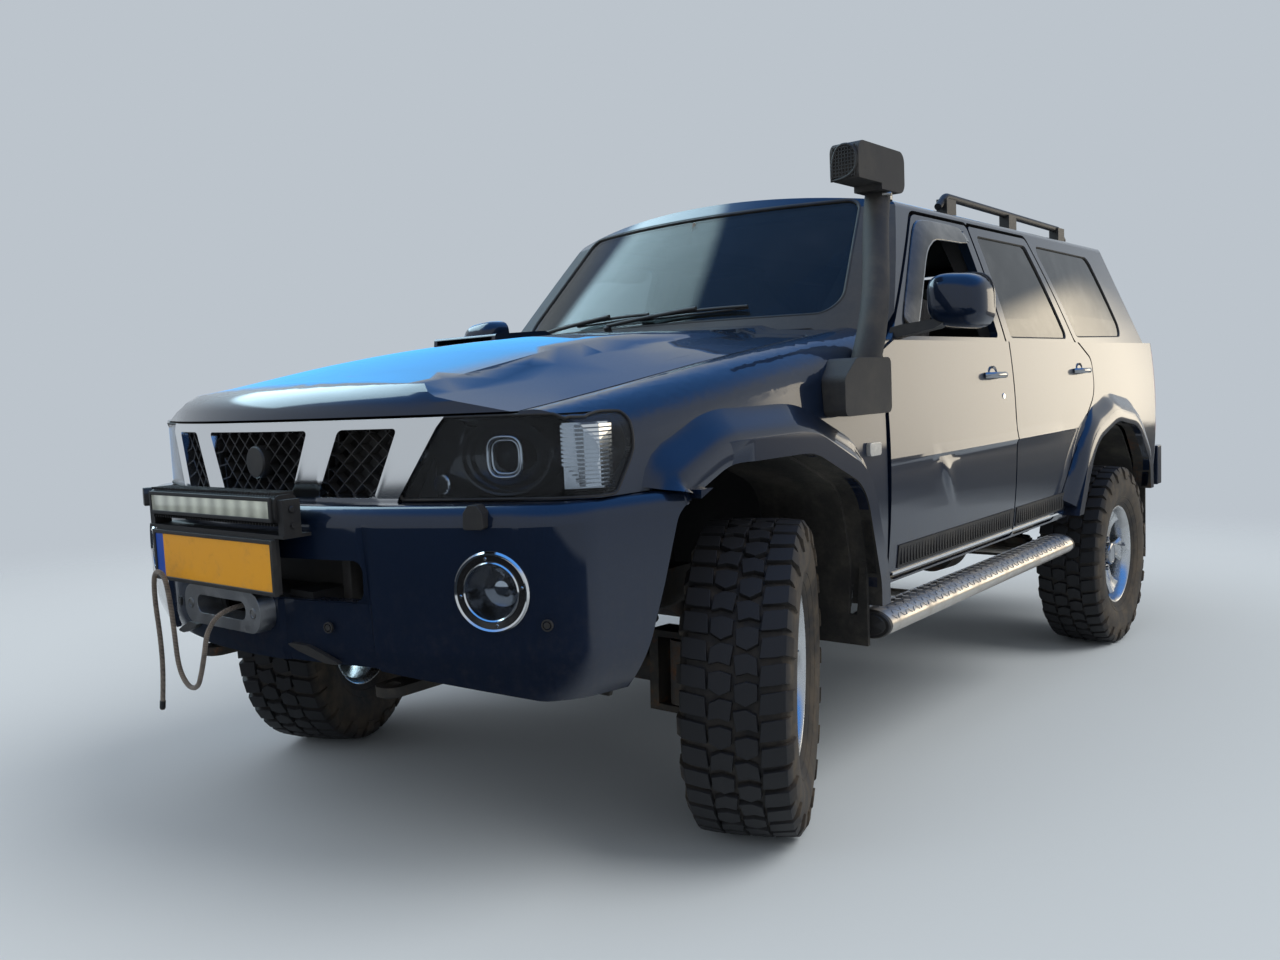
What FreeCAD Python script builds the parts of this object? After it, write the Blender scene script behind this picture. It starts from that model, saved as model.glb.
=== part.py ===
"""Lifted off-road estate car on a ladder frame, with solid axles, built as separate pieces.

Everything that belongs to the body and the frame is drawn in a level body frame (millimetres,
front towards -Y, the car's left towards +X, Z up, Y = 0 half way between the axles).  The body stands
nose down on its springs, so each of its pieces is tipped by BODY_TILT when it is written.
Wheels, hubs and axle beams are drawn on the level ground.
"""
import FreeCAD, Part
import math
import os

V = FreeCAD.Vector

# ---------------------------------------------------------------- driving dimensions
WHEELBASE = 2970.0
TRACK = 1690.0
TYRE_R = 413.0
TYRE_W = 284.0
RIM_R = 228.0
STEER_REST = 25.0          # the front wheels stand turned to the car's left
KINGPIN_X = 660.0
BODY_TILT = 2.1            # nose down, degrees
CENTRE_Y = -101.4          # shift that puts the origin under the middle of the whole box

GAP = 10.0                 # shut line round every moving panel
SKIN = 25.0                # plain outer panels
DOOR_T = 80.0              # a whole door, skin to trim
PILLAR_T = 55.0            # roof frame and pillars

SILL_Z = 600.0
BELT_Z = 1345.0
HALF_W = 921.0             # widest point of the doors
BARREL_Z = 960.0
BARREL_IN = 26.0           # how far sill and belt lie inside the widest point
FLARE_X = 966.0
REAR_Y = 2440.0
REAR_CORNER = 115.0
REAR_LEAN = 190.0          # how far the back glass leans forward up to the gutter
GLASS_CORNER = 280.0
COWL_Y = -765.0            # front edge of the front doors
BULKHEAD_Y = -800.0

GUTTER_Z = 1832.0
GUTTER_X = 722.0
GLASS_BASE_X = 884.0
ROOF_Z = 1896.0

DOOR_SPLIT_Y = 300.0
FRONT_AXLE = V(0, -WHEELBASE / 2, TYRE_R)
REAR_AXLE = V(0, WHEELBASE / 2, TYRE_R)

PARTS = {}


# ---------------------------------------------------------------- small shape tools
def lay(plane, u, v, at):
    """A point given by its two coordinates in the plane across X, Y or Z."""
    if plane == "x":
        return V(at, u, v)
    if plane == "y":
        return V(u, at, v)
    return V(u, v, at)


def wire(points, plane, at, closed=True):
    """Straight runs joined by tangent arcs.  points: (u, v, corner radius)."""
    pts = [(lay(plane, p[0], p[1], at), p[2] if len(p) > 2 else 0.0) for p in points]
    n = len(pts)
    runs = []
    for i, (p, r) in enumerate(pts):
        if r <= 0 or (not closed and i in (0, n - 1)):
            runs.append((p, None, p))
            continue
        a = (pts[i - 1][0] - p).normalize()
        b = (pts[(i + 1) % n][0] - p).normalize()
        half = a.getAngle(b) / 2
        back = r / math.tan(half)
        middle = (a + b).normalize() * (r / math.sin(half) - r)
        runs.append((p + a * back, p + middle, p + b * back))
    edges = []
    count = n if closed else n - 1
    for i in range(n):
        start, mid, end = runs[i]
        if mid is not None:
            edges.append(Part.Arc(start, mid, end).toShape())
        if i < count:
            nxt = runs[(i + 1) % n][0]
            if end.distanceToPoint(nxt) > 1e-4:
                edges.append(Part.LineSegment(end, nxt).toShape())
    return Part.Wire(edges)


def slab(points, plane, lo, hi):
    """An outline in the plane across an axis, given thickness from lo to hi."""
    face = Part.Face(wire(points, plane, lo))
    return face.extrude(lay_vector(plane, hi - lo))


def lay_vector(plane, length):
    return {"x": V(length, 0, 0), "y": V(0, length, 0), "z": V(0, 0, length)}[plane]


def box(x0, x1, y0, y1, z0, z1):
    return Part.makeBox(x1 - x0, y1 - y0, z1 - z0, V(x0, y0, z0))


def rounded_box(x0, x1, y0, y1, z0, z1, r, plane="y"):
    """A box whose four edges along one axis are rounded."""
    spans = {"x": (y0, y1, z0, z1, x0, x1), "y": (x0, x1, z0, z1, y0, y1), "z": (x0, x1, y0, y1, z0, z1)}
    a0, a1, b0, b1, lo, hi = spans[plane]
    return slab([(a0, b0, r), (a1, b0, r), (a1, b1, r), (a0, b1, r)], plane, lo, hi)


def rod(p, q, r):
    p, q = V(*p), V(*q)
    return Part.makeCylinder(r, (q - p).Length, p, q - p)


def pipe(points, r, bend):
    """A round bar along straight runs with tangent bends, in any direction."""
    pts = [V(*p) for p in points]
    edges = []
    last = pts[0]
    for i in range(1, len(pts) - 1):
        a = (pts[i - 1] - pts[i]).normalize()
        b = (pts[i + 1] - pts[i]).normalize()
        half = a.getAngle(b) / 2
        back = bend / math.tan(half)
        middle = (a + b).normalize() * (bend / math.sin(half) - bend)
        start, end = pts[i] + a * back, pts[i] + b * back
        edges.append(Part.LineSegment(last, start).toShape())
        edges.append(Part.Arc(start, pts[i] + middle, end).toShape())
        last = end
    edges.append(Part.LineSegment(last, pts[-1]).toShape())
    path = Part.Wire(edges)
    ring = Part.Wire(Part.makeCircle(r, pts[0], pts[1] - pts[0]))
    sweep = Part.BRepOffsetAPI.MakePipeShell(path)
    sweep.add(ring)
    sweep.build()
    sweep.makeSolid()
    return sweep.shape()


def sweep_flat(path, section):
    """Sweeps a closed section along a level path, keeping it upright."""
    tool = Part.BRepOffsetAPI.MakePipeShell(path)
    tool.setBiNormalMode(V(0, 0, 1))
    tool.add(section)
    tool.build()
    tool.makeSolid()
    return tool.shape()


def join(shapes):
    shapes = [s for s in shapes if s is not None]
    if len(shapes) == 1:
        return shapes[0]
    return shapes[0].multiFuse(shapes[1:]).removeSplitter()


def mirrored(shape):
    return shape.mirror(V(0, 0, 0), V(1, 0, 0))


def both(shape):
    return Part.makeCompound([shape, mirrored(shape)])


def round_edges(shape, radius, pick):
    """Rounds the edges that pick() accepts; a radius too large for one is halved once."""
    edges = [e for e in shape.Edges if pick(e)]
    for r in (radius, radius / 2):
        try:
            done = shape.makeFillet(r, edges)
            if done.isValid() and done.Volume > 0:
                return done
        except Exception:
            continue
    print("edges left sharp")
    return shape


def tip(shape):
    """Body frame to standing car."""
    return shape.rotated(V(0, 0, 0), V(1, 0, 0), BODY_TILT)


def keep(name, shape, body=True):
    """Files a piece under its node name, as one or more solids, in the standing car's frame."""
    placed = tip(shape) if body else shape
    placed = placed.translated(V(0, CENTRE_Y, 0))
    solids = placed.Solids
    PARTS[name] = solids[0] if len(solids) == 1 else Part.makeCompound(solids)


# ---------------------------------------------------------------- body blocks
def barrel_x(z, inset):
    """Half width of the body side at a height: one large arc, offset evenly inwards."""
    half = (BELT_Z - SILL_Z) / 2
    radius = (half ** 2 + BARREL_IN ** 2) / (2 * BARREL_IN)
    rise = z - (BELT_Z + SILL_Z) / 2
    return HALF_W - radius + math.sqrt((radius - inset) ** 2 - rise ** 2)


def lower_block(inset, bottom=None):
    """The body below the window line, taken in by inset all round, or only at its sides."""
    z0, z1 = SILL_Z + inset if bottom is None else bottom, BELT_Z
    zm = (z0 + z1) / 2
    y = BULKHEAD_Y

    def side(sign, low, high):
        return Part.Arc(V(sign * barrel_x(low, inset), y, low), V(sign * barrel_x(zm, inset), y, zm),
                        V(sign * barrel_x(high, inset), y, high)).toShape()

    edges = [
        Part.LineSegment(V(-barrel_x(z0, inset), y, z0), V(barrel_x(z0, inset), y, z0)).toShape(),
        side(1, z0, z1),
        Part.LineSegment(V(barrel_x(z1, inset), y, z1), V(-barrel_x(z1, inset), y, z1)).toShape(),
        side(-1, z1, z0),
    ]
    face = Part.Face(Part.Wire(edges))
    solid = face.extrude(V(0, REAR_Y - inset - BULKHEAD_Y, 0))
    corner = REAR_CORNER - inset
    return round_edges(solid, corner, lambda e: is_rear_corner(e, REAR_Y - inset))


def is_rear_corner(edge, y):
    """True for the two edges where a side meets the rear face."""
    b = edge.BoundBox
    return b.YMin > y - 260 and b.ZLength > 200 and b.XLength < 200 and b.YLength < 260


def glasshouse_block(inset):
    """The body above the window line: tumblehome sides, curved screen, crowned roof."""
    base, top = GLASS_BASE_X - inset, GUTTER_X - inset
    y0 = -1200.0
    z0 = BELT_Z - 1
    crown = ROOF_Z - inset
    edge_z = GUTTER_Z - inset
    lean = (base - top) / (GUTTER_Z - BELT_Z)
    foot = base + lean
    edges = [
        Part.LineSegment(V(-foot, y0, z0), V(foot, y0, z0)).toShape(),
        Part.Arc(V(foot, y0, z0), V((foot + top) / 2 + 7, y0, (z0 + edge_z) / 2), V(top, y0, edge_z)).toShape(),
        Part.Arc(V(top, y0, edge_z), V(0, y0, crown), V(-top, y0, edge_z)).toShape(),
        Part.Arc(V(-top, y0, edge_z), V(-(foot + top) / 2 - 7, y0, (z0 + edge_z) / 2), V(-foot, y0, z0)).toShape(),
    ]
    tunnel = Part.Face(Part.Wire(edges)).extrude(V(0, 4200, 0))
    tail = REAR_Y - inset
    side = [
        (-1500, BELT_Z - 1), (-1500, 2100), (tail - REAR_LEAN - 5, 2100), (tail - REAR_LEAN, GUTTER_Z, 60),
        (tail, BELT_Z - 1),
    ]
    shape = tunnel.common(slab(side, "x", -1000, 1000))
    shape = shape.cut(rear_corner_cutter(foot, lean, tail, inset))
    shape = round_edges(shape, max(12.0, 46.0 - inset / 2), lambda e: is_gutter(e, top))
    return shape.common(screen_drum(inset))


def rear_corner_cutter(foot, lean, tail, inset):
    """What is left outside two large leaning corners at the back of the glasshouse."""
    radius = GLASS_CORNER - inset
    levels = []
    for z in (BELT_Z - 20, 2100.0):
        rise = z - (BELT_Z - 1)
        half = foot - lean * rise + 8
        rear = tail - REAR_LEAN * rise / (GUTTER_Z - BELT_Z) + 3
        plan = [(-half, 1500), (half, 1500), (half, rear, radius), (-half, rear, radius)]
        levels.append(wire(plan, "z", z))
    inner = Part.makeLoft(levels, True, True)
    return box(-1200, 1200, 1600, 3000, BELT_Z - 10, 2090).cut(inner)


def is_gutter(edge, x):
    b = edge.BoundBox
    return b.YLength > 1500 and b.XLength < 60 and abs(abs(b.Center.x) - x) < 60 and b.ZMin > 1600


SCREEN_FOOT = V(0, -862, 1418)
SCREEN_HEAD = V(0, -418, 1872)
SCREEN_R = 2100.0


def screen_drum(inset):
    """A very large drum lying along the windscreen's slope; its skin is the glass."""
    along = (SCREEN_HEAD - SCREEN_FOOT).normalize()
    inward = V(0, along.z, -along.y)
    centre = SCREEN_FOOT + inward * SCREEN_R
    return Part.makeCylinder(SCREEN_R - inset, 9000, centre - along * 4500, along)


# front end sections: station y, half width, height of the bonnet's edge
NOSE = [
    # y, half_w, edge_z, rise of the raised middle
    (-2420.0, 850.0, 1168.0, 50.0),
    (-2000.0, 886.0, 1212.0, 50.0),
    (-1400.0, 906.0, 1301.0, 50.0),
    (-960.0, 911.0, 1359.7, 8.0),
    (-740.0, 914.0, 1389.0, 0.0),
]
NOSE_ROUND = [
    # z, how far the front edge has turned back at that height
    (300, 0), (1196, 0), (1222, 6), (1246, 20), (1264, 42), (1280, 75), (1300, 120), (1460, 560),
]
BONNET_X = 738.0


def nose_section(y, half_w, edge_z, rise, inset):
    """Cross-section of wings and bonnet in one closed outline."""
    w = half_w - inset
    z = edge_z - inset
    foot = V(w - 20, y, SILL_Z - 60)
    hip = V(w - 10, y, z - 128)
    crease = V(BONNET_X, y, z)
    swell_out = V(548, y, z + 15 + rise * 0.77)
    swell_in = V(492, y, z + 33 + rise)
    crown = V(0, y, z + 52 + rise)

    def flip(p):
        return V(-p.x, p.y, p.z)

    bulge = V((hip.x + crease.x) / 2 + 38, y, (hip.z + crease.z) / 2 + 36)
    right = [
        Part.Arc(foot, V(w, y, BARREL_Z - 60), hip).toShape(),
        Part.Arc(hip, bulge, crease).toShape(),
        Part.LineSegment(crease, swell_out).toShape(),
        Part.LineSegment(swell_out, swell_in).toShape(),
        Part.Arc(swell_in, crown, flip(swell_in)).toShape(),
        Part.LineSegment(flip(swell_in), flip(swell_out)).toShape(),
        Part.LineSegment(flip(swell_out), flip(crease)).toShape(),
        Part.Arc(flip(crease), flip(bulge), flip(hip)).toShape(),
        Part.Arc(flip(hip), V(-w, y, BARREL_Z - 60), flip(foot)).toShape(),
        Part.LineSegment(flip(foot), foot).toShape(),
    ]
    return Part.Wire(right)


def fascia_plan(inset, back=-700.0, side=1000.0):
    """Plan of the nose: grille and lamps bow forward and turn round the corners."""
    return [
        (-side, back), (-side, -1700), (-930 + inset, -1800, 40), (-880 + inset, -2085 + inset, 170),
        (0, -2430 + inset, 1600), (880 - inset, -2085 + inset, 170), (930 - inset, -1800, 40),
        (side, -1700), (side, back),
    ]


def nose_block(inset):
    shape = Part.makeLoft([nose_section(*row, inset) for row in NOSE], True, False)
    plans = [wire(fascia_plan(inset + back), "z", z - (inset if z > 1200 else 0)) for z, back in NOSE_ROUND]
    return shape.common(Part.makeLoft(plans, True, True))


# ---------------------------------------------------------------- outlines seen from the side (y, z)
FRONT_ARCH = [
    (-930, 380), (-930, 640, 200), (-1010, 930, 150), (-1290, 1046, 260), (-1640, 1046, 220),
    (-1850, 960, 60), (-1900, 800), (-2050, 380),
]
REAR_ARCH = [
    (925, 330), (925, 560, 120), (1140, 900, 260), (1480, 985, 320), (1830, 940, 240),
    (2040, 740, 120), (2075, 330),
]


def grown(points, by, centre):
    """The outline moved outwards from a centre by about the same distance everywhere."""
    out = []
    for p in points:
        d = V(p[0] - centre[0], p[1] - centre[1], 0)
        s = (d.Length + by) / d.Length
        out.append((centre[0] + d.x * s, centre[1] + d.y * s, p[2] + by * 0.6 if len(p) > 2 else 0.0))
    return out


DOOR_LOW = SILL_Z + 12
DOOR_TOP = 1800.0
FRONT_DOOR = [
    (COWL_Y, DOOR_LOW, 60), (DOOR_SPLIT_Y, DOOR_LOW, 30), (DOOR_SPLIT_Y, DOOR_TOP, 25), (-190, DOOR_TOP, 90),
    (-668, BELT_Z + 6, 30), (COWL_Y, BELT_Z - 30, 20),
]
REAR_DOOR = [
    (DOOR_SPLIT_Y, DOOR_LOW, 30), (770, DOOR_LOW, 60), (1010, 905, 160), (1290, 1120, 120), (1285, 1270, 60),
    (1120, BELT_Z + 4, 40), (935, DOOR_TOP, 40), (DOOR_SPLIT_Y, DOOR_TOP, 25),
]
FRONT_WINDOW = [
    (-575, BELT_Z + 14, 24), (DOOR_SPLIT_Y - 62, BELT_Z + 14, 24), (DOOR_SPLIT_Y - 62, DOOR_TOP - 40, 24),
    (-160, DOOR_TOP - 40, 70),
]
REAR_WINDOW = [
    (DOOR_SPLIT_Y + 62, BELT_Z + 14, 24), (1040, BELT_Z + 14, 30), (895, DOOR_TOP - 40, 30),
    (DOOR_SPLIT_Y + 62, DOOR_TOP - 40, 24),
]
QUARTER_WINDOW = [
    (1170, BELT_Z + 22, 40), (1905, BELT_Z + 30, 60), (1760, DOOR_TOP - 34, 60), (1000, DOOR_TOP - 30, 40),
]


def moved(points, by, sign):
    """A convex outline moved outwards (sign 1) or inwards (sign -1) by a constant distance."""
    n = len(points)
    area = sum(points[i - 1][0] * points[i][1] - points[i][0] * points[i - 1][1] for i in range(n))
    turn = 1 if area > 0 else -1
    lines = []
    for i in range(n):
        a, b = points[i], points[(i + 1) % n]
        d = V(b[0] - a[0], b[1] - a[1], 0).normalize()
        nrm = V(d.y, -d.x, 0) * (turn * sign * by)
        lines.append((V(a[0], a[1], 0) + nrm, d))
    out = []
    for i in range(n):
        p, d = lines[i - 1]
        q, e = lines[i]
        cross = d.x * e.y - d.y * e.x
        t = ((q.x - p.x) * e.y - (q.y - p.y) * e.x) / cross
        r = points[i][2] if len(points[i]) > 2 else 0.0
        out.append((p.x + d.x * t, p.y + d.y * t, max(r + sign * by * 0.5, 0.0) if r else 0.0))
    return out


def side_cut(points, lo=500, hi=1300):
    """A cutter through the car's left side."""
    return slab(points, "x", lo, hi)


# ---------------------------------------------------------------- whole body solids, made once
LOWER = {d: lower_block(d) for d in (0, 25, 33, 80)}
CORE = {d: lower_block(d, SILL_Z - 60) for d in (25, 33, 34, 80)}
UPPER = {d: glasshouse_block(d) for d in (0, 6, 12, 20, 28, 36, 55, 80)}
NOSE_SOLID = {d: nose_block(d) for d in (0, 2, 28, 85)}

ROOF_SEAM = 1818.0
SHUT = GAP / 2
TOP_SHUT = 14.0 / 2


def half_space(axis, lo, hi):
    """A very large box between two stations on one axis."""
    spans = {"x": (-3000, 3000), "y": (-4000, 4000), "z": (-500, 3000)}
    spans[axis] = (lo, hi)
    return box(*spans["x"], *spans["y"], *spans["z"])


def door(outline, window, left=True):
    """Outer panel, inner box and window frame of a side door, on the car's left."""
    edge = moved(outline, SHUT, -1)
    inner = moved(outline, 60, -1)
    low = half_space("z", 0, BELT_Z)
    skin = LOWER[0].cut(CORE[25]).common(side_cut(edge, 800))
    deep = LOWER[0].cut(CORE[80]).common(side_cut(inner, 800)).common(low)
    frame = UPPER[0].cut(UPPER[28]).common(side_cut(moved(outline, TOP_SHUT, -1)))
    frame = frame.common(half_space("z", BELT_Z, 2500)).cut(side_cut(window))
    return join([skin, deep, frame])


REBATES = [LOWER[0].cut(CORE[34]).common(side_cut(moved(edge, SHUT + 2, 1)))
           for edge in (FRONT_DOOR, REAR_DOOR)]


def door_ring(outline):
    """What stands behind a door's edge: pillars, sill and roof rail of the shell."""
    grown_out = side_cut(moved(outline, 30, 1), 790)
    inside = side_cut(moved(outline, 35, -1))
    low = LOWER[25].cut(CORE[80]).common(grown_out).cut(inside).cut(REBATES)
    low = low.cut(box(850, 1000, -900, 1500, BELT_Z - 3, BELT_Z + 2))
    grown_out = side_cut(moved(outline, 30, 1), 600)
    high = UPPER[36].cut(UPPER[80]).common(half_space("z", BELT_Z, ROOF_SEAM))
    return [low, high.common(grown_out).cut(inside)]


# ---------------------------------------------------------------- doors
FRONT_LEFT = door(FRONT_DOOR, FRONT_WINDOW)
REAR_LEFT = door(REAR_DOOR, REAR_WINDOW)

flare_outer = grown(REAR_ARCH, 58, (1500, 520))
REAR_FLARE = slab(flare_outer, "x", 880, FLARE_X).cut(side_cut(REAR_ARCH)).cut(LOWER[25])
REAR_FLARE = REAR_FLARE.common(half_space("z", DOOR_LOW, 2000))
door_zone = side_cut(moved(REAR_DOOR, SHUT, -1))
REAR_LEFT = join([REAR_LEFT.cut(side_cut(REAR_ARCH)), REAR_FLARE.common(door_zone)])

keep("door_front_left", FRONT_LEFT)
keep("door_front_right", mirrored(FRONT_LEFT))
keep("door_rear_left", REAR_LEFT)
keep("door_rear_right", mirrored(REAR_LEFT))
GLASS = UPPER[6].cut(UPPER[12])
rear_glass = GLASS.common(side_cut(REAR_WINDOW))
keep("door_glass_rear_left", rear_glass)
keep("door_glass_rear_right", mirrored(rear_glass))
print("doors", [round(s.Volume / 1e6, 2) for s in (FRONT_LEFT, REAR_LEFT)])

# ---------------------------------------------------------------- back doors
BACK_SPLIT_X = 235.0
BACK_LOW = 815.0
BACK_TOP = 1792.0
BACK_WIDE = [
    (-800, BACK_LOW, 50), (BACK_SPLIT_X, BACK_LOW, 12), (BACK_SPLIT_X, BACK_TOP, 12), (-630, BACK_TOP, 60),
    (-800, BELT_Z, 120),
]
BACK_NARROW = [
    (BACK_SPLIT_X, BACK_LOW, 12), (800, BACK_LOW, 50), (800, BELT_Z, 120), (630, BACK_TOP, 60),
    (BACK_SPLIT_X, BACK_TOP, 12),
]
BACK_WINDOWS = {
    "wide": [(-690, 1385, 40), (150, 1385, 30), (150, 1740, 30), (-585, 1740, 50)],
    "narrow": [(320, 1385, 30), (690, 1385, 40), (585, 1740, 50), (320, 1740, 30)],
}


def rear_cut(points, lo=1900, hi=2700):
    return slab(points, "y", lo, hi)


def back_door(outline, window):
    edge = moved(outline, TOP_SHUT, -1)
    inner = moved(outline, 60, -1)
    rear = half_space("y", 2100, 2700)
    skin = LOWER[0].cut(LOWER[25]).common(rear_cut(edge)).common(rear)
    deep = LOWER[0].cut(LOWER[80]).common(rear_cut(inner)).common(rear)
    frame = UPPER[0].cut(UPPER[20]).common(rear_cut(edge)).common(rear)
    frame = frame.common(half_space("z", BELT_Z, 2500)).cut(rear_cut(window))
    return join([skin, deep, frame])


def back_ring(outline):
    grown_out = rear_cut(moved(outline, 30, 1), 2100)
    inside = rear_cut(moved(outline, 35, -1), 2100)
    rebate = LOWER[25].cut(LOWER[33]).common(rear_cut(moved(outline, TOP_SHUT, 1), 2100))
    return LOWER[25].cut(LOWER[80]).common(grown_out).cut(inside).cut(rebate)


keep("back_door_wide", back_door(BACK_WIDE, BACK_WINDOWS["wide"]))
keep("back_door_narrow", back_door(BACK_NARROW, BACK_WINDOWS["narrow"]))
keep("back_glass_wide", GLASS.common(rear_cut(BACK_WINDOWS["wide"])).common(half_space("y", 2000, 2700)))
keep("back_glass_narrow", GLASS.common(rear_cut(BACK_WINDOWS["narrow"])).common(half_space("y", 2000, 2700)))
BACK_WHOLE = [
    (-800, BACK_LOW, 50), (800, BACK_LOW, 50), (800, BELT_Z, 120), (630, BACK_TOP, 60), (-630, BACK_TOP, 60),
    (-800, BELT_Z, 120),
]

# ---------------------------------------------------------------- screen, roof and quarters
SCREEN = [(-712, 1440, 60), (712, 1440, 60), (612, 1848, 60), (-612, 1848, 60)]
screen_hole = slab(SCREEN, "y", -1400, -150)
windscreen = screen_drum(6).cut(screen_drum(13)).common(screen_hole)
keep("windscreen", windscreen)

door_holes = [
    side_cut(moved(FRONT_DOOR, 1, 1)), side_cut(moved(REAR_DOOR, 1, 1)),
]
door_holes_upper = [side_cut(moved(FRONT_DOOR, TOP_SHUT, 1)), side_cut(moved(REAR_DOOR, TOP_SHUT, 1))]
door_holes_lower = [side_cut(moved(FRONT_DOOR, SHUT, 1), 780), side_cut(moved(REAR_DOOR, SHUT, 1), 780)]
quarter_hole = side_cut(QUARTER_WINDOW)
back_hole = rear_cut(moved(BACK_WHOLE, TOP_SHUT, 1), 2100)

upper = UPPER[0].cut(UPPER[55])
upper = upper.cut(screen_hole).cut(NOSE_SOLID[0])
upper = upper.common(half_space("z", BELT_Z, 2500))
for hole in door_holes_upper + [quarter_hole]:
    upper = upper.cut(hole).cut(mirrored(hole))
upper = upper.cut(back_hole)
roof = upper.common(half_space("z", ROOF_SEAM, 2500))
upper = upper.common(half_space("z", 0, ROOF_SEAM))
keep("roof", roof)
print("upper pieces", [(round(s.Volume / 1e6, 2), [round(v) for v in (s.BoundBox.YMin, s.BoundBox.YMax)]) for s in upper.Solids])
quarter_glass = GLASS.common(quarter_hole)
keep("quarter_glass", both(quarter_glass))

lower = LOWER[0].cut(LOWER[25])
for hole in door_holes_lower + [side_cut(REAR_ARCH), side_cut(FRONT_ARCH)]:
    lower = lower.cut(hole).cut(mirrored(hole))
lower = lower.cut(back_hole).cut(box(-780, 780, 1000, 2600, 500, 640))
lower = lower.common(half_space("y", COWL_Y - SHUT, 3000))
quarter_zone = box(780, 1100, 640, 2600, 400, BELT_Z)
flare_zone = REAR_FLARE.cut(side_cut(moved(REAR_DOOR, SHUT, 1)))
tail_zone = box(845, 1000, 2325, 2600, 880, 1300)
tail_lamp = LOWER[0].cut(LOWER[25]).common(tail_zone)
keep("tail_lamps", both(tail_lamp))
left_quarter = join([lower.common(quarter_zone), flare_zone]).cut(tail_zone)
right_quarter = mirrored(left_quarter)
shell_low = lower.cut(quarter_zone).cut(mirrored(quarter_zone))

rear_low = box(-640, 640, 2320, 2440, 640, BACK_LOW - TOP_SHUT)
ring = []
for outline in (FRONT_DOOR, REAR_DOOR):
    ring += door_ring(outline)
ring = [r for r in ring if r.Volume > 1]
wheel_clear = slab(grown(REAR_ARCH, 4, (1500, 520)), "x", 400, 1300)
ring = [r.cut(wheel_clear) for r in ring]
pieces = ring + [mirrored(r) for r in ring] + [back_ring(BACK_WHOLE)]

cabin_floor = [
    box(-548, 548, 985, 1010, 600, 765), box(-548, 548, 985, 2360, 740, 765),
    box(-880, 880, 2085, 2360, 740, 765).common(LOWER[25]),
]
house = slab(REAR_ARCH, "x", 546, 556).common(half_space("z", 600, 2000))
cabin_floor += [house, mirrored(house)]
sill = box(765, 900, COWL_Y - SHUT, 1010, 604, 640).common(CORE[33]).cut(wheel_clear).cut(left_quarter)
cabin_floor += [sill, mirrored(sill)]
bulkhead = NOSE_SOLID[28].common(box(-900, 900, -800, -772, 600, 1500)).cut(UPPER[0])
keep("quarter_panels", Part.makeCompound([left_quarter, right_quarter]))


# ---------------------------------------------------------------- nose: wings, bonnet, grille, lamps
BONNET_REAR = -915.0
BONNET_HINGE_Z = 1416.0
LIP_Z = 1196.0
bonnet_plan = [(-733, BONNET_REAR, 30), (733, BONNET_REAR, 30), (733, -2600), (-733, -2600)]
nose_shell = NOSE_SOLID[0].cut(NOSE_SOLID[28])
bonnet = nose_shell.common(slab(bonnet_plan, "z", LIP_Z, 1600))
front_opening = box(-1000, 1000, -2600, -1000, 400, LIP_Z - 8)
wing_hole = slab([(-743, BONNET_REAR + 10, 30), (743, BONNET_REAR + 10, 30), (743, -2600), (-743, -2600)], "z", 1000, 1600)
SCOOP = (-560.0, -250.0)
scoop_body = slab([(-1268, 1330), (-1256, 1432, 10), (-1010, 1446, 60), (-925, 1396), (-925, 1330)], "x", *SCOOP)
scoop_mouth = slab([(-1300, 1408), (-1300, 1422), (-1120, 1434), (-1120, 1410)], "x", SCOOP[0] + 16, SCOOP[1] - 16)
bonnet = join([bonnet, scoop_body.cut(NOSE_SOLID[28])]).cut(scoop_mouth)
keep("bonnet", bonnet)

LAMP_SIDE = [(-2600, 1006), (-1992, 1010, 30), (-1930, 1092, 60), (-1920, 1190, 30), (-2600, 1190)]
lamp_front = [(452, 1008), (1000, 1008), (1000, 1188), (548, 1188)]
lamp_zone = slab(LAMP_SIDE, "x", 300, 1000).common(slab(lamp_front, "y", -2600, -1700))
lamp = NOSE_SOLID[2].cut(NOSE_SOLID[85]).common(lamp_zone)
keep("headlamps", both(lamp))
grille_front = [(-446, 1012, 20), (446, 1012, 20), (541, 1188, 10), (-541, 1188, 10)]
grille_zone = slab(grille_front, "y", -2600, -2000)
grille = nose_shell.common(grille_zone)
OPENINGS = [
    [(-145, 1014, 10), (145, 1014, 10), (215, 1168, 12), (-215, 1168, 12)],
    [(236, 1014, 10), (402, 1014, 12), (472, 1168, 12), (312, 1168, 12)],
    [(-402, 1014, 12), (-236, 1014, 10), (-312, 1168, 12), (-472, 1168, 12)],
]
LATTICE_PITCH = 62.0
lattice = []
for i in range(-9, 10):
    x = i * LATTICE_PITCH
    for lean in (-80, 80):
        lattice.append(slab([(x - lean - 3, 1008), (x - lean + 3, 1008), (x + lean + 3, 1174), (x + lean - 3, 1174)],
                            "y", -2600, -2000))
lattice = lattice[0].fuse(lattice[1:]).common(NOSE_SOLID[2]).cut(NOSE_SOLID[28])
for opening in OPENINGS:
    hole = slab(opening, "y", -2600, -2000)
    grille = grille.cut(hole.cut(lattice))
keep("grille", grille)

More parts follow.
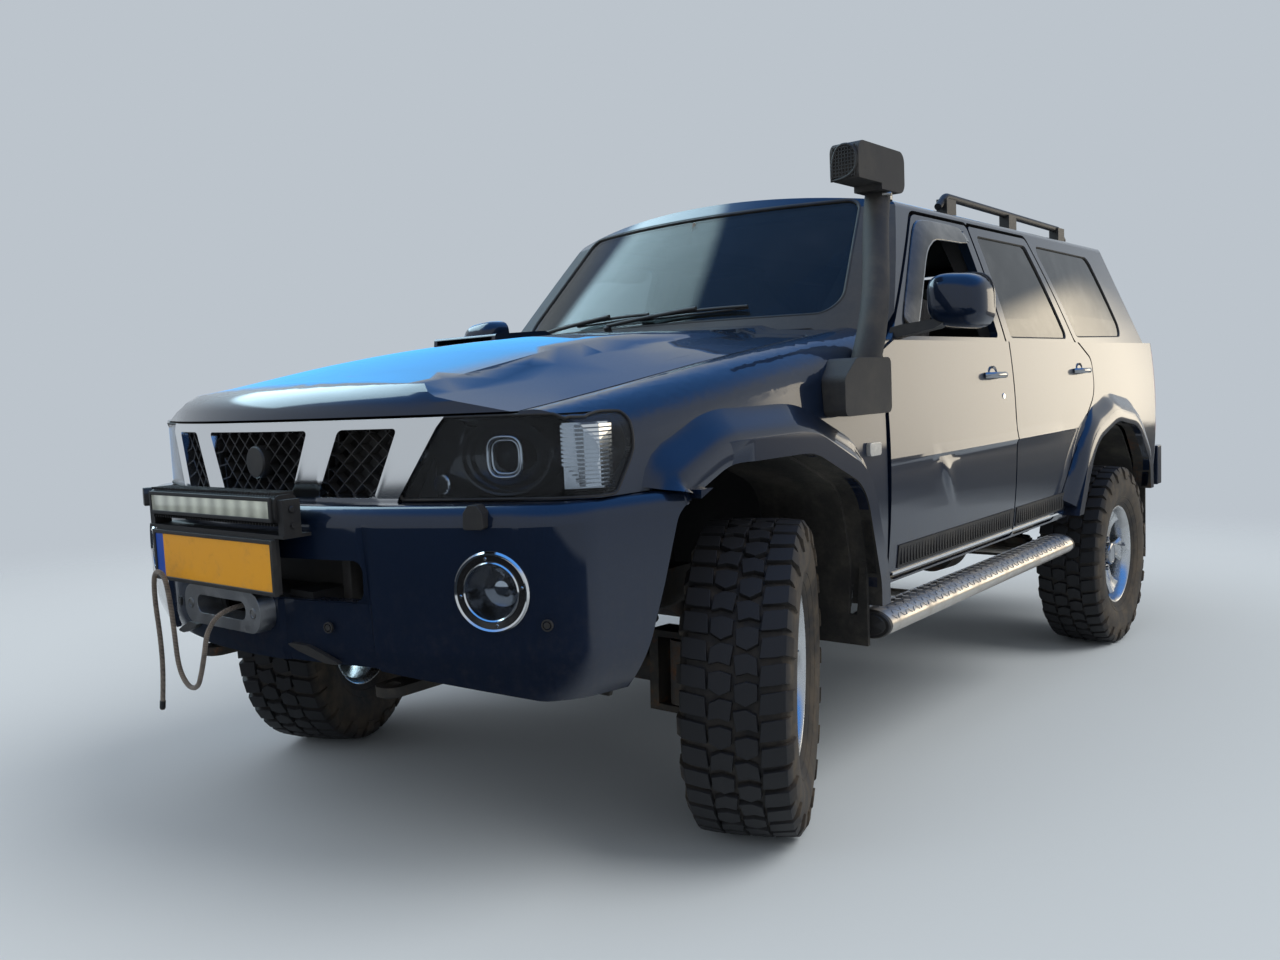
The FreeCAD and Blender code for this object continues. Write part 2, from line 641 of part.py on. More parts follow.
arch_front = side_cut(FRONT_ARCH, 300)
wing = nose_shell.cut(wing_hole).cut(lamp_zone).cut(arch_front).cut(UPPER[0])
wing = wing.cut(box(-1000, 1000, -2600, -1790, 300, 1006)).cut(half_space("y", COWL_Y - SHUT, 3000))
wing = wing.common(half_space("x", 0, 3000)).cut(box(-200, 743, -2600, BONNET_REAR, 300, 1600))
cowl = wing.common(box(-10, 743, BONNET_REAR - 5, -700, 1000, 1600))
wing = wing.cut(box(-200, 743, -2600, -600, 300, 1600)).common(half_space("z", SILL_Z - 30, 3000))
front_flare = slab(grown(FRONT_ARCH, 56, (-1430, 480)), "x", 880, FLARE_X).cut(arch_front)
front_flare = front_flare.common(half_space("z", SILL_Z - 30, 3000)).cut(half_space("y", COWL_Y - SHUT, 3000))
front_flare = front_flare.common(half_space("y", -1800, 0))
front_flare = front_flare.cut(slab([(970, -1560), (884, -1812), (1100, -1812), (1100, -1560)], "z", 1000, 1300))
wing = join([wing, front_flare])
print("wing", [round(v.Volume / 1e6, 2) for v in wing.Solids], "cowl", [round(v.Volume / 1e6, 2) for v in cowl.Solids])
keep("front_wings", both(max(wing.Solids, key=lambda q: q.Volume)))
wings = both(wing)
inner = [p.cut(wing).cut(mirrored(wing)) for p in [bulkhead] + pieces]
shell = join([shell_low, upper] + cabin_floor + inner)
print("shell solids", len(shell.Solids), [round(v.Volume / 1e6, 2) for v in shell.Solids])
keep("cowl_panel", join([cowl, mirrored(cowl)]).cut(shell))
keep("body_shell", shell)

# ---------------------------------------------------------------- bumpers
def bumper_plan(inset):
    return [
        (-1100, -1600), (-1100, -1780), (-946 + inset, -1830), (-868 + inset, -2165 + inset, 200),
        (0, -2512 + inset, 1500), (868 - inset, -2165 + inset, 200), (946 - inset, -1830), (1100, -1780),
        (1100, -1600),
    ]


bumper_face = [
    (-960, 575), (-790, 575, 160), (-420, 642, 260), (420, 642, 260), (790, 575, 160), (960, 575), (960, 1004),
    (-960, 1004),
]
bumper_outer = slab(bumper_plan(0), "z", 500, 1100).common(slab(bumper_face, "y", -2700, -1700))
bumper_inner = slab(bumper_plan(28), "z", 400, 976)
fascia_keepout = slab(fascia_plan(-6), "z", 960, 1200)
front_bumper = bumper_outer.cut(bumper_inner).cut(fascia_keepout).common(half_space("y", -2700, -1812))
front_bumper = front_bumper.common(box(-950, 950, -2700, -1812, 500, 1100))
for sign in (1, -1):
    front_bumper = front_bumper.cut(side_cut(FRONT_ARCH, 300) if sign > 0 else mirrored(side_cut(FRONT_ARCH, 300)))
OPENING = (-432.0, 432.0, 792.0, 884.0)
front_bumper = front_bumper.cut(rounded_box(OPENING[0], OPENING[1], -2600, -2100, OPENING[2], OPENING[3], 26))
front_bumper = front_bumper.cut(rounded_box(-118, 118, -2600, -2100, 732, 784, 20))
FOG_X, FOG_Z, FOG_R = 722.0, 821.0, 62.0
fog_hole = rod((FOG_X, -2400, FOG_Z), (FOG_X, -2000, FOG_Z), FOG_R + 3)
front_bumper = front_bumper.cut(fog_hole).cut(mirrored(fog_hole))
keep("front_bumper", front_bumper)
fog = rod((FOG_X, -2400, FOG_Z), (FOG_X, -2120, FOG_Z), FOG_R)
fog = fog.common(slab(bumper_plan(4), "z", 500, 1100))
keep("fog_lamps", both(fog))

rear_bumper = box(-905, 905, REAR_Y + 4, 2570, 590, 800)
rear_bumper = round_edges(rear_bumper, 60, lambda e: e.BoundBox.ZLength > 150 and e.BoundBox.YMin > 2560)
rear_bumper = rear_bumper.cut(box(-760, 760, 2400, 2520, 640, 760))
keep("rear_bumper", rear_bumper)

# ---------------------------------------------------------------- ladder frame and what hangs on it
RAIL = [
    (-2150, 560), (-2150, 660), (-1750, 690, 150), (-1100, 690, 200), (-850, 590, 150), (1050, 590, 150),
    (1300, 690, 200), (1700, 690, 200), (2000, 660), (2380, 660), (2380, 570), (1950, 570, 150),
    (1700, 590, 200), (1300, 590, 200), (1050, 480, 200), (-850, 480, 200), (-1100, 580, 200), (-1750, 580, 150),
]
RAIL_X = (345.0, 425.0)
EYE_X, EYE_Y, EYE_Z, EYE_R = 385.0, -2235.0, (556.0, 580.0), 17.0
frame_bits = [slab(RAIL, "x", *RAIL_X), mirrored(slab(RAIL, "x", *RAIL_X))]
for y0, y1, z0, z1 in ((-2140, -2085, 572, 648), (-2075, -2015, 572, 648), (-420, -360, 545, 588), (900, 960, 545, 588), (2300, 2370, 580, 650)):
    frame_bits.append(box(-350, 350, y0, y1, z0, z1))
for y in (-560, 150, 760):
    for sign in (-1, 1):
        frame_bits.append(rod((sign * 385, y, 585), (sign * 385, y, 600), 42))
        frame_bits.append(box(min(sign * 420, sign * 600), max(sign * 420, sign * 600), y - 20, y + 20, 560, 585))
        frame_bits.append(rod((sign * 575, y, 560), (sign * 575, y, 600), 30))
for y in (2200,):
    for sign in (-1, 1):
        frame_bits.append(rod((sign * 385, y, 655), (sign * 385, y, 740), 38))
for y in (FRONT_AXLE.y, REAR_AXLE.y):
    for sign in (-1, 1):
        lo, hi = sorted((sign * 380, sign * 542))
        frame_bits.append(box(lo, hi, y - 60, y + 60, 690, 706))
for sign in (-1, 1):
    x = sign * EYE_X
    eye = slab([(x - 38, -2274, 34), (x + 38, -2274, 34), (x + 38, -2120), (x - 38, -2120)], "z", *EYE_Z)
    frame_bits.append(eye.cut(rod((x, EYE_Y, EYE_Z[0] - 5), (x, EYE_Y, EYE_Z[1] + 5), EYE_R)))
frame = join(frame_bits)
keep("ladder_frame", frame)

engine = join([box(-230, 230, -1860, -1180, 700, 1120), box(-420, 420, -1520, -1440, 706, 730)])
keep("engine_block", engine)
gearbox = join([
    box(-110, 110, -1180, -800, 715, 900), slab([(-800, 715), (-800, 760), (-1180, 760), (-1180, 715)], "x", -60, 60),
    slab([(-1178, 715), (-840, 715), (-560, 545), (-560, 420), (-780, 420), (-1178, 640)], "x", -110, 110),
    box(-150, 150, -760, -300, 420, 545),
])
keep("gearbox_transfer", gearbox.cut(shell))
keep("radiator_pack", box(-330, 330, -2075, -2015, 648, 1130))
keep("fuel_tank", rounded_box(-320, 320, 1760, 2230, 480, 740, 40, "x"))

step = rounded_box(848, 984, -922, 770, 466, 552, 41, "y")
brackets = [box(RAIL_X[1], 860, y - 18, y + 18, 492, 512) for y in (-420, 560)]
keep("side_steps", both(join([step] + brackets)))

# ---------------------------------------------------------------- roof rails, snorkel, mirrors
rails = []
rail_bar = pipe([(612, 330, 1885), (612, 400, 1932), (612, 1750, 1916), (612, 1830, 1868)], 15, 60)
feet = [box(590, 634, y - 45, y + 45, 1850, 1920) for y in (410, 1080, 1740)]
rail_all = join([rail_bar] + feet).cut(UPPER[0])
rail_all = max(rail_all.Solids, key=lambda q: q.Volume)
keep("roof_rails", both(rail_all))

snorkel_base = slab([(-1130, 1130, 20), (-1130, 1235, 30), (-1060, 1290, 40), (-850, 1290, 20), (-850, 1130, 20)], "x", 860, 972)
snorkel_neck = Part.makeLoft([
    Part.Wire(Part.makeCircle(44, V(925, -925, 1270), V(0, 0.3, 1))),
    Part.Wire(Part.makeCircle(42, V(925, -870, 1380), V(-0.1, 0.5, 1))),
    Part.Wire(Part.makeCircle(40, V(852, -690, 1640), V(-0.25, 0.7, 1))),
    Part.Wire(Part.makeCircle(40, V(806, -570, 1824), V(0, 0.1, 1))),
], True, False)
snorkel_head = rounded_box(762, 858, -800, -490, 1808, 1938, 34, "x")
snorkel_head = snorkel_head.cut(box(700, 900, -900, -650, 1700, 1826))
snorkel = join([snorkel_base, snorkel_neck, snorkel_head]).cut(UPPER[0])
snorkel = snorkel.cut(NOSE_SOLID[0]).cut(side_cut(moved(FRONT_DOOR, 20, 1), 700))
snorkel = max(snorkel.Solids, key=lambda q: q.Volume)
keep("snorkel", snorkel)

mirror_head = rounded_box(962, 1150, -610, -500, 1372, 1540, 40, "y")
mirror_head = round_edges(mirror_head, 40, lambda e: e.BoundBox.YMax < -605)
mirror_arm = slab([(870, 1352), (1010, 1385), (1010, 1420), (870, 1400)], "y", -640, -560)
mirror = join([mirror_head, mirror_arm]).cut(FRONT_LEFT).cut(LOWER[0]).cut(UPPER[0])
mirror = max(mirror.Solids, key=lambda q: q.Volume)
keep("mirror_left", mirror)
keep("mirror_right", mirrored(mirror))

# ---------------------------------------------------------------- winch, fairlead, light bar, plate
FACE_Y = -2405.0
winch = join([
    rod((-190, -2290, 762), (190, -2290, 762), 42), box(-280, -190, -2360, -2235, 700, 806),
    box(190, 280, -2360, -2235, 700, 806), box(-290, 290, -2360, -2100, 685, 700),
    box(-420, 420, -2150, -2092, 664, 685), box(-165, 165, -2368, -2360, 688, 808).cut(
        rounded_box(-86, 86, -2400, -2300, 736, 788, 16)),
    box(-290, 290, -2150, -2092, 685, 700),
])
keep("winch", max(winch.cut(frame).cut(front_bumper).Solids, key=lambda q: q.Volume))
fairlead = rounded_box(-168, 168, FACE_Y - 24, -2368, 708, 804, 40)
fairlead = fairlead.cut(rounded_box(-108, 108, FACE_Y - 60, -2300, 736, 780, 20)).cut(front_bumper)
keep("fairlead", fairlead)
bracket = join([
    box(-266, 266, FACE_Y - 32, FACE_Y - 22, 812, 938), box(-300, 300, FACE_Y - 32, FACE_Y + 40, 938, 946),
    box(-60, 60, FACE_Y - 32, FACE_Y + 40, 890, 938),
]).cut(bumper_outer)
bar = [rounded_box(-280, 280, -2442, -2384, 970, 1034, 16, "x")]
for sign in (-1, 1):
    lo, hi = sorted((sign * 278, sign * 300))
    bar.append(box(lo, hi, -2434, -2390, 942, 1024))
light_bar = join([bracket] + bar).cut(bumper_outer)
keep("light_bar", max(light_bar.Solids, key=lambda q: q.Volume))
keep("number_plate", box(-260, 260, FACE_Y - 40, FACE_Y - 32, 817, 927))

# ---------------------------------------------------------------- cab
dash = slab([(-772, 1080), (-772, 1330), (-640, 1376, 60), (-470, 1340, 60), (-450, 1180, 40), (-560, 1080)], "x", -690, 690)
dash = dash.common(screen_drum(20)).cut(shell)
keep("dashboard", max(dash.Solids, key=lambda q: q.Volume))
wheel_c = V(-370, -330, 1270)
wheel_n = V(0, 0.9, 0.44)
sw = Part.makeTorus(185, 14, wheel_c, wheel_n)
hub = Part.makeCylinder(50, 40, wheel_c - wheel_n * 30, wheel_n)
spoke_bar = [rod((-370, -330, 1270), (-370 + dx, -330 - dz * 0.44, 1270 + dz * 0.9), 12) for dx, dz in ((178, 0), (-178, 0), (0, -180))]
column = rod((-370, -340, 1266), (-370, -460, 1212), 28)
keep("steering_wheel", join([sw, hub, column] + spoke_bar).cut(dash))
def seat(x, w, y, back):
    cushion = rounded_box(x - w / 2, x + w / 2, y - 260, y + 240, 840, 990, 50, "x")
    base = box(x - w / 2 + 40, x + w / 2 - 40, y - 220, y + 200, 625, 840)
    rest = slab([(y + 130, 960), (y + 260, 960, 30), (y + 260 + back, 1560, 40), (y + 150 + back, 1560, 40)], "x", x - w / 2, x + w / 2)
    head = rounded_box(x - 130, x + 130, y + 175 + back, y + 265 + back, 1545, 1720, 35, "x")
    return join([cushion, base, rest, head])
keep("front_seats", Part.makeCompound([seat(-370, 500, -20, 90), seat(370, 500, -20, 90)]))
bench = join([
    rounded_box(-540, 540, 620, 1090, 840, 980, 50, "x"), box(-500, 500, 660, 980, 625, 840),
    slab([(1000, 950), (1120, 950, 30), (1200, 1500, 40), (1100, 1500, 40)], "x", -540, 540),
    box(-500, 500, 1040, 1100, 765, 960),
])
keep("rear_bench", bench)

# ---------------------------------------------------------------- spare wheel, lining, small outside pieces
LUGS = 18                # tread bars in each half of the tyre, staggered by half a pitch
GROOVE_R = 398.0
BORE_R = 212.4           # clear of the rim's barrel on every flat
TYRE_RINGS = [
    # x, corner radius: once round the section, from the bore over the tread and back
    (-98, 233), (-139, 300), (-134, 372), (-124, 392), (124, 392), (134, 372), (139, 300), (98, 233),
    (98, BORE_R / math.cos(math.pi / LUGS)), (-98, BORE_R / math.cos(math.pi / LUGS)),
]
BAR_OUTLINE = [(0.0, TYRE_R), (0.56, TYRE_R), (0.64, GROOVE_R), (0.92, GROOVE_R)]
RIM_WINDOW = [(-13, 100, 8), (13, 100, 8), (64, 168, 14), (38, 187, 14), (-38, 187, 14), (-64, 168, 14)]


def around(x, radius, turns):
    """A point at the given share of a full pitch round the axle."""
    angle = 2 * math.pi / LUGS * turns
    return V(x, radius * math.sin(angle), -radius * math.cos(angle))


def flat(points):
    """A flat face with straight edges."""
    return Part.Face(Part.makePolygon(points + [points[0]]))


def carcass_solid():
    """The tyre without its bars: flat panels between rings of corners."""
    faces = []
    for (x0, r0), (x1, r1) in zip(TYRE_RINGS, TYRE_RINGS[1:] + TYRE_RINGS[:1]):
        for i in range(LUGS):
            faces.append(flat([around(x0, r0, i), around(x1, r1, i), around(x1, r1, i + 1), around(x0, r0, i + 1)]))
    solid = Part.Solid(Part.makeShell(faces))
    if solid.Volume < 0:
        solid.reverse()
    return solid


def tread_half(x0, x1, start):
    """One half of the tread: bars with open grooves between them, straight across."""
    outline = [around(x0, radius, i + share + start) for i in range(LUGS) for share, radius in BAR_OUTLINE]
    return flat(outline).extrude(V(x1 - x0, 0, 0))


def tyre_solid():
    """The tyre about X: the carcass with two halves of tread bars, half a pitch apart."""
    core = flat([around(-126, 385, i) for i in range(LUGS)]).extrude(V(252, 0, 0))
    tread = tread_half(-126.0, 0.0, 0.0).fuse(tread_half(0.0, 126.0, 0.5)).cut(core)
    return carcass_solid().fuse(tread).removeSplitter()


def rim_solid():
    """The rim about X: drop-centre barrel, hub and six spokes between six windows."""
    rim_pts = [
        (212, -98), (212, 98), (228, 98), (228, 108), (206, 108), (200, 60), (190, 46), (88, 34), (88, 62), (0, 62),
        (0, 14), (88, 14), (188, 26), (198, -20), (198, -98), (206, -108), (228, -108), (228, -98),
    ]
    face = Part.Face(wire([(x, r) for r, x in rim_pts], "y", 0.0))
    rim = face.revolve(V(0, 0, 0), V(1, 0, 0), 360)
    window = slab([(y, z, r) for y, z, r in RIM_WINDOW], "x", -20, 130)
    windows = [window.rotated(V(0, 0, 0), V(1, 0, 0), 60 * i + 30) for i in range(6)]
    return rim.cut(windows)


TYRE_SHAPE, RIM_SHAPE = tyre_solid(), rim_solid()


def wheel_solids(centre, axis):
    """Tyre and rim of one wheel about the given axis (pointing outwards)."""
    turn = FreeCAD.Rotation(V(1, 0, 0), axis)
    out = []
    for solid in (TYRE_SHAPE, RIM_SHAPE):
        moved_solid = solid.copy()
        moved_solid.Placement = FreeCAD.Placement(centre, turn)
        out.append(moved_solid)
    return out


SPARE = V(-198, REAR_Y + 175, 1235)
spare_tyre, spare_rim = wheel_solids(SPARE, V(0, 1, 0))
keep("spare_tyre", spare_tyre)
keep("spare_rim", join([spare_rim, rod((SPARE.x, REAR_Y, SPARE.z), (SPARE.x, REAR_Y + 200, SPARE.z), 70)]))

LINER_ARCH = FRONT_ARCH[:5] + [(-1866, 960, 60), (-1918, 800), (-2068, 380)]   # room for the tyre at full lock
liner_f = slab(LINER_ARCH, "x", 600, 880).cut(slab(moved(LINER_ARCH, 10, -1), "x", 500, 1000))
liner_f = liner_f.cut(box(500, 1000, -3000, 3000, 300, 560)).common(NOSE_SOLID[28])
liner_f = max(liner_f.Solids, key=lambda q: q.Volume)
front_flap = box(690, 925, -947, -933, 450, 700).cut(NOSE_SOLID[0].cut(NOSE_SOLID[28])).cut(front_flare)
front_flap = max(front_flap.cut(wing).Solids, key=lambda q: q.Volume)
liner_f = join([liner_f, front_flap])
liner_r = slab(REAR_ARCH, "x", 556, 880).cut(slab(moved(REAR_ARCH, 10, -1), "x", 500, 1000))
liner_r = liner_r.cut(box(500, 1000, -3000, 3000, 300, 600)).common(LOWER[25])
liner_r = max(liner_r.Solids, key=lambda q: q.Volume)
flap = box(690, 930, 2080, 2092, 300, 700).cut(LOWER[0].cut(LOWER[25])).cut(REAR_FLARE).cut(left_quarter)
flap = max(flap.Solids, key=lambda q: q.Volume)
liner_r = join([liner_r, flap])
keep("arch_liners", Part.makeCompound([liner_f, liner_r, mirrored(liner_f), mirrored(liner_r)]))

# ---------------------------------------------------------------- winch rope, hanging free
ROPE_R = 6.0
ROPE = [
    (40, -2392, 760), (38, -2446, 759), (16, -2476, 715), (-2, -2478, 655), (-24, -2478, 604), (-46, -2478, 566),
    (-92, -2478, 562), (-132, -2478, 604), (-138, -2478, 690), (-143, -2480, 772), (-156, -2483, 836),
    (-205, -2483, 840), (-216, -2482, 772), (-206, -2480, 670), (-209, -2479, 575), (-231, -2478, 486),
]


def cord(points, r):
    """A tube along straight runs, each joined to the next by as large an arc as both allow."""
    pts = [V(*p) for p in points]
    edges, last, radii = [], pts[0], []
    for i in range(1, len(pts) - 1):
        a, b = pts[i - 1] - pts[i], pts[i + 1] - pts[i]
        short = min(a.Length, b.Length)
        a, b = a.normalize(), b.normalize()
        half = a.getAngle(b) / 2
        radius = 0.45 * short * math.tan(half)
        radii.append(round(radius))
        start, end = pts[i] + a * (0.45 * short), pts[i] + b * (0.45 * short)
        middle = pts[i] + (a + b).normalize() * (radius / math.sin(half) - radius)
        edges += [Part.LineSegment(last, start).toShape(), Part.Arc(start, middle, end).toShape()]
        last = end
    edges.append(Part.LineSegment(last, pts[-1]).toShape())
    path = Part.Wire(edges)
    tool = Part.BRepOffsetAPI.MakePipeShell(path)
    tool.add(Part.Wire(Part.makeCircle(r, pts[0], pts[1] - pts[0])))
    tool.build()
    tool.makeSolid()
    tube = tool.shape()
    want = math.pi * r * r * path.Length
    print("cord length", round(path.Length), "radii", radii, "volume", round(tube.Volume / want, 4))
    return tube


keep("winch_rope", cord(ROPE, ROPE_R))

# ---------------------------------------------------------------- axles, springs, steering (level ground frame)
def axle(y, diff_x, diff_r, ends, yoke):
    c = TYRE_R
    bits = [rod((-ends, y, c), (ends, y, c), 45), rod((diff_x, y - 85, c), (diff_x, y + 85, c), diff_r)]
    bits.append(rod((diff_x, y - 20, c), (diff_x, y + (150 if y < 0 else -190), c + 20), 60))
    for sign in (-1, 1):
        if yoke:
            lo, hi = sorted((sign * 560, sign * 700))
            for z0 in (303, 505):
                bits.append(box(lo, hi, y - 45, y + 45, z0, z0 + 18))
            lo, hi = sorted((sign * 560, sign * 590))
            bits.append(box(lo, hi, y - 45, y + 45, 303, 523))
        bits.append(box(min(sign * 440, sign * 540), max(sign * 440, sign * 540), y - 50, y + 50, 440, 462))
    return join(bits)


keep("axles", Part.makeCompound([
    axle(FRONT_AXLE.y, -240, 128, 570, True), axle(REAR_AXLE.y, 60, 140, 715, False)]), False)
springs = []
for y, top in ((FRONT_AXLE.y, 646), (REAR_AXLE.y, 755)):
    for sign in (-1, 1):
        coil = rod((sign * 490, y, 462), (sign * 490, y, top), 50).cut(tip(frame))
        springs.append(min(coil.Solids, key=lambda q: q.BoundBox.ZMin))
keep("springs_dampers", Part.makeCompound(springs), False)

KNUCKLE_Z = (326.0, 500.0)
OUT = TRACK / 2 - KINGPIN_X
ARM = 205.0


def knuckle(sign):
    """One steering knuckle about its own kingpin, drawn straight ahead."""
    bits = [
        Part.makeCylinder(50, KNUCKLE_Z[1] - KNUCKLE_Z[0], V(0, 0, KNUCKLE_Z[0])),
        rod((0, 0, TYRE_R), (sign * (OUT + 8), 0, TYRE_R), 40),
        rod((sign * 78, 0, TYRE_R), (sign * 92, 0, TYRE_R), 150),
        box(-18, 18, 20, ARM, 386, 410),
        Part.makeCylinder(24, 24, V(0, ARM, 386)),
    ]
    return join(bits)


steer = FreeCAD.Rotation(V(0, 0, 1), STEER_REST)
PIN_L = V(KINGPIN_X, FRONT_AXLE.y, 0)
PIN_R = V(-KINGPIN_X, FRONT_AXLE.y, 0)
for name, pin, sign in (("knuckle_left", PIN_L, 1), ("knuckle_right", PIN_R, -1)):
    k = knuckle(sign)
    k.Placement = FreeCAD.Placement(pin, steer)
    keep(name, k, False)
ball_l = PIN_L + steer.multVec(V(0, ARM, 0))
ball_r = PIN_R + steer.multVec(V(0, ARM, 0))
tie = join([
    rod((ball_r.x, ball_r.y, 362), (ball_l.x, ball_l.y, 362), 15),
    Part.makeCylinder(25, 36, V(ball_l.x, ball_l.y, 344)), Part.makeCylinder(25, 36, V(ball_r.x, ball_r.y, 344)),
])
keep("tie_rod", tie, False)

for tag, pin, sign in (("left", PIN_L, 1), ("right", PIN_R, -1)):
    axis = steer.multVec(V(sign, 0, 0))
    centre = pin + steer.multVec(V(sign * OUT, 0, 0)) + V(0, 0, TYRE_R)
    t, r = wheel_solids(centre, axis)
    keep("tyre_front_" + tag, t, False)
    keep("rim_front_" + tag, r, False)
    t, r = wheel_solids(V(sign * TRACK / 2, REAR_AXLE.y, TYRE_R), V(sign, 0, 0))
    keep("tyre_rear_" + tag, t, False)
    keep("rim_rear_" + tag, r, False)

os.makedirs("parts", exist_ok=True)
for name, shape in PARTS.items():
    shape.exportStep("parts/" + name + ".step")
    if not shape.isValid() or shape.Volume < 100:
        print("bad piece", name, shape.Volume)
print(len(PARTS), "pieces")
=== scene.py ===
"""Looks of the lifted off-road estate car: finishes, dressed body panels and small pieces."""

import logging
import math
from dataclasses import dataclass, field
from enum import Enum
from typing import Callable, Optional, Sequence, Union

import bmesh
import bpy
from bmesh.types import BMEdge, BMesh, BMFace, BMVert
from mathutils import Matrix, Vector
from mathutils.bvhtree import BVHTree


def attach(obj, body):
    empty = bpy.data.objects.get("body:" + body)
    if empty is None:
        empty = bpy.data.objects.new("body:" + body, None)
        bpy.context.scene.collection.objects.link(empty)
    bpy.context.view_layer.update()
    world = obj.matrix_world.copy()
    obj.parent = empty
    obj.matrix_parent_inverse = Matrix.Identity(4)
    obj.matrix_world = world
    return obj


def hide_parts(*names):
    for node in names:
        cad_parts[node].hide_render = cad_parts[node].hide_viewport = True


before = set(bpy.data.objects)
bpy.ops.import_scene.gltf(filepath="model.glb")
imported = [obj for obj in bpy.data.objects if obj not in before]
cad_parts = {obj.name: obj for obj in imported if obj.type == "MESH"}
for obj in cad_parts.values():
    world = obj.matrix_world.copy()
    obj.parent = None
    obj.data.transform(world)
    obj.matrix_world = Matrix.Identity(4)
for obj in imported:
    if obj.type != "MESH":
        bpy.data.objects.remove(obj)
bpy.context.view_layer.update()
LOG = logging.getLogger("off_road_estate")

TILT = math.radians(2.1)
CENTRE_Y = -0.1014
BODY = Matrix.Translation((0.0, CENTRE_Y, 0.0)) @ Matrix.Rotation(TILT, 4, "X")
LEVEL = Matrix.Translation((0.0, CENTRE_Y, 0.0))
FLIP = Matrix.Scale(-1.0, 4, (1.0, 0.0, 0.0))
WHEELBASE = 2.970
TRACK = 1.690
TYRE_R = 0.413
KINGPIN_X = 0.660
STEER_REST = math.radians(25.0)
WAIST_Z = 1.345                 # where the flank ends and the leaning glass begins
FRONT_WHEEL = (-1.43, 0.48)     # y and z of the arches' middles in the body frame
REAR_WHEEL = (1.48, 0.42)
Point = Sequence[float]


class Side(Enum):
    """One side of the car; the value is the sign of X there."""

    LEFT = 1
    RIGHT = -1

    @property
    def word(self) -> str:
        """The side's name as it stands in node names."""
        return self.name.lower()

    @property
    def matrix(self) -> Matrix:
        """Turns a shape made for the left side into this side's."""
        return Matrix.Identity(4) if self is Side.LEFT else FLIP.copy()


# ------------------------------------------------------------------ shader expressions
class Signal:
    """A shader socket that takes part in Python sums."""

    def __init__(self, graph: "Graph", socket: bpy.types.NodeSocket) -> None:
        """Wraps a socket of a graph.

        Args:
            graph: the node tree that new maths nodes are added to.
            socket: the output socket that this signal carries.
        """
        self.graph = graph
        self.socket = socket

    def _math(self, operation: str, *values: "Term") -> "Signal":
        """Adds one Math node.

        Args:
            operation: the Math node's operation.
            values: its inputs in order.

        Returns:
            The node's result.
        """
        return self.graph.add("ShaderNodeMath", {"operation": operation}, dict(enumerate(values)))

    def __add__(self, other: "Term") -> "Signal":
        """Sum."""
        return self._math("ADD", self, other)

    __radd__ = __add__

    def __sub__(self, other: "Term") -> "Signal":
        """Difference."""
        return self._math("SUBTRACT", self, other)

    def __rsub__(self, other: "Term") -> "Signal":
        """Difference from a number."""
        return self._math("SUBTRACT", other, self)

    def __mul__(self, other: "Term") -> "Signal":
        """Product."""
        return self._math("MULTIPLY", self, other)

    __rmul__ = __mul__

    def __truediv__(self, other: "Term") -> "Signal":
        """Quotient."""
        return self._math("DIVIDE", self, other)

    def __pow__(self, other: "Term") -> "Signal":
        """Power."""
        return self._math("POWER", self, other)

    def clamp(self) -> "Signal":
        """The signal held between 0 and 1."""
        return self.graph.add("ShaderNodeClamp", {}, {0: self})

    def absolute(self) -> "Signal":
        """The signal without its sign."""
        return self._math("ABSOLUTE", self)

    def ramp(self, low: float, high: float) -> "Signal":
        """A smooth step from 0 at low to 1 at high.

        Args:
            low: the value at which the result is 0.
            high: the value at which the result is 1.

        Returns:
            The stepped signal.
        """
        return self.graph.add("ShaderNodeMapRange", {"interpolation_type": "SMOOTHSTEP"},
                              {0: self, 1: low, 2: high, 3: 0.0, 4: 1.0})


Term = Union[Signal, float, int, Sequence[float]]


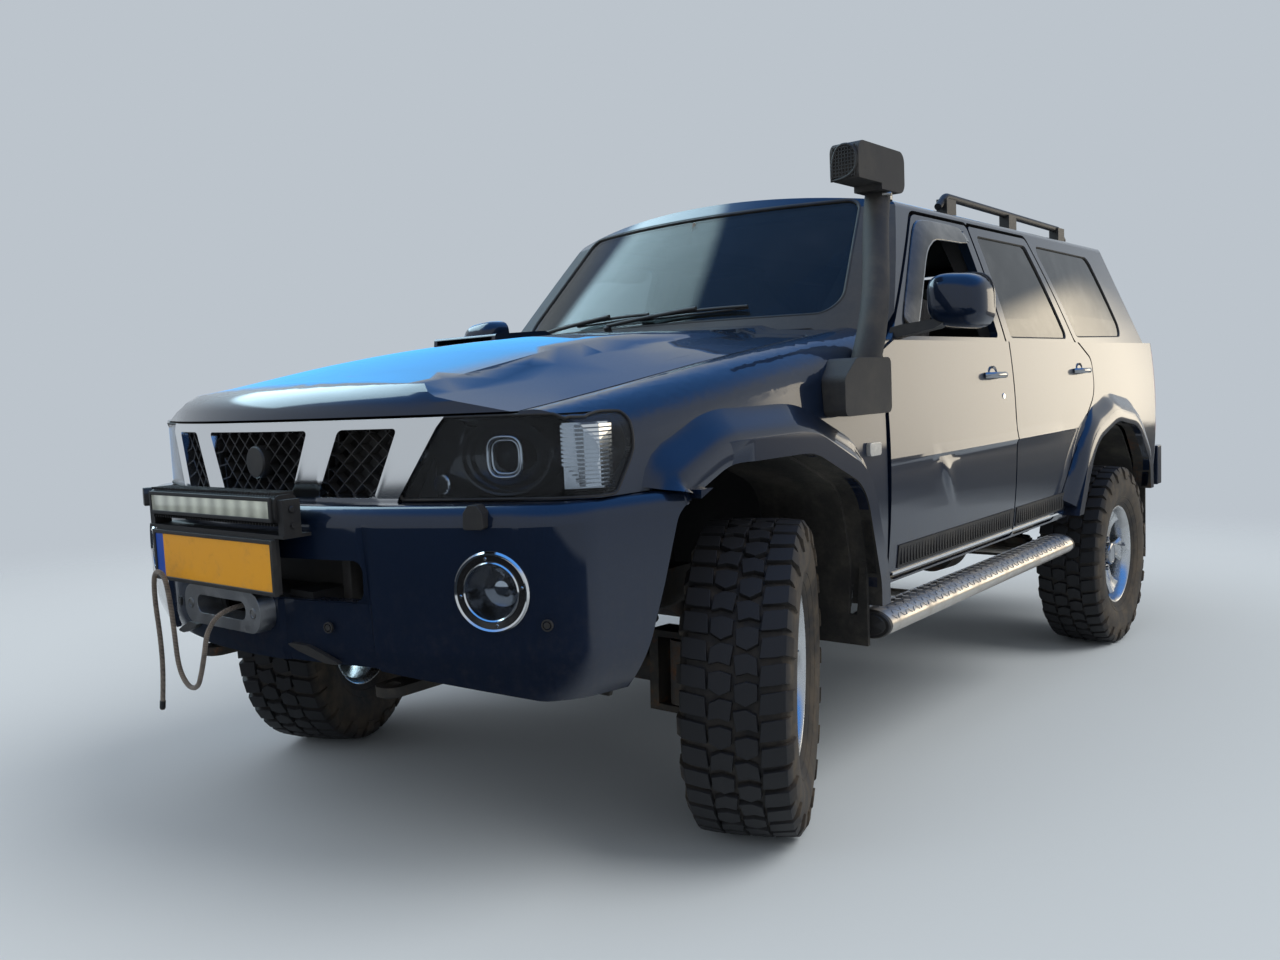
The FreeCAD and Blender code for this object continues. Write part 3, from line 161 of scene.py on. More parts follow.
class Graph:
    """The node tree of one material, or of the world."""

    def __init__(self, owner: Union[bpy.types.Material, bpy.types.World]) -> None:
        """Empties the owner's node tree.

        Args:
            owner: a material or world.
        """
        owner.use_nodes = True
        self.tree = owner.node_tree
        self.tree.nodes.clear()

    def add(self, kind: str, settings: dict, inputs: dict, output: Union[int, str] = 0) -> Signal:
        """Adds any node.

        Args:
            kind: the node's type.
            settings: properties set first; a ramp's stops go under "stops".
            inputs: socket names or indices with their values or signals.
            output: the socket whose signal is returned.

        Returns:
            The chosen output.
        """
        node = self.tree.nodes.new(kind)
        for name, value in settings.items():
            if name == "stops":
                elements = node.color_ramp.elements
                while len(elements) < len(value):
                    elements.new(0.5)
                for element, (place, colour) in zip(elements, value):
                    element.position = place
                    element.color = (*colour, 1.0)
            else:
                setattr(node, name, value)
        for name, value in inputs.items():
            socket = node.inputs[name]
            if isinstance(value, Signal):
                self.tree.links.new(value.socket, socket)
            elif hasattr(value, "__len__") and len(value) == 3 and socket.type == "RGBA":
                socket.default_value = (*value, 1.0)
            else:
                socket.default_value = value
        return Signal(self, node.outputs[output])

    def place(self, scale: Point = (1.0, 1.0, 1.0), turn: Point = (0.0, 0.0, 0.0),
              source: str = "Object") -> Signal:
        """Coordinates fixed to the piece.

        Args:
            scale: stretch along each axis.
            turn: rotation about each axis, in degrees.
            source: Object or UV.

        Returns:
            The coordinates.
        """
        where = self.add("ShaderNodeTexCoord", {}, {}, source)
        angles = tuple(math.radians(t) for t in turn)
        return self.add("ShaderNodeMapping", {}, {"Vector": where, "Scale": tuple(scale), "Rotation": angles})

    def noise(self, scale: float, detail: float = 3.0, rough: float = 0.5,
              at: Optional[Signal] = None) -> Signal:
        """Soft random spots between about 0.3 and 0.7.

        Args:
            scale: spots per metre, roughly.
            detail: octaves.
            rough: weight of the finer octaves.
            at: coordinates; the piece's own if left out.

        Returns:
            The noise value.
        """
        return self.add("ShaderNodeTexNoise", {},
                        {"Vector": at or self.place(), "Scale": scale, "Detail": detail,
                         "Roughness": rough})

    def cells(self, scale: float, feature: str = "F1", at: Optional[Signal] = None,
              output: str = "Distance") -> Signal:
        """Cell pattern.

        Args:
            scale: cells per metre.
            feature: F1 or DISTANCE_TO_EDGE.
            at: coordinates; the piece's own if left out.
            output: Distance or Color.

        Returns:
            The pattern.
        """
        return self.add("ShaderNodeTexVoronoi", {"feature": feature},
                        {"Vector": at or self.place(), "Scale": scale}, output)

    def axes(self, at: Optional[Signal] = None) -> tuple[Signal, Signal, Signal]:
        """The three coordinates one by one.

        Args:
            at: coordinates; the piece's own if left out.

        Returns:
            x, y and z in metres.
        """
        split = self.add("ShaderNodeSeparateXYZ", {}, {0: at or self.place()})
        node = split.socket.node
        return tuple(Signal(self, node.outputs[i]) for i in range(3))

    def mix(self, amount: Term, first: Term, second: Term) -> Signal:
        """Blends two colours.

        Args:
            amount: 0 gives first, 1 gives second.
            first: a colour.
            second: a colour.

        Returns:
            The blended colour.
        """
        node = self.tree.nodes.new("ShaderNodeMix")
        node.data_type = "RGBA"
        for socket, value in ((node.inputs[0], amount), (node.inputs[6], first), (node.inputs[7], second)):
            if isinstance(value, Signal):
                self.tree.links.new(value.socket, socket)
            elif hasattr(value, "__len__"):
                socket.default_value = (*value[:3], 1.0)
            else:
                socket.default_value = value
        return Signal(self, node.outputs[2])

    def bump(self, height: Signal, depth: float, strength: float = 1.0) -> Signal:
        """A Bump node.

        Args:
            height: the height signal, 0 to 1.
            depth: metres that 1 stands for.
            strength: how much of it is used.

        Returns:
            The changed normal.
        """
        return self.add("ShaderNodeBump", {}, {"Strength": strength, "Distance": depth, "Height": height})

    def finish(self, constants: dict, varying: dict) -> None:
        """Ends the tree in a Principled shader.

        Args:
            constants: socket values that are the same all over.
            varying: sockets that signals feed.
        """
        shader = self.add("ShaderNodeBsdfPrincipled", {}, {**constants, **varying})
        self.add_output(shader)

    def add_output(self, shader: Signal, kind: str = "ShaderNodeOutputMaterial") -> None:
        """Links a shader to the tree's output.

        Args:
            shader: the last shader.
            kind: the output node's type.
        """
        node = self.tree.nodes.new(kind)
        self.tree.links.new(shader.socket, node.inputs[0])


# ------------------------------------------------------------------ finishes
@dataclass(frozen=True)
class Finish:
    """A finish: its name in the file and the record's material slot it belongs to."""

    name: str
    slot: str

    def paint(self, graph: Graph) -> None:
        """Writes the shader; each kind of finish has its own."""
        raise NotImplementedError

    def material(self) -> bpy.types.Material:
        """The finish as a Blender material, made once."""
        found = bpy.data.materials.get(self.name)
        if found:
            return found
        made = bpy.data.materials.new(self.name)
        self.paint(Graph(made))
        return made


@dataclass(frozen=True)
class CarPaint(Finish):
    """Dark metallic paint under clear lacquer, with road dust low down and swirl marks."""

    colour: Point = (0.0025, 0.0060, 0.0155)
    flake: Point = (0.009, 0.023, 0.062)
    dust: Point = (0.120, 0.100, 0.080)

    def paint(self, graph: Graph) -> None:
        """Flakes vary the colour; dust gathers low and behind the wheels."""
        _, y, z = graph.axes()
        sparkle = graph.cells(2600.0, output="Color")
        flakes = graph.add("ShaderNodeSeparateColor", {}, {0: sparkle})
        cloud = graph.noise(1.7, 4.0, 0.6)
        base = graph.mix((flakes * 0.55 + cloud * 0.25).clamp(), self.colour, self.flake)
        low = (1.0 - z.ramp(0.50, 0.86)) * (0.35 + 0.65 * y.ramp(-2.1, -1.2))
        speck = graph.noise(38.0, 6.0, 0.7).ramp(0.42, 0.72)
        runs = graph.noise(9.0, 3.0, 0.6, graph.place((6.0, 6.0, 1.5))).ramp(0.30, 0.80)
        film = (low * (0.14 + 0.30 * speck) * (0.5 + 0.5 * runs) + speck * 0.008).clamp()
        colour = graph.mix(film, base, self.dust)
        swirl = graph.noise(220.0, 2.0, 0.5)
        graph.finish(
            {"Metallic": 0.4, "Coat Roughness": 0.02, "Coat IOR": 1.5, "Specular IOR Level": 0.15},
            {"Base Color": colour, "Roughness": (0.32 + film * 0.5 + swirl * 0.06).clamp(),
             "Coat Weight": (1.0 - film * 1.15).clamp()})


@dataclass(frozen=True)
class Plastic(Finish):
    """Grained or smooth plastic, with dust on it."""

    colour: Point = (0.018, 0.018, 0.019)
    rough: float = 0.5
    grain: float = 900.0
    depth: float = 0.0004
    dust: Point = (0.17, 0.15, 0.12)
    dusty: float = 0.12
    gloss: float = 0.0

    def paint(self, graph: Graph) -> None:
        """A fine grain in the surface and a film of dust in patches."""
        grain = graph.cells(self.grain)
        patch = graph.noise(6.0, 5.0, 0.65).ramp(0.38, 0.75)
        fine = graph.noise(70.0, 4.0, 0.7)
        film = (patch * self.dusty + fine * self.dusty * 0.4).clamp()
        shade = graph.mix(fine.ramp(0.3, 0.7), tuple(0.82 * c for c in self.colour), self.colour)
        graph.finish({"Coat Weight": self.gloss, "Coat Roughness": 0.06},
                     {"Base Color": graph.mix(film, shade, self.dust),
                      "Roughness": (self.rough + fine * 0.12 + film * 0.3).clamp(),
                      "Normal": graph.bump(grain, self.depth, 0.5)})


@dataclass(frozen=True)
class Metal(Finish):
    """Bare, plated or painted metal with stains, scratches and optional rust."""

    colour: Point = (0.55, 0.55, 0.56)
    rough: float = 0.3
    metal: float = 1.0
    stain: Point = (0.10, 0.09, 0.08)
    stained: float = 0.15
    rust: float = 0.0
    brushed: Point = (1.0, 1.0, 1.0)
    depth: float = 0.0002

    def paint(self, graph: Graph) -> None:
        """Streaks along the brushing, stains in patches and rust where set."""
        lines = graph.noise(160.0, 4.0, 0.6, graph.place(self.brushed))
        patch = graph.noise(11.0, 6.0, 0.7).ramp(0.4, 0.78)
        pits = graph.noise(90.0, 5.0, 0.75)
        red = graph.noise(16.0, 7.0, 0.72).ramp(0.62 - 0.3 * self.rust,
                                                0.86 - 0.3 * self.rust) * min(self.rust * 3.0, 1.0)
        base = graph.mix((patch * self.stained + lines * 0.12 * self.stained).clamp(), self.colour,
                         self.stain)
        rusty = graph.mix(pits.ramp(0.35, 0.65), (0.090, 0.035, 0.014), (0.190, 0.085, 0.035))
        depth = self.depth * (1.0 + 4.0 * self.rust)
        graph.finish(
            {"Specular IOR Level": 0.5},
            {"Base Color": graph.mix(red, base, rusty),
             "Metallic": ((1.0 - red) * self.metal - patch * self.stained * 0.3).clamp(),
             "Roughness": (self.rough + lines * 0.14 - 0.07 + red * 0.5 + patch * self.stained * 0.6).clamp(),
             "Normal": graph.bump((lines * 0.3 + pits * 0.7), depth, 0.6)})


@dataclass(frozen=True)
class Glass(Finish):
    """Window or lamp glass: see-through by a mix, so that it stays clear at few samples."""

    tint: Point = (0.30, 0.36, 0.38)
    clear: float = 0.72
    dusty: float = 0.05
    rough: float = 0.015

    def paint(self, graph: Graph) -> None:
        """A tinted clear pane with a reflecting face and a little dust."""
        film = (graph.noise(4.0, 5.0, 0.7).ramp(0.4, 0.8) * self.dusty).clamp()
        varying = {"Base Color": graph.mix(film, tuple(0.06 * t for t in self.tint), (0.30, 0.27, 0.22)),
                   "Roughness": (self.rough + film * 0.25).clamp()}
        face = graph.add("ShaderNodeBsdfPrincipled", {},
                         {"Coat Weight": 1.0, "Coat Roughness": 0.01, **varying})
        through = graph.add("ShaderNodeBsdfTransparent", {}, {0: (*self.tint, 1.0)})
        facing = graph.add("ShaderNodeLayerWeight", {}, {"Blend": 0.25}, "Fresnel")
        amount = (1.0 - self.clear + facing * 0.55 + film).clamp()
        graph.add_output(graph.add("ShaderNodeMixShader", {}, {0: amount, 1: through, 2: face}))


@dataclass(frozen=True)
class TyreRubber(Finish):
    """Black rubber: clean on the lugs, brown dust in the grooves and on the sidewall."""

    colour: Point = (0.013, 0.0145, 0.018)
    dust: Point = (0.135, 0.108, 0.078)
    hub: Point = (0.0, 0.0, 0.0)
    axle: Point = (1.0, 0.0, 0.0)

    def paint(self, graph: Graph) -> None:
        """Dust by distance from the hub, broken up by noise."""
        where = graph.add("ShaderNodeVectorMath", {"operation": "SUBTRACT"},
                          {0: graph.place(), 1: tuple(self.hub)})
        along = graph.add("ShaderNodeVectorMath", {"operation": "DOT_PRODUCT"},
                          {0: where, 1: tuple(self.axle)}, "Value")
        reach = graph.add("ShaderNodeVectorMath", {"operation": "LENGTH"}, {0: where}, "Value")
        radius = (reach * reach - along * along) ** 0.5
        wall = 1.0 - radius.ramp(0.372, 0.402)
        side = along.absolute().ramp(0.100, 0.135)
        patch = graph.noise(14.0, 6.0, 0.7).ramp(0.3, 0.7)
        fine = graph.noise(120.0, 5.0, 0.7)
        film = (wall * side * (0.16 + 0.34 * patch) + (1.0 - radius.ramp(0.395, 0.409)) * 0.25 * patch
                + fine * 0.05).clamp()
        graph.finish({"Specular IOR Level": 0.35},
                     {"Base Color": graph.mix(film, self.colour, self.dust),
                      "Roughness": (0.62 + film * 0.3 + fine * 0.1).clamp(),
                      "Normal": graph.bump(fine, 0.0006, 0.5)})


@dataclass(frozen=True)
class Cloth(Finish):
    """Woven seat cloth with a soft sheen."""

    colour: Point = (0.060, 0.060, 0.064)
    light: Point = (0.125, 0.122, 0.120)
    threads: float = 420.0

    def paint(self, graph: Graph) -> None:
        """Two crossed thread directions and mottled wear."""
        first = graph.add("ShaderNodeTexWave", {"bands_direction": "DIAGONAL"},
                          {"Vector": graph.place(), "Scale": self.threads, "Distortion": 0.6})
        second = graph.add("ShaderNodeTexWave", {"bands_direction": "X"},
                           {"Vector": graph.place((1.0, 1.0, 1.0), (0.0, 90.0, 0.0)), "Scale": self.threads})
        weave = first * 0.5 + second * 0.5
        wear = graph.noise(8.0, 5.0, 0.6).ramp(0.35, 0.75)
        graph.finish(
            {"Sheen Weight": 0.35, "Sheen Roughness": 0.5},
            {"Base Color": graph.mix((weave * 0.6 + wear * 0.3).clamp(), self.colour, self.light),
             "Roughness": (0.8 + weave * 0.12).clamp(), "Normal": graph.bump(weave, 0.0008, 0.7)})


@dataclass(frozen=True)
class Braid(Finish):
    """Braided rope: strands that follow the rope, with ground-in dirt."""

    colour: Point = (0.20, 0.165, 0.135)
    dark: Point = (0.055, 0.045, 0.040)

    def paint(self, graph: Graph) -> None:
        """Crossing strands read from the rope's own UV map."""
        left = graph.add("ShaderNodeTexWave", {"bands_direction": "DIAGONAL"},
                         {"Vector": graph.place((90.0, 1.0, 1.0), source="UV"), "Scale": 1.0})
        patch = graph.noise(45.0, 5.0, 0.7).ramp(0.35, 0.7)
        fine = graph.noise(700.0, 3.0, 0.7)
        graph.finish({"Sheen Weight": 0.3},
                     {"Base Color": graph.mix((left * 0.45 + patch * 0.5).clamp(), self.colour, self.dark),
                      "Roughness": (0.85 + fine * 0.1).clamp(),
                      "Normal": graph.bump(left * 0.6 + fine * 0.4, 0.001, 0.8)})


@dataclass(frozen=True)
class NumberPlate(Finish):
    """Reflecting orange plate with a blue band at one end; nothing is printed on it."""

    field_colour: Point = (0.80, 0.36, 0.012)
    band: Point = (0.010, 0.07, 0.42)
    band_end: float = -0.222

    def paint(self, graph: Graph) -> None:
        """Orange beyond the band's end, blue before it, with dirt and a beaded surface."""
        x, _, _ = graph.axes()
        beads = graph.cells(1500.0)
        dirt = graph.noise(25.0, 6.0, 0.7).ramp(0.5, 0.8)
        colour = graph.mix(x.ramp(self.band_end - 0.0008, self.band_end + 0.0008), self.band,
                           self.field_colour)
        graph.finish({"Coat Weight": 0.4, "Coat Roughness": 0.1},
                     {"Base Color": graph.mix(dirt * 0.25, colour, (0.12, 0.09, 0.06)),
                      "Roughness": (0.35 + dirt * 0.3).clamp(), "Normal": graph.bump(beads, 0.0001, 0.4)})


@dataclass(frozen=True)
class Glow(Finish):
    """Bright diffuser behind a lens, such as the row of emitters in a lamp bar."""

    colour: Point = (0.80, 0.84, 0.72)
    pitch: float = 0.055

    def paint(self, graph: Graph) -> None:
        """Round reflector cups in a row, with a painted highlight at each cup's middle."""
        x, _, _ = graph.axes()
        cup = (x * (2.0 * math.pi / self.pitch))
        # painted highlight: the base colour is lighter at each reflector cup's middle and darker between cups
        painted_cup_highlight = graph.add("ShaderNodeMath", {"operation": "COSINE"}, {0: cup}) * 0.5 + 0.5
        fine = graph.noise(90.0, 4.0, 0.6)
        graph.finish({"Coat Weight": 0.6, "Metallic": 0.25},
                     {"Base Color": graph.mix((painted_cup_highlight * 0.6 + fine * 0.3).clamp(),
                                              tuple(0.45 * c for c in self.colour), self.colour),
                      "Roughness": (0.28 + fine * 0.2).clamp()})


# ------------------------------------------------------------------ making pieces
def new_mesh() -> BMesh:
    """An empty bmesh."""
    return bmesh.new()


def outward(bm: BMesh) -> None:
    """Turns every face of a closed mesh outwards."""
    bmesh.ops.recalc_face_normals(bm, faces=bm.faces[:])


def turn_to(across: Sequence[float], up: Sequence[float], ahead: Sequence[float]) -> Matrix:
    """The turn that takes X, Y and Z to the three given directions."""
    return Matrix((across, up, ahead)).transposed().to_4x4()


def flip(bm: BMesh) -> None:
    """Turns every face round."""
    bmesh.ops.reverse_faces(bm, faces=bm.faces[:])


def merge(bm: BMesh, dist: float = 1e-6) -> None:
    """Joins points that lie together."""
    bmesh.ops.remove_doubles(bm, verts=bm.verts[:], dist=dist)


def thicken(bm: BMesh, depth: float) -> None:
    """Gives a sheet a wall."""
    bmesh.ops.solidify(bm, geom=bm.faces[:], thickness=depth)


def ring_of(bm: BMesh, points: Sequence[Point]) -> list[BMEdge]:
    """A closed line of edges through points."""
    verts = [bm.verts.new(p) for p in points]
    return [bm.edges.new((verts[i - 1], verts[i])) for i in range(len(verts))]


def join_rings(bm: BMesh, rings: Sequence[list[BMEdge]]) -> None:
    """Spans the faces between rings of edges that follow one another."""
    for first, second in zip(rings, rings[1:]):
        bmesh.ops.bridge_loops(bm, edges=first + second)


def squircle(wide: float, tall: float, power: float, count: int) -> list[tuple[float, float]]:
    """Points of a rounded square about the origin.

    Args:
        wide: half its width.
        tall: half its height.
        power: how square it is; 2 is an ellipse.
        count: number of points.

    Returns:
        The points in order.
    """
    points = []
    for i in range(count):
        turn = 2 * math.pi * i / count
        c, s = math.cos(turn), math.sin(turn)
        reach = (abs(c) ** power + abs(s) ** power) ** (-1 / power)
        points.append((wide * c * reach, tall * s * reach))
    return points


def polygon(bm: BMesh, corners: Sequence[Point], rounds: Union[float, Sequence[float]] = 0.0,
            segments: int = 5) -> BMFace:
    """A flat face whose corners are rounded by bevelling its vertices.

    Args:
        bm: the mesh that gets the face.
        corners: its corner points in order.
        rounds: corner radius, or one for each corner.
        segments: faces round each corner.

    Returns:
        The face.
    """
    verts = [bm.verts.new(c) for c in corners]
    face = bm.faces.new(verts)
    radii = [rounds] * len(verts) if isinstance(rounds, (int, float)) else list(rounds)
    count = len(verts)
    cuts = []
    for i, vert in enumerate(verts):
        before = (Vector(corners[i - 1]) - Vector(corners[i])).normalized()
        after = (Vector(corners[(i + 1) % count]) - Vector(corners[i])).normalized()
        half = before.angle(after) / 2.0
        cuts.append(radii[i] / math.tan(half))
    tag = bm.faces.layers.int.get("outline") or bm.faces.layers.int.new("outline")
    face = next(f for f in verts[0].link_faces)
    face[tag] = 1
    for vert, cut in zip(verts, cuts):
        if cut > 1e-6:
            bmesh.ops.bevel(bm, geom=[vert], offset=cut, offset_type="OFFSET", segments=segments, profile=0.5,
                            affect="VERTICES", material=-1, clamp_overlap=False)
    return max((f for f in bm.faces if f[tag] == 1), key=lambda f: f.calc_area())


def extrude(bm: BMesh, face: BMFace, by: Point, keep: bool = True) -> BMFace:
    """Pushes a face out into a closed block.

    Args:
        bm: the mesh.
        face: the face that moves.
        by: how far and where to.
        keep: whether the block is closed at its start too.

    Returns:
        The moved face.
    """
    if keep:
        bmesh.ops.duplicate(bm, geom=[face, *face.edges, *face.verts])
    made = bmesh.ops.extrude_face_region(bm, geom=[face])
    verts = [g for g in made["geom"] if isinstance(g, BMVert)]
    bmesh.ops.translate(bm, vec=Vector(by), verts=verts)
    faces = [g for g in made["geom"] if isinstance(g, BMFace)]
    if face.is_valid:
        bmesh.ops.delete(bm, geom=[face], context="FACES_ONLY")
    return faces[0]


def slab(bm: BMesh, corners: Sequence[Point], by: Point, rounds: Union[float, Sequence[float]] = 0.0,
         segments: int = 5) -> None:
    """A rounded outline given thickness.

    Args:
        bm: the mesh that gets the slab.
        corners: the outline's corners in order.
        by: the thickness as a vector.
        rounds: corner radius, or one for each corner.
        segments: faces round each corner.
    """
    part = new_mesh()
    face = polygon(part, corners, rounds, segments)
    extrude(part, face, by)
    merge(part, 1e-6)
    outward(part)
    absorb(bm, part)


def block(bm: BMesh, low: Point, high: Point, bevel: float = 0.0, segments: int = 2) -> None:
    """A box between two corners with all its edges rounded.

    Args:
        bm: the mesh that gets the box.
        low: its lowest corner.
        high: its highest corner.
        bevel: edge radius.
        segments: faces across each rounded edge.
    """
    part = new_mesh()
    size = Vector(high) - Vector(low)
    bmesh.ops.create_cube(part, size=1.0, matrix=Matrix.Translation((Vector(high) + Vector(low)) / 2)
                          @ Matrix.Diagonal((*size, 1.0)))
    if bevel > 0:
        soften(part, part.edges[:], bevel, segments)
    absorb(bm, part)


def soften(bm: BMesh, edges: Sequence[BMEdge], width: float, segments: int = 2) -> None:
    """Rounds edges.

    Args:
        bm: the mesh.
        edges: the edges to round.
        width: the radius.
        segments: faces across each one.
    """
    bmesh.ops.bevel(bm, geom=list(edges), offset=width, offset_type="OFFSET", segments=segments, profile=0.5,
                    affect="EDGES", material=-1, clamp_overlap=True)


def lathe(bm: BMesh, profile: Sequence[Point], centre: Point = (0, 0, 0), axis: Point = (0, 0, 1),
          steps: int = 32) -> None:
    """A profile of (radius, height along the axis) spun into a closed round solid.

    Args:
        bm: the mesh that gets the solid.
        profile: points from one end to the other.
        centre: where height 0 is.
        axis: the direction of height.
        steps: faces round it.
    """
    part = new_mesh()
    verts = [part.verts.new((max(r, 0.0), 0.0, h)) for r, h in profile]
    edges = [part.edges.new(pair) for pair in zip(verts, verts[1:])]
    bmesh.ops.spin(part, geom=verts + edges, cent=(0, 0, 0), axis=(0, 0, 1), angle=2 * math.pi, steps=steps,
                   use_merge=True, use_duplicate=False)
    merge(part, 1e-6)
    outward(part)
    turn = Vector((0, 0, 1)).rotation_difference(Vector(axis).normalized()).to_matrix().to_4x4()
    part.transform(Matrix.Translation(Vector(centre)) @ turn)
    absorb(bm, part)


def rod(bm: BMesh, start: Point, end: Point, radius: float, steps: int = 16, tip: float = 0.0,
        end_radius: Optional[float] = None) -> None:
    """A round bar between two points.

    Args:
        bm: the mesh that gets the bar.
        start: middle of one end.
        end: middle of the other end.
        radius: its radius at the start.
        steps: faces round it.
        tip: chamfer at both ends.
        end_radius: its radius at the end, if it tapers.
    """
    run = Vector(end) - Vector(start)
    last = radius if end_radius is None else end_radius
    if tip > 0:
        profile = [(0, 0), (radius - tip, 0), (radius, tip), (last, run.length - tip),
                   (last - tip, run.length), (0, run.length)]
    else:
        profile = [(0, 0), (radius, 0), (last, run.length), (0, run.length)]
    lathe(bm, profile, start, run, steps)


def absorb(bm: BMesh, part: BMesh, matrix: Optional[Matrix] = None) -> None:
    """Moves one bmesh into another.

    Args:
        bm: the mesh that grows.
        part: the mesh that is used up.
        matrix: where the part goes.
    """
    if matrix is not None:
        part.transform(matrix)
        if matrix.determinant() < 0:
            flip(part)
    carrier = bpy.data.meshes.new("carrier")
    part.to_mesh(carrier)
    part.free()
    bm.from_mesh(carrier)
    bpy.data.meshes.remove(carrier)


def curve_tube(bm: BMesh, points: Sequence[Point], radius: float, steps: int = 4, smooth: bool = True,
               closed: bool = False, around: int = 5) -> None:
    """A bent bar along a NURBS line through its control points.

    Args:
        bm: the mesh that gets the bar.
        points: control points.
        radius: the bar's radius.
        steps: divisions between control points.
        smooth: a rounded line rather than straight runs.
        closed: whether the line closes on itself.
        around: a quarter of the faces round the bar, roughly.
    """
    data = bpy.data.curves.new("bar", "CURVE")
    data.dimensions = "3D"
    data.bevel_depth = radius
    data.bevel_resolution = around
    data.use_fill_caps = not closed
    data.resolution_u = steps
    line = data.splines.new("NURBS" if smooth else "POLY")
    line.points.add(len(points) - 1)
    for point, place in zip(line.points, points):
        point.co = (*place, 1.0)
    line.use_cyclic_u = closed
    if smooth:
        line.order_u = 3
        line.use_endpoint_u = True
    carrier = bpy.data.objects.new("bar", data)
    bpy.context.scene.collection.objects.link(carrier)
    mesh = bpy.data.meshes.new_from_object(carrier)
    part = new_mesh()
    part.from_mesh(mesh)
    merge(part, 1e-6)
    outward(part)
    absorb(bm, part)
    bpy.data.objects.remove(carrier)
    bpy.data.curves.remove(data)
    bpy.data.meshes.remove(mesh)


def trim(bm: BMesh, point: Point, normal: Point, cap: bool = True) -> None:
    """Cuts away what lies on the normal's side of a plane.

    Args:
        bm: the mesh.
        point: a point of the plane.
        normal: points to the side that goes.
        cap: whether the cut is closed.
    """
    made = bmesh.ops.bisect_plane(bm, geom=bm.verts[:] + bm.edges[:] + bm.faces[:], plane_co=point,
                                  plane_no=normal, clear_outer=True, dist=1e-6)
    edges = [g for g in made["geom_cut"] if isinstance(g, BMEdge) and g.is_boundary]
    if cap and edges:
        bmesh.ops.holes_fill(bm, edges=edges, sides=0)


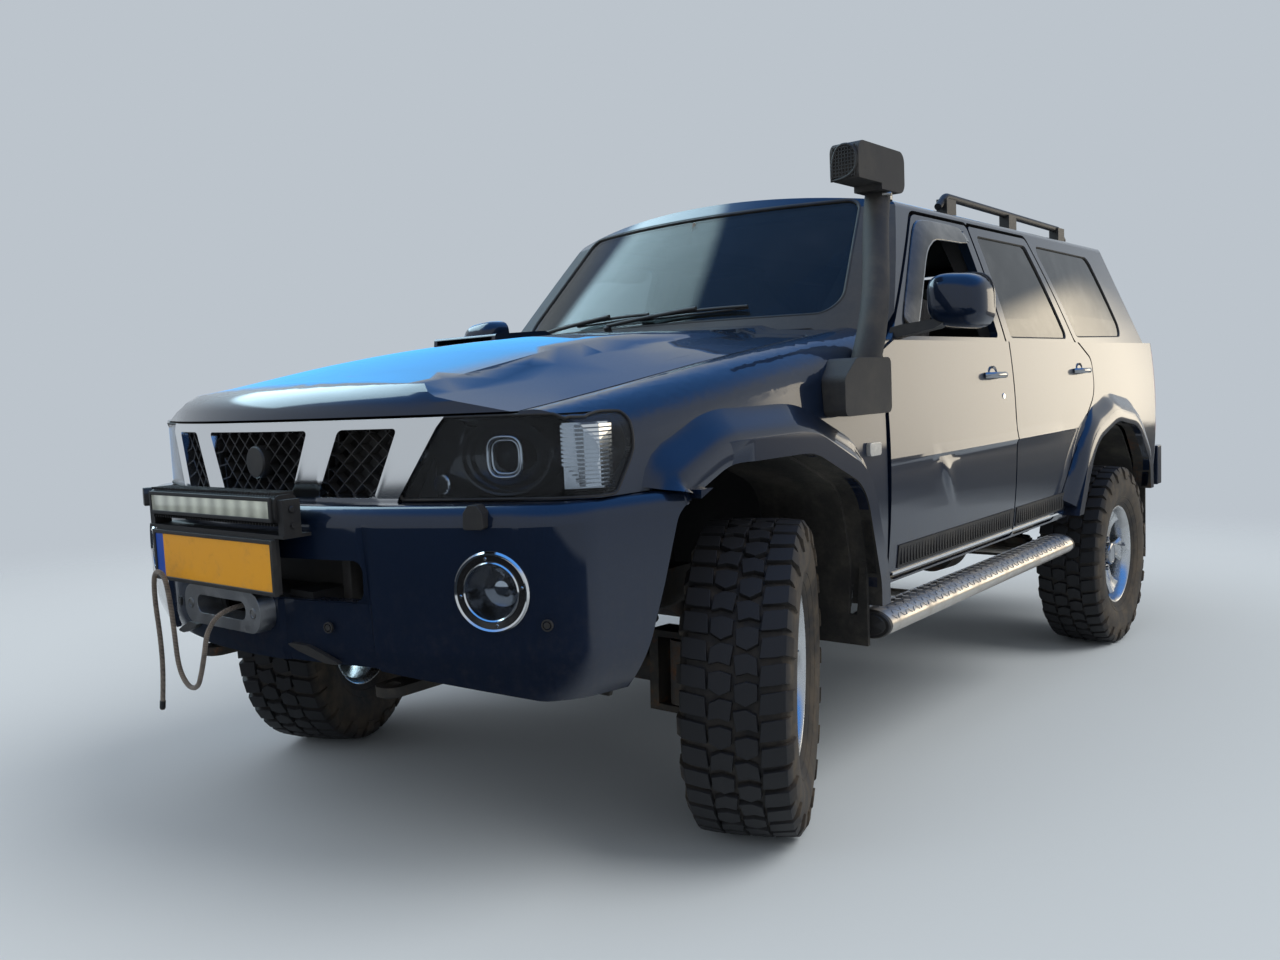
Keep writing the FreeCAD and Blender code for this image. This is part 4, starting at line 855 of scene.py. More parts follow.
@dataclass
class Workshop:
    """Makes finished meshes into pieces that ride on the car's bodies."""

    made: list[str] = field(default_factory=list)

    def piece(self, name: str, bm: BMesh, finish: Union[Finish, Sequence[Finish]], body: str,
              where: Matrix = BODY, stands_for: Sequence[str] = (), sharp: float = 32.0, bevel: float = 0.0,
              segments: int = 2, subdivide: int = 0) -> bpy.types.Object:
        """Turns a mesh into a piece.

        Args:
            name: the piece's name.
            bm: its mesh, used up here.
            finish: its finish, or one for each material index.
            body: the body that it rides on.
            where: takes the mesh into the row frame.
            stands_for: CAD nodes that it hides.
            sharp: angle in degrees above which an edge stays sharp.
            bevel: width of a Bevel modifier, or 0.
            segments: its segments.
            subdivide: levels of a Subdivision Surface modifier.

        Returns:
            The piece's object.
        """
        bm.transform(where)
        if where.determinant() < 0:
            flip(bm)
        mesh = bpy.data.meshes.new(name)
        bm.to_mesh(mesh)
        bm.free()
        finishes = [finish] if isinstance(finish, Finish) else list(finish)
        for one in finishes:
            mesh.materials.append(one.material())
        mesh.shade_smooth()
        mesh.set_sharp_from_angle(angle=math.radians(sharp))
        obj = bpy.data.objects.new(name, mesh)
        bpy.context.scene.collection.objects.link(obj)
        if subdivide:
            modifier = obj.modifiers.new("Round", "SUBSURF")
            modifier.levels = modifier.render_levels = subdivide
        if bevel > 0:
            modifier = obj.modifiers.new("Edges", "BEVEL")
            modifier.width = bevel
            modifier.segments = segments
            modifier.limit_method = "ANGLE"
            modifier.angle_limit = math.radians(sharp)
            modifier.use_clamp_overlap = True
            modifier.harden_normals = False
            modifier = obj.modifiers.new("Normals", "WEIGHTED_NORMAL")
            modifier.keep_sharp = False
            modifier.weight = 80
        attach(obj, body)
        if stands_for:
            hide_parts(*stands_for)
        self.made.append(name)
        LOG.info("%s: %d faces on %s", name, len(mesh.polygons), body)
        return obj

    def both_sides(self, name: str, build: Callable[[], BMesh], finish: Union[Finish, Sequence[Finish]],
                   body: str = "car", sides: Sequence[Side] = tuple(Side), **settings: object) -> None:
        """Makes a left piece and its mirror image.

        Args:
            name: the pieces' name without their side.
            build: makes the left-hand mesh.
            finish: the finish or finishes.
            body: the body's name, with {} where the side goes.
            sides: the sides to make.
            settings: what else piece() takes; {} in a node's name is the side too.
        """
        nodes = settings.pop("stands_for", [])
        for side in sides:
            bm = build()
            bm.transform(side.matrix)
            if side is Side.RIGHT:
                flip(bm)
            self.piece(f"{name}_{side.word}", bm, finish, body.format(side.word),
                       stands_for=[node.format(side.word) for node in nodes], **settings)

    def skin(self, node: str, finish: Union[Finish, Sequence[Finish]], body: str,
             sort: Optional[Callable[[Vector, Vector], int]] = None, bevel: float = 0.002,
             sharp: float = 30.0, cuts: Sequence[tuple[int, float]] = (),
             shape: Optional[Callable[[Vector], Vector]] = None) -> bpy.types.Object:
        """Replaces a CAD node by a merged copy of it with soft edges and smooth curves.

        Args:
            node: the CAD node.
            finish: the finish, or one for each index that sort returns.
            body: the body that it rides on.
            sort: chooses a material index from a face's middle and normal in the body frame.
            bevel: radius of its edges.
            sharp: angle that counts as an edge, in degrees.
            cuts: planes of the body frame that the mesh is cut along first, as axis and place.
            shape: moves each point, in the body frame.

        Returns:
            The new piece.
        """
        bm = new_mesh()
        bm.from_mesh(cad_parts[node].data)
        merge(bm, 2e-5)
        bmesh.ops.dissolve_degenerate(bm, edges=bm.edges[:], dist=1e-5)
        bmesh.ops.dissolve_limit(bm, angle_limit=math.radians(0.5), verts=bm.verts[:], edges=bm.edges[:],
                                 delimit={"NORMAL"})
        if shape:
            bm.transform(BODY.inverted())
            for axis, place in cuts:
                normal = [0.0, 0.0, 0.0]
                normal[axis] = 1.0
                bmesh.ops.bisect_plane(bm, geom=bm.verts[:] + bm.edges[:] + bm.faces[:], dist=1e-6,
                                       plane_co=[place * n for n in normal], plane_no=normal)
            for vert in bm.verts:
                vert.co = shape(vert.co)
            bm.transform(BODY)
            bm.normal_update()
        if sort:
            back = BODY.inverted()
            turn = back.to_3x3()
            for face in bm.faces:
                face.material_index = sort(back @ face.calc_center_median(), turn @ face.normal)
        return self.piece(f"{node}_dressed", bm, finish, body, where=Matrix.Identity(4), stands_for=[node],
                          sharp=sharp, bevel=bevel)

    def dress(self, node: str, finish: Finish) -> None:
        """Gives a CAD node a finish.

        Args:
            node: the CAD node.
            finish: its finish.
        """
        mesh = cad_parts[node].data
        mesh.materials.clear()
        mesh.materials.append(finish.material())


# ------------------------------------------------------------------ the finishes of this car
PAINT = CarPaint("paint_navy", "paint")
TRIM = Plastic("trim_black", "black_plastic", rough=0.42)
ROUGH_BLACK = Metal("powder_black", "black_steel", colour=(0.014, 0.014, 0.015), rough=0.5, metal=0.1,
                    stained=0.25, stain=(0.08, 0.07, 0.055), depth=0.0003)
ROUGH_TRIM = Plastic("trim_grained", "black_plastic", colour=(0.022, 0.022, 0.023), rough=0.62, grain=520.0,
                     depth=0.0008, dusty=0.22)
GLOSS_BLACK = Plastic("gloss_black", "black_plastic", colour=(0.010, 0.010, 0.011), rough=0.12, depth=0.00005,
                      dusty=0.04, gloss=0.6)
LINER = Plastic("arch_lining", "black_plastic", colour=(0.012, 0.012, 0.012), rough=0.8, grain=160.0,
                depth=0.002, dusty=0.35)
CABIN = Plastic("cabin_trim", "black_plastic", colour=(0.045, 0.045, 0.048), rough=0.6, grain=700.0,
                dusty=0.08)
CABIN_PALE = Plastic("cabin_lining", "black_plastic", colour=(0.24, 0.23, 0.21), rough=0.8, grain=900.0,
                     dusty=0.1)
RUBBER = Plastic("seal_rubber", "black_plastic", colour=(0.012, 0.012, 0.012), rough=0.55, grain=300.0,
                 dusty=0.15)
SMOKED = Glass("smoked_visor", "glass", tint=(0.30, 0.25, 0.21), clear=0.42, dusty=0.35)
CHROME = Metal("chrome", "chrome", colour=(0.78, 0.79, 0.80), rough=0.05, stained=0.05, depth=0.00002)
DARK_CHROME = Metal("dark_chrome", "chrome", colour=(0.30, 0.31, 0.33), rough=0.10, stained=0.08,
                    depth=0.00002)
ALLOY = Metal("wheel_alloy", "alloy", colour=(0.60, 0.61, 0.62), rough=0.26, stained=0.22,
              stain=(0.20, 0.16, 0.11))
STEP_METAL = Metal("tread_plate", "alloy", colour=(0.62, 0.58, 0.53), rough=0.30, stained=0.35,
                   stain=(0.24, 0.19, 0.13), brushed=(6.0, 0.4, 6.0))
CAST = Metal("fairlead_alloy", "alloy", colour=(0.56, 0.57, 0.58), rough=0.32, stained=0.3)
STEEL = Metal("zinc_steel", "alloy", colour=(0.42, 0.41, 0.39), rough=0.38, stained=0.4, rust=0.15)
CHASSIS = Metal("chassis_black", "black_steel", colour=(0.022, 0.021, 0.020), rough=0.6, metal=0.2,
                stained=0.6, stain=(0.11, 0.09, 0.065), rust=0.35, depth=0.0006)
IRON = Metal("cast_iron", "iron", colour=(0.075, 0.070, 0.066), rough=0.62, metal=0.5, stained=0.7,
             stain=(0.13, 0.105, 0.075), rust=0.5, depth=0.0008)
DISC = Metal("brake_disc", "iron", colour=(0.34, 0.33, 0.32), rough=0.3, stained=0.3, rust=0.3)
SCREEN_GLASS = Glass("screen_glass", "glass", tint=(0.52, 0.60, 0.62), clear=0.80, dusty=0.05)
SIDE_GLASS = Glass("side_glass", "glass", tint=(0.16, 0.17, 0.16), clear=0.55, dusty=0.10)
LENS = Glass("lamp_lens", "lamp", tint=(0.90, 0.93, 0.96), clear=0.92, dusty=0.02)
MIRROR_FACE = Metal("mirror_silver", "chrome", colour=(0.80, 0.82, 0.84), rough=0.02, stained=0.02, depth=0.0)
RED_LENS = Plastic("red_lens", "red_lamp", colour=(0.42, 0.012, 0.010), rough=0.10, grain=260.0, depth=0.0006,
                   dusty=0.05, gloss=1.0)
CLEAR_REAR = Plastic("pale_lens", "red_lamp", colour=(0.55, 0.56, 0.56), rough=0.12, grain=260.0,
                     depth=0.0006, dusty=0.04, gloss=1.0)
AMBER_LENS = Plastic("amber_lens", "red_lamp", colour=(0.62, 0.20, 0.02), rough=0.12, grain=260.0,
                     depth=0.0006, dusty=0.04, gloss=1.0)
CLOTH = Cloth("seat_cloth", "fabric")
ROPE_BRAID = Braid("rope_braid", "rope")
PLATE = NumberPlate("plate_orange", "plate")
CHROME_DOOR = Metal("handle_bright", "chrome", colour=(0.36, 0.37, 0.39), rough=0.12, stained=0.12,
                    depth=0.00002)
LENS_PALE = Plastic("repeater_lens", "lamp", colour=(0.60, 0.60, 0.58), rough=0.10, grain=260.0,
                    depth=0.0004, dusty=0.05, gloss=1.0)
SPRING = Metal("spring_black", "black_steel", colour=(0.03, 0.028, 0.026), rough=0.5, metal=0.3, stained=0.5,
               stain=(0.12, 0.09, 0.06), rust=0.4)
EMITTERS = Glow("emitter_row", "lamp")


# ------------------------------------------------------------------ setting
@dataclass
class Setting:
    """Camera, floor and lights."""

    camera_at: Point = (2.36906, -3.86869, 1.09847)
    yaw: float = 0.685487781
    pitch: float = 0.0587944526
    roll: float = -0.0210115975
    focal: float = 29.98
    backdrop: Point = (0.503, 0.552, 0.604)
    floor_albedo: Point = (0.66, 0.73, 0.79)

    def camera(self) -> None:
        """Places the camera at the eye that the car is seen from."""
        yaw, pitch, roll = self.yaw, self.pitch, self.roll
        ahead = Vector((-math.sin(yaw) * math.cos(pitch), math.cos(yaw) * math.cos(pitch), -math.sin(pitch)))
        right = Vector((math.cos(yaw), math.sin(yaw), 0.0))
        up = right.cross(ahead)
        across = right * math.cos(roll) + up * math.sin(roll)
        upward = up * math.cos(roll) - right * math.sin(roll)
        data = bpy.data.cameras.new("eye")
        data.sensor_width = 36.0
        data.lens = self.focal
        data.clip_end = 200.0
        eye = bpy.data.objects.new("eye", data)
        turn = turn_to(across, upward, -ahead)
        eye.matrix_world = Matrix.Translation(Vector(self.camera_at)) @ turn
        bpy.context.scene.collection.objects.link(eye)
        bpy.context.scene.camera = eye

    def floor(self) -> None:
        """A pale floor that fades into the backdrop's colour away from the car."""
        bm = new_mesh()
        bmesh.ops.create_circle(bm, cap_ends=True, segments=96, radius=14.0)
        mesh = bpy.data.meshes.new("floor")
        bm.to_mesh(mesh)
        bm.free()
        made = bpy.data.materials.new("studio_floor")
        graph = Graph(made)
        matt = graph.add("ShaderNodeBsdfDiffuse", {}, {0: (*self.floor_albedo, 1.0)})
        clear = graph.add("ShaderNodeBsdfTransparent", {}, {})
        x, y, _ = graph.axes()
        reach = (x * x + y * y) ** 0.5
        graph.add_output(graph.add("ShaderNodeMixShader", {}, {0: reach.ramp(3.6, 8.5), 1: matt, 2: clear}))
        mesh.materials.append(made)
        obj = bpy.data.objects.new("floor", mesh)
        bpy.context.scene.collection.objects.link(obj)

    def sun(self, name: str, way: Point, strength: float, spread: float, colour: Point) -> None:
        """One broad, soft lamp that lights the whole floor alike.

        Args:
            name: its name.
            way: from the car towards the lamp.
            strength: its strength.
            spread: how many degrees it fills.
            colour: its colour.
        """
        data = bpy.data.lights.new(name, "SUN")
        data.energy = strength
        data.angle = math.radians(spread)
        data.color = colour
        obj = bpy.data.objects.new(name, data)
        obj.visible_glossy = False
        obj.matrix_world = Vector(way).to_track_quat("Z", "Y").to_matrix().to_4x4()
        bpy.context.scene.collection.objects.link(obj)

    def card(self, name: str, at: Point, aim: Point, size: tuple[float, float], colour: Point,
             soft: float = 0.5) -> None:
        """One soft-edged card beside the car that shows only as a reflection.

        Args:
            name: its name.
            at: where it stands.
            aim: the point it faces.
            size: width and height.
            colour: its colour, above 1 for a lit one.
            soft: share of it that fades at its edges.
        """
        bm = new_mesh()
        bmesh.ops.create_grid(bm, x_segments=1, y_segments=1, size=0.5, calc_uvs=True)
        mesh = bpy.data.meshes.new(name)
        bm.to_mesh(mesh)
        bm.free()
        made = bpy.data.materials.new(name)
        graph = Graph(made)
        x, y, _ = graph.axes()
        inside = ((0.5 - x) * (0.5 + x) * 4.0).ramp(0.0, soft) * ((0.5 - y) * (0.5 + y) * 4.0).ramp(0.0, soft)
        clear = graph.add("ShaderNodeBsdfTransparent", {}, {})
        lit = graph.add("ShaderNodeEmission", {}, {0: (*colour, 1.0), 1: 1.0})
        graph.add_output(graph.add("ShaderNodeMixShader", {}, {0: inside, 1: clear, 2: lit}))
        mesh.materials.append(made)
        obj = bpy.data.objects.new(name, mesh)
        facing = (Vector(aim) - Vector(at)).to_track_quat("Z", "Y")
        turn = facing.to_matrix().to_4x4()
        obj.matrix_world = Matrix.Translation(Vector(at)) @ turn @ Matrix.Diagonal((*size, 1.0, 1.0))
        for kind in ("camera", "diffuse", "transmission", "shadow", "volume_scatter"):
            setattr(obj, f"visible_{kind}", False)
        bpy.context.scene.collection.objects.link(obj)

    def world(self) -> None:
        """A grey-blue surround with blue sky high up, and an even light for matt surfaces."""
        scene = bpy.context.scene
        scene.world = bpy.data.worlds.new("studio")
        graph = Graph(scene.world)
        _, _, z = graph.axes(graph.add("ShaderNodeTexCoord", {}, {}, "Generated"))
        seen = graph.mix(z.ramp(0.42, 0.75), self.backdrop, (0.10, 0.34, 0.90))
        shown = graph.add("ShaderNodeBackground", {}, {0: seen, 1: 1.0})
        plain = graph.add("ShaderNodeBackground", {}, {0: (0.97, 0.98, 1.0, 1.0), 1: 0.52})
        rays = [graph.add("ShaderNodeLightPath", {}, {}, f"Is {kind} Ray")
                for kind in ("Camera", "Glossy", "Transmission")]
        chosen = (rays[0] + rays[1] + rays[2]).clamp()
        graph.add_output(graph.add("ShaderNodeMixShader", {}, {0: chosen, 1: plain, 2: shown}),
                         "ShaderNodeOutputWorld")

    def build(self) -> None:
        """Sets up everything round the car."""
        bpy.context.scene.view_settings.view_transform = "Standard"
        self.camera()
        self.floor()
        self.world()
        self.sun("key", (0.75, 0.30, 0.95), 1.25, 40.0, (1.0, 0.95, 0.88))
        self.sun("fill", (-0.55, -0.85, 1.0), 0.45, 60.0, (0.88, 0.94, 1.0))
        self.card("warm_card", (5.3, 9.5, 2.5), (0.9, 0.0, 1.1), (6.4, 4.2), (2.9, 2.6, 2.1), 0.5)
        self.card("hedge_card", (5.0, 9.2, 0.1), (0.9, 0.0, 1.1), (9.0, 1.7), (0.06, 0.07, 0.08), 0.4)
        self.card("sky_card", (-7.5, 7.5, 3.0), (0.0, -1.4, 1.3), (13.0, 6.5), (0.16, 0.72, 1.60), 0.5)
        self.card("cloud_card", (-7.0, -2.0, 8.2), (0.0, -0.4, 1.6), (9.5, 7.5), (3.0, 4.2, 4.8), 0.35)
        self.card("dark_floor_card", (-0.6, -5.5, 0.01), (-0.6, -5.5, 5.0), (14.0, 7.0),
                  (0.02, 0.026, 0.035), 0.22)


# ------------------------------------------------------------------ wheels
@dataclass
class MudTyre:
    """Off-road tyre: rounded carcass, two interlocking rows of centre blocks and big shoulder lugs."""

    shop: Workshop
    pitches: int = 20
    groove_r: float = 0.398
    top_r: float = 0.4125
    half_tread: float = 0.112

    def carcass(self) -> BMesh:
        """The spun tyre without its lugs, about X."""
        half = [(0.214, 0.094), (0.222, 0.106), (0.236, 0.113), (0.262, 0.126), (0.300, 0.137),
                (0.335, 0.138), (0.362, 0.133), (0.382, 0.125), (0.3945, 0.111), (0.398, 0.085),
                (0.398, 0.0)]
        bm = new_mesh()
        profile = half + [(r, -x) for r, x in reversed(half[:-1])] + [(0.214, -0.094), (0.208, 0.0),
                                                                      (0.214, 0.094)]
        seen: list[Point] = []
        for point in profile:
            if not seen or point != seen[-1]:
                seen.append(point)
        lathe(bm, seen, axis=(1, 0, 0), steps=96)
        for radius, side in ((0.2685, 1), (0.2685, -1), (0.246, 1), (0.246, -1)):
            ring = new_mesh()
            x = 0.1285 if radius > 0.26 else 0.1185
            lathe(ring, [(radius - 0.0022, side * (x - 0.006)), (radius - 0.0016, side * x),
                         (radius + 0.0016, side * (x + 0.0012)), (radius + 0.0022, side * (x - 0.006))],
                  axis=(1, 0, 0), steps=72)
            absorb(bm, ring)
        return bm

    def lug(self, bm: BMesh, outline: Sequence[Point], angle: float, low: float, high: float,
            draft: float = 0.0016, bend: float = 0.0) -> None:
        """One tread block: an outline in (across, along) metres on the drum.

        Args:
            bm: the mesh that gets it.
            outline: its corners across and along the tread.
            angle: where it stands round the tyre.
            low: radius of its foot.
            high: radius of its face.
            draft: how much wider its foot is.
            bend: how far its face drops at the tread's edge.
        """
        part = new_mesh()
        verts = [part.verts.new((u, v, low)) for u, v in outline]
        face = part.faces.new(verts)
        moved = bmesh.ops.extrude_face_region(part, geom=[face])
        top = [g for g in moved["geom"] if isinstance(g, BMVert)]
        middle = sum((v.co for v in top), Vector()) / len(top)
        for vert in top:
            vert.co.z = high - bend * max(abs(vert.co.x) - 0.07, 0.0)
            away = vert.co - middle
            vert.co.x -= draft * (1 if away.x > 0 else -1)
            vert.co.y -= draft * (1 if away.y > 0 else -1)
        outward(part)
        for vert in part.verts:
            turn = angle + vert.co.y / self.top_r
            across, radius = vert.co.x, vert.co.z
            vert.co = Vector((across, radius * math.sin(turn), radius * math.cos(turn)))
        absorb(bm, part)

    def pitch(self) -> BMesh:
        """The blocks of one pitch, repeated round the tyre."""
        bm = new_mesh()
        step = 2 * math.pi / self.pitches
        run = step * self.top_r
        for sign, start in ((1, 0.0), (-1, 0.42)):
            for half in (0.0, 0.5):
                wide = 0.137 if half == 0.0 else 0.128
                low_y, high_y = 0.035 * run, 0.435 * run
                shoulder = [(sign * 0.060, low_y - 0.004), (sign * 0.100, low_y),
                            (sign * 0.124, low_y + 0.006), (sign * 0.124, high_y + 0.004),
                            (sign * 0.098, high_y), (sign * 0.064, high_y - 0.006)]
                if sign < 0:
                    shoulder.reverse()
                self.lug(bm, shoulder, step * (start + half), self.groove_r - 0.012, self.top_r, bend=0.10)
                side = new_mesh()
                outer = [(sign * 0.121, self.top_r - 0.0045), (sign * wide, 0.386 if half == 0 else 0.393),
                         (sign * (wide + 0.004), 0.352 if half == 0 else 0.374),
                         (sign * 0.118, 0.350 if half == 0 else 0.372)]
                verts = [side.verts.new((x, low_y + 0.006, r)) for x, r in outer]
                face = side.faces.new(verts)
                moved = bmesh.ops.extrude_face_region(side, geom=[face])
                far = [g for g in moved["geom"] if isinstance(g, BMVert)]
                bmesh.ops.translate(side, vec=(0, high_y - low_y - 0.004, 0), verts=far)
                outward(side)
                for vert in side.verts:
                    turn = step * (start + half) + vert.co.y / self.top_r
                    radius = vert.co.z
                    vert.co = Vector((vert.co.x, radius * math.sin(turn), radius * math.cos(turn)))
                absorb(bm, side)
            for half, shape in ((0.0,
                                 ((0.004, -0.01), (0.032, -0.10), (0.0585, 0.02), (0.0585, 0.32),
                                  (0.030, 0.365), (0.002, 0.30))),
                                (0.5, ((0.006, -0.06), (0.036, 0.00), (0.0595, -0.05), (0.0560, 0.28),
                                       (0.032, 0.37), (-0.001, 0.32)))):
                lift = 0.24 if sign > 0 else 0.0
                outline = [(sign * u, v * run) for u, v in shape]
                if sign < 0:
                    outline.reverse()
                self.lug(bm, outline, step * (start + half + lift), self.groove_r - 0.004, self.top_r)
        return bm

    def build(self, name: str, where: Matrix, axis: Vector, body: str, node: str) -> None:
        """Makes one tyre.

        Args:
            name: the piece's name.
            where: takes the tyre from X = outwards into the row frame.
            axis: its axle's direction in the row frame.
            body: the body that it rides on.
            node: the CAD node that it stands for.
        """
        bm = self.carcass()
        sector = self.pitch()
        step = 2 * math.pi / self.pitches
        source = bpy.data.meshes.new("pitch")
        sector.to_mesh(source)
        sector.free()
        for i in range(self.pitches):
            copy = new_mesh()
            copy.from_mesh(source)
            absorb(bm, copy, Matrix.Rotation(-step * i, 4, "X"))
        bpy.data.meshes.remove(source)
        rubber = TyreRubber(f"{name}_rubber", "tyre", hub=tuple(where.translation), axle=tuple(axis))
        self.shop.piece(name, bm, rubber, body, where=where, stands_for=[node], sharp=28.0, bevel=0.0012,
                        segments=1)


@dataclass
class SixSpokeRim:
    """Six-spoke alloy rim with a stepped barrel, wheel nuts and a centre cap."""

    shop: Workshop
    spokes: int = 6

    def barrel(self, bm: BMesh) -> None:
        """The spun well and flanges."""
        lathe(bm, [(0.2255, 0.1085), (0.2285, 0.104), (0.2265, 0.098), (0.2135, 0.094), (0.2125, 0.060),
                   (0.2105, -0.060), (0.2135, -0.094), (0.2265, -0.098), (0.2285, -0.104), (0.2255, -0.1085),
                   (0.2195, -0.105), (0.2035, -0.088), (0.1985, -0.050), (0.1985, 0.035), (0.2035, 0.070),
                   (0.2090, 0.092), (0.2195, 0.106), (0.2255, 0.1085)], axis=(1, 0, 0), steps=72)

    def spoke(self) -> BMesh:
        """One broad dished spoke from hub to rim, pointing up."""
        bm = new_mesh()
        rows = [(0.072, 0.034, 0.058, 0.036), (0.105, 0.031, 0.056, 0.034), (0.145, 0.033, 0.058, 0.036),
                (0.178, 0.042, 0.066, 0.042), (0.203, 0.060, 0.078, 0.048)]
        rings = []
        for radius, half, front, depth in rows:
            section = [(front - 0.014, -half), (front - 0.002, -half * 0.72), (front - 0.006, -half * 0.2),
                       (front - 0.006, half * 0.2), (front - 0.002, half * 0.72), (front - 0.014, half),
                       (front - depth, half * 0.82), (front - depth, -half * 0.82)]
            rings.append(ring_of(bm,
                                 [(x, y, math.sqrt(max(radius ** 2 - y * y, 0.0001))) for x, y in section]))
        join_rings(bm, rings)
        bmesh.ops.holes_fill(bm, edges=[e for e in bm.edges if e.is_boundary], sides=0)
        outward(bm)
        return bm

    def build(self, name: str, where: Matrix, body: str, node: str) -> None:
        """Makes one rim with its nuts, cap and valve.

        Args:
            name: the piece's name.
            where: takes the rim into the row frame.
            body: the body that it rides on.
            node: the CAD node that it stands for.
        """
        bm = new_mesh()
        self.barrel(bm)
        for i in range(self.spokes):
            absorb(bm, self.spoke(), Matrix.Rotation(2 * math.pi * (i + 0.5) / self.spokes, 4, "X"))
        lathe(bm, [(0.0, 0.018), (0.086, 0.018), (0.090, 0.030), (0.088, 0.052), (0.080, 0.058),
                   (0.058, 0.058), (0.056, 0.050), (0.0, 0.050)], axis=(1, 0, 0), steps=48)
        self.shop.piece(name, bm, ALLOY, body, where=where, stands_for=[node], sharp=34.0, bevel=0.0025)
        trim = new_mesh()
        lathe(trim, [(0.0, 0.048), (0.052, 0.048), (0.053, 0.076), (0.049, 0.085), (0.040, 0.088),
                     (0.038, 0.086), (0.0, 0.086)], axis=(1, 0, 0), steps=40)
        for i in range(6):
            angle = 2 * math.pi * i / 6
            y, z = 0.0695 * math.sin(angle), 0.0695 * math.cos(angle)
            rod(trim, (0.045, y, z), (0.071, y, z), 0.0105, 6, 0.002)
        rod(trim, (0.070, 0.188, 0.02), (0.092, 0.190, 0.02), 0.004, 8, 0.001)
        self.shop.piece(f"{name}_cap", trim, DARK_CHROME, body, where=where, sharp=34.0, bevel=0.0008)


@dataclass
class Wheels:
    """All five wheels, with brake discs behind the four on the road."""

    shop: Workshop

    def seat_of(self, front: bool, side: Side) -> tuple[Matrix, Vector]:
        """Where a road wheel stands.

        Args:
            front: front axle or rear.
            side: its side.

        Returns:
            The matrix from the wheel's own frame (X outwards) and its axle's direction.
        """
        y = CENTRE_Y + (-WHEELBASE / 2 if front else WHEELBASE / 2)
        half_turn = Matrix.Identity(4) if side is Side.LEFT else Matrix.Rotation(math.pi, 4, "Z")
        if not front:
            where = Matrix.Translation((side.value * TRACK / 2, y, TYRE_R)) @ half_turn
        else:
            steer = Matrix.Rotation(STEER_REST, 4, "Z")
            out = Matrix.Translation((side.value * (TRACK / 2 - KINGPIN_X), 0, 0))
            where = Matrix.Translation((side.value * KINGPIN_X, y, TYRE_R)) @ steer @ out @ half_turn
        return where, where.to_3x3() @ Vector((1, 0, 0))

    def brake(self, name: str, where: Matrix, body: str) -> None:
        """A brake disc on its hub, behind the spokes.

        Args:
            name: the pieces' name.
            where: the wheel's matrix.
            body: the body that they ride on.
        """
        bm = new_mesh()
        lathe(bm, [(0.085, -0.012), (0.152, -0.012), (0.152, -0.036), (0.085, -0.036), (0.085, -0.012)],
              axis=(1, 0, 0), steps=56)
        lathe(bm, [(0.0, 0.008), (0.080, 0.008), (0.083, -0.030), (0.0, -0.030)], axis=(1, 0, 0), steps=40)
        self.shop.piece(f"{name}_disc", bm, DISC, body, where=where, sharp=34.0, bevel=0.001)

    def build(self) -> None:
        """Makes every wheel."""
        tyre, rim = MudTyre(self.shop), SixSpokeRim(self.shop)
        for front in (True, False):
            for side in Side:
                where, axis = self.seat_of(front, side)
                tag = f"{'front' if front else 'rear'}_{side.word}"
                tyre.build(f"mud_tyre_{tag}", where, axis, f"wheel_{tag}", f"tyre_{tag}")
                rim.build(f"alloy_rim_{tag}", where, f"wheel_{tag}", f"rim_{tag}")
                self.brake(f"brake_{tag}", where, f"wheel_{tag}")
        spare = BODY @ Matrix.Translation((-0.198, 2.615, 1.235)) @ Matrix.Rotation(math.radians(90), 4, "Z")
        tyre.build("mud_tyre_spare", spare, spare.to_3x3() @ Vector((1, 0, 0)), "back_door_wide",
                   "spare_tyre")
        rim.build("alloy_rim_spare", spare, "back_door_wide", "spare_rim")


# ------------------------------------------------------------------ surfaces of the body, in its own frame
def flank_x(z: float) -> float:
    """Half width of the doors and quarters at a height."""
    half = 0.3725
    radius = (half ** 2 + 0.026 ** 2) / 0.052
    return 0.921 - radius + math.sqrt(radius ** 2 - (min(max(z, 0.6), WAIST_Z) - 0.9725) ** 2)


def glass_x(z: float) -> float:
    """Half width of the side windows' plane at a height."""
    share = (z - WAIST_Z) / 0.487
    return 0.884 - 0.162 * share + 0.007 * (1 - (2 * share - 1) ** 2)


def fascia_y(x: float) -> float:
    """Front of grille and lamps at a half width."""
    x = abs(x)
    return -0.7114 - math.sqrt(1.6 ** 2 - x * x) if x < 0.584 else -2.430 + 0.39205 * x


def bumper_y(x: float) -> float:
    """Front of the bumper at a half width."""
    x = abs(x)
    return -0.8966 - math.sqrt(1.5 ** 2 - x * x) if x < 0.557 else -2.512 + 0.3998 * x


def on_bumper(x: float, z: float, out: float = 0.0) -> Matrix:
    """Frame of a fitting on the bumper: Z points out of it, Y up.

    Args:
        x: half width.
        z: height.
        out: distance in front of the skin.

    Returns:
        The matrix from the fitting to the body frame.
    """
    slope = abs(x) / math.sqrt(1.5 ** 2 - x * x) if abs(x) < 0.557 else 0.3998
    normal = Vector((math.copysign(slope, x) if x else 0.0, -1.0, 0.0)).normalized()
    up = Vector((0, 0, 1))
    across = up.cross(normal)
    return Matrix.Translation(Vector((x, bumper_y(x), z)) + normal * out) @ turn_to(across, up, normal)


def on_flank(y: float, z: float, out: float = 0.0) -> Matrix:
    """Frame of a fitting on the left flank: Z points out of it, X backward, Y up."""
    return Matrix.Translation((flank_x(z) + out, y, z)) @ turn_to((0, 1, 0), (0, 0, 1), (1, 0, 0))


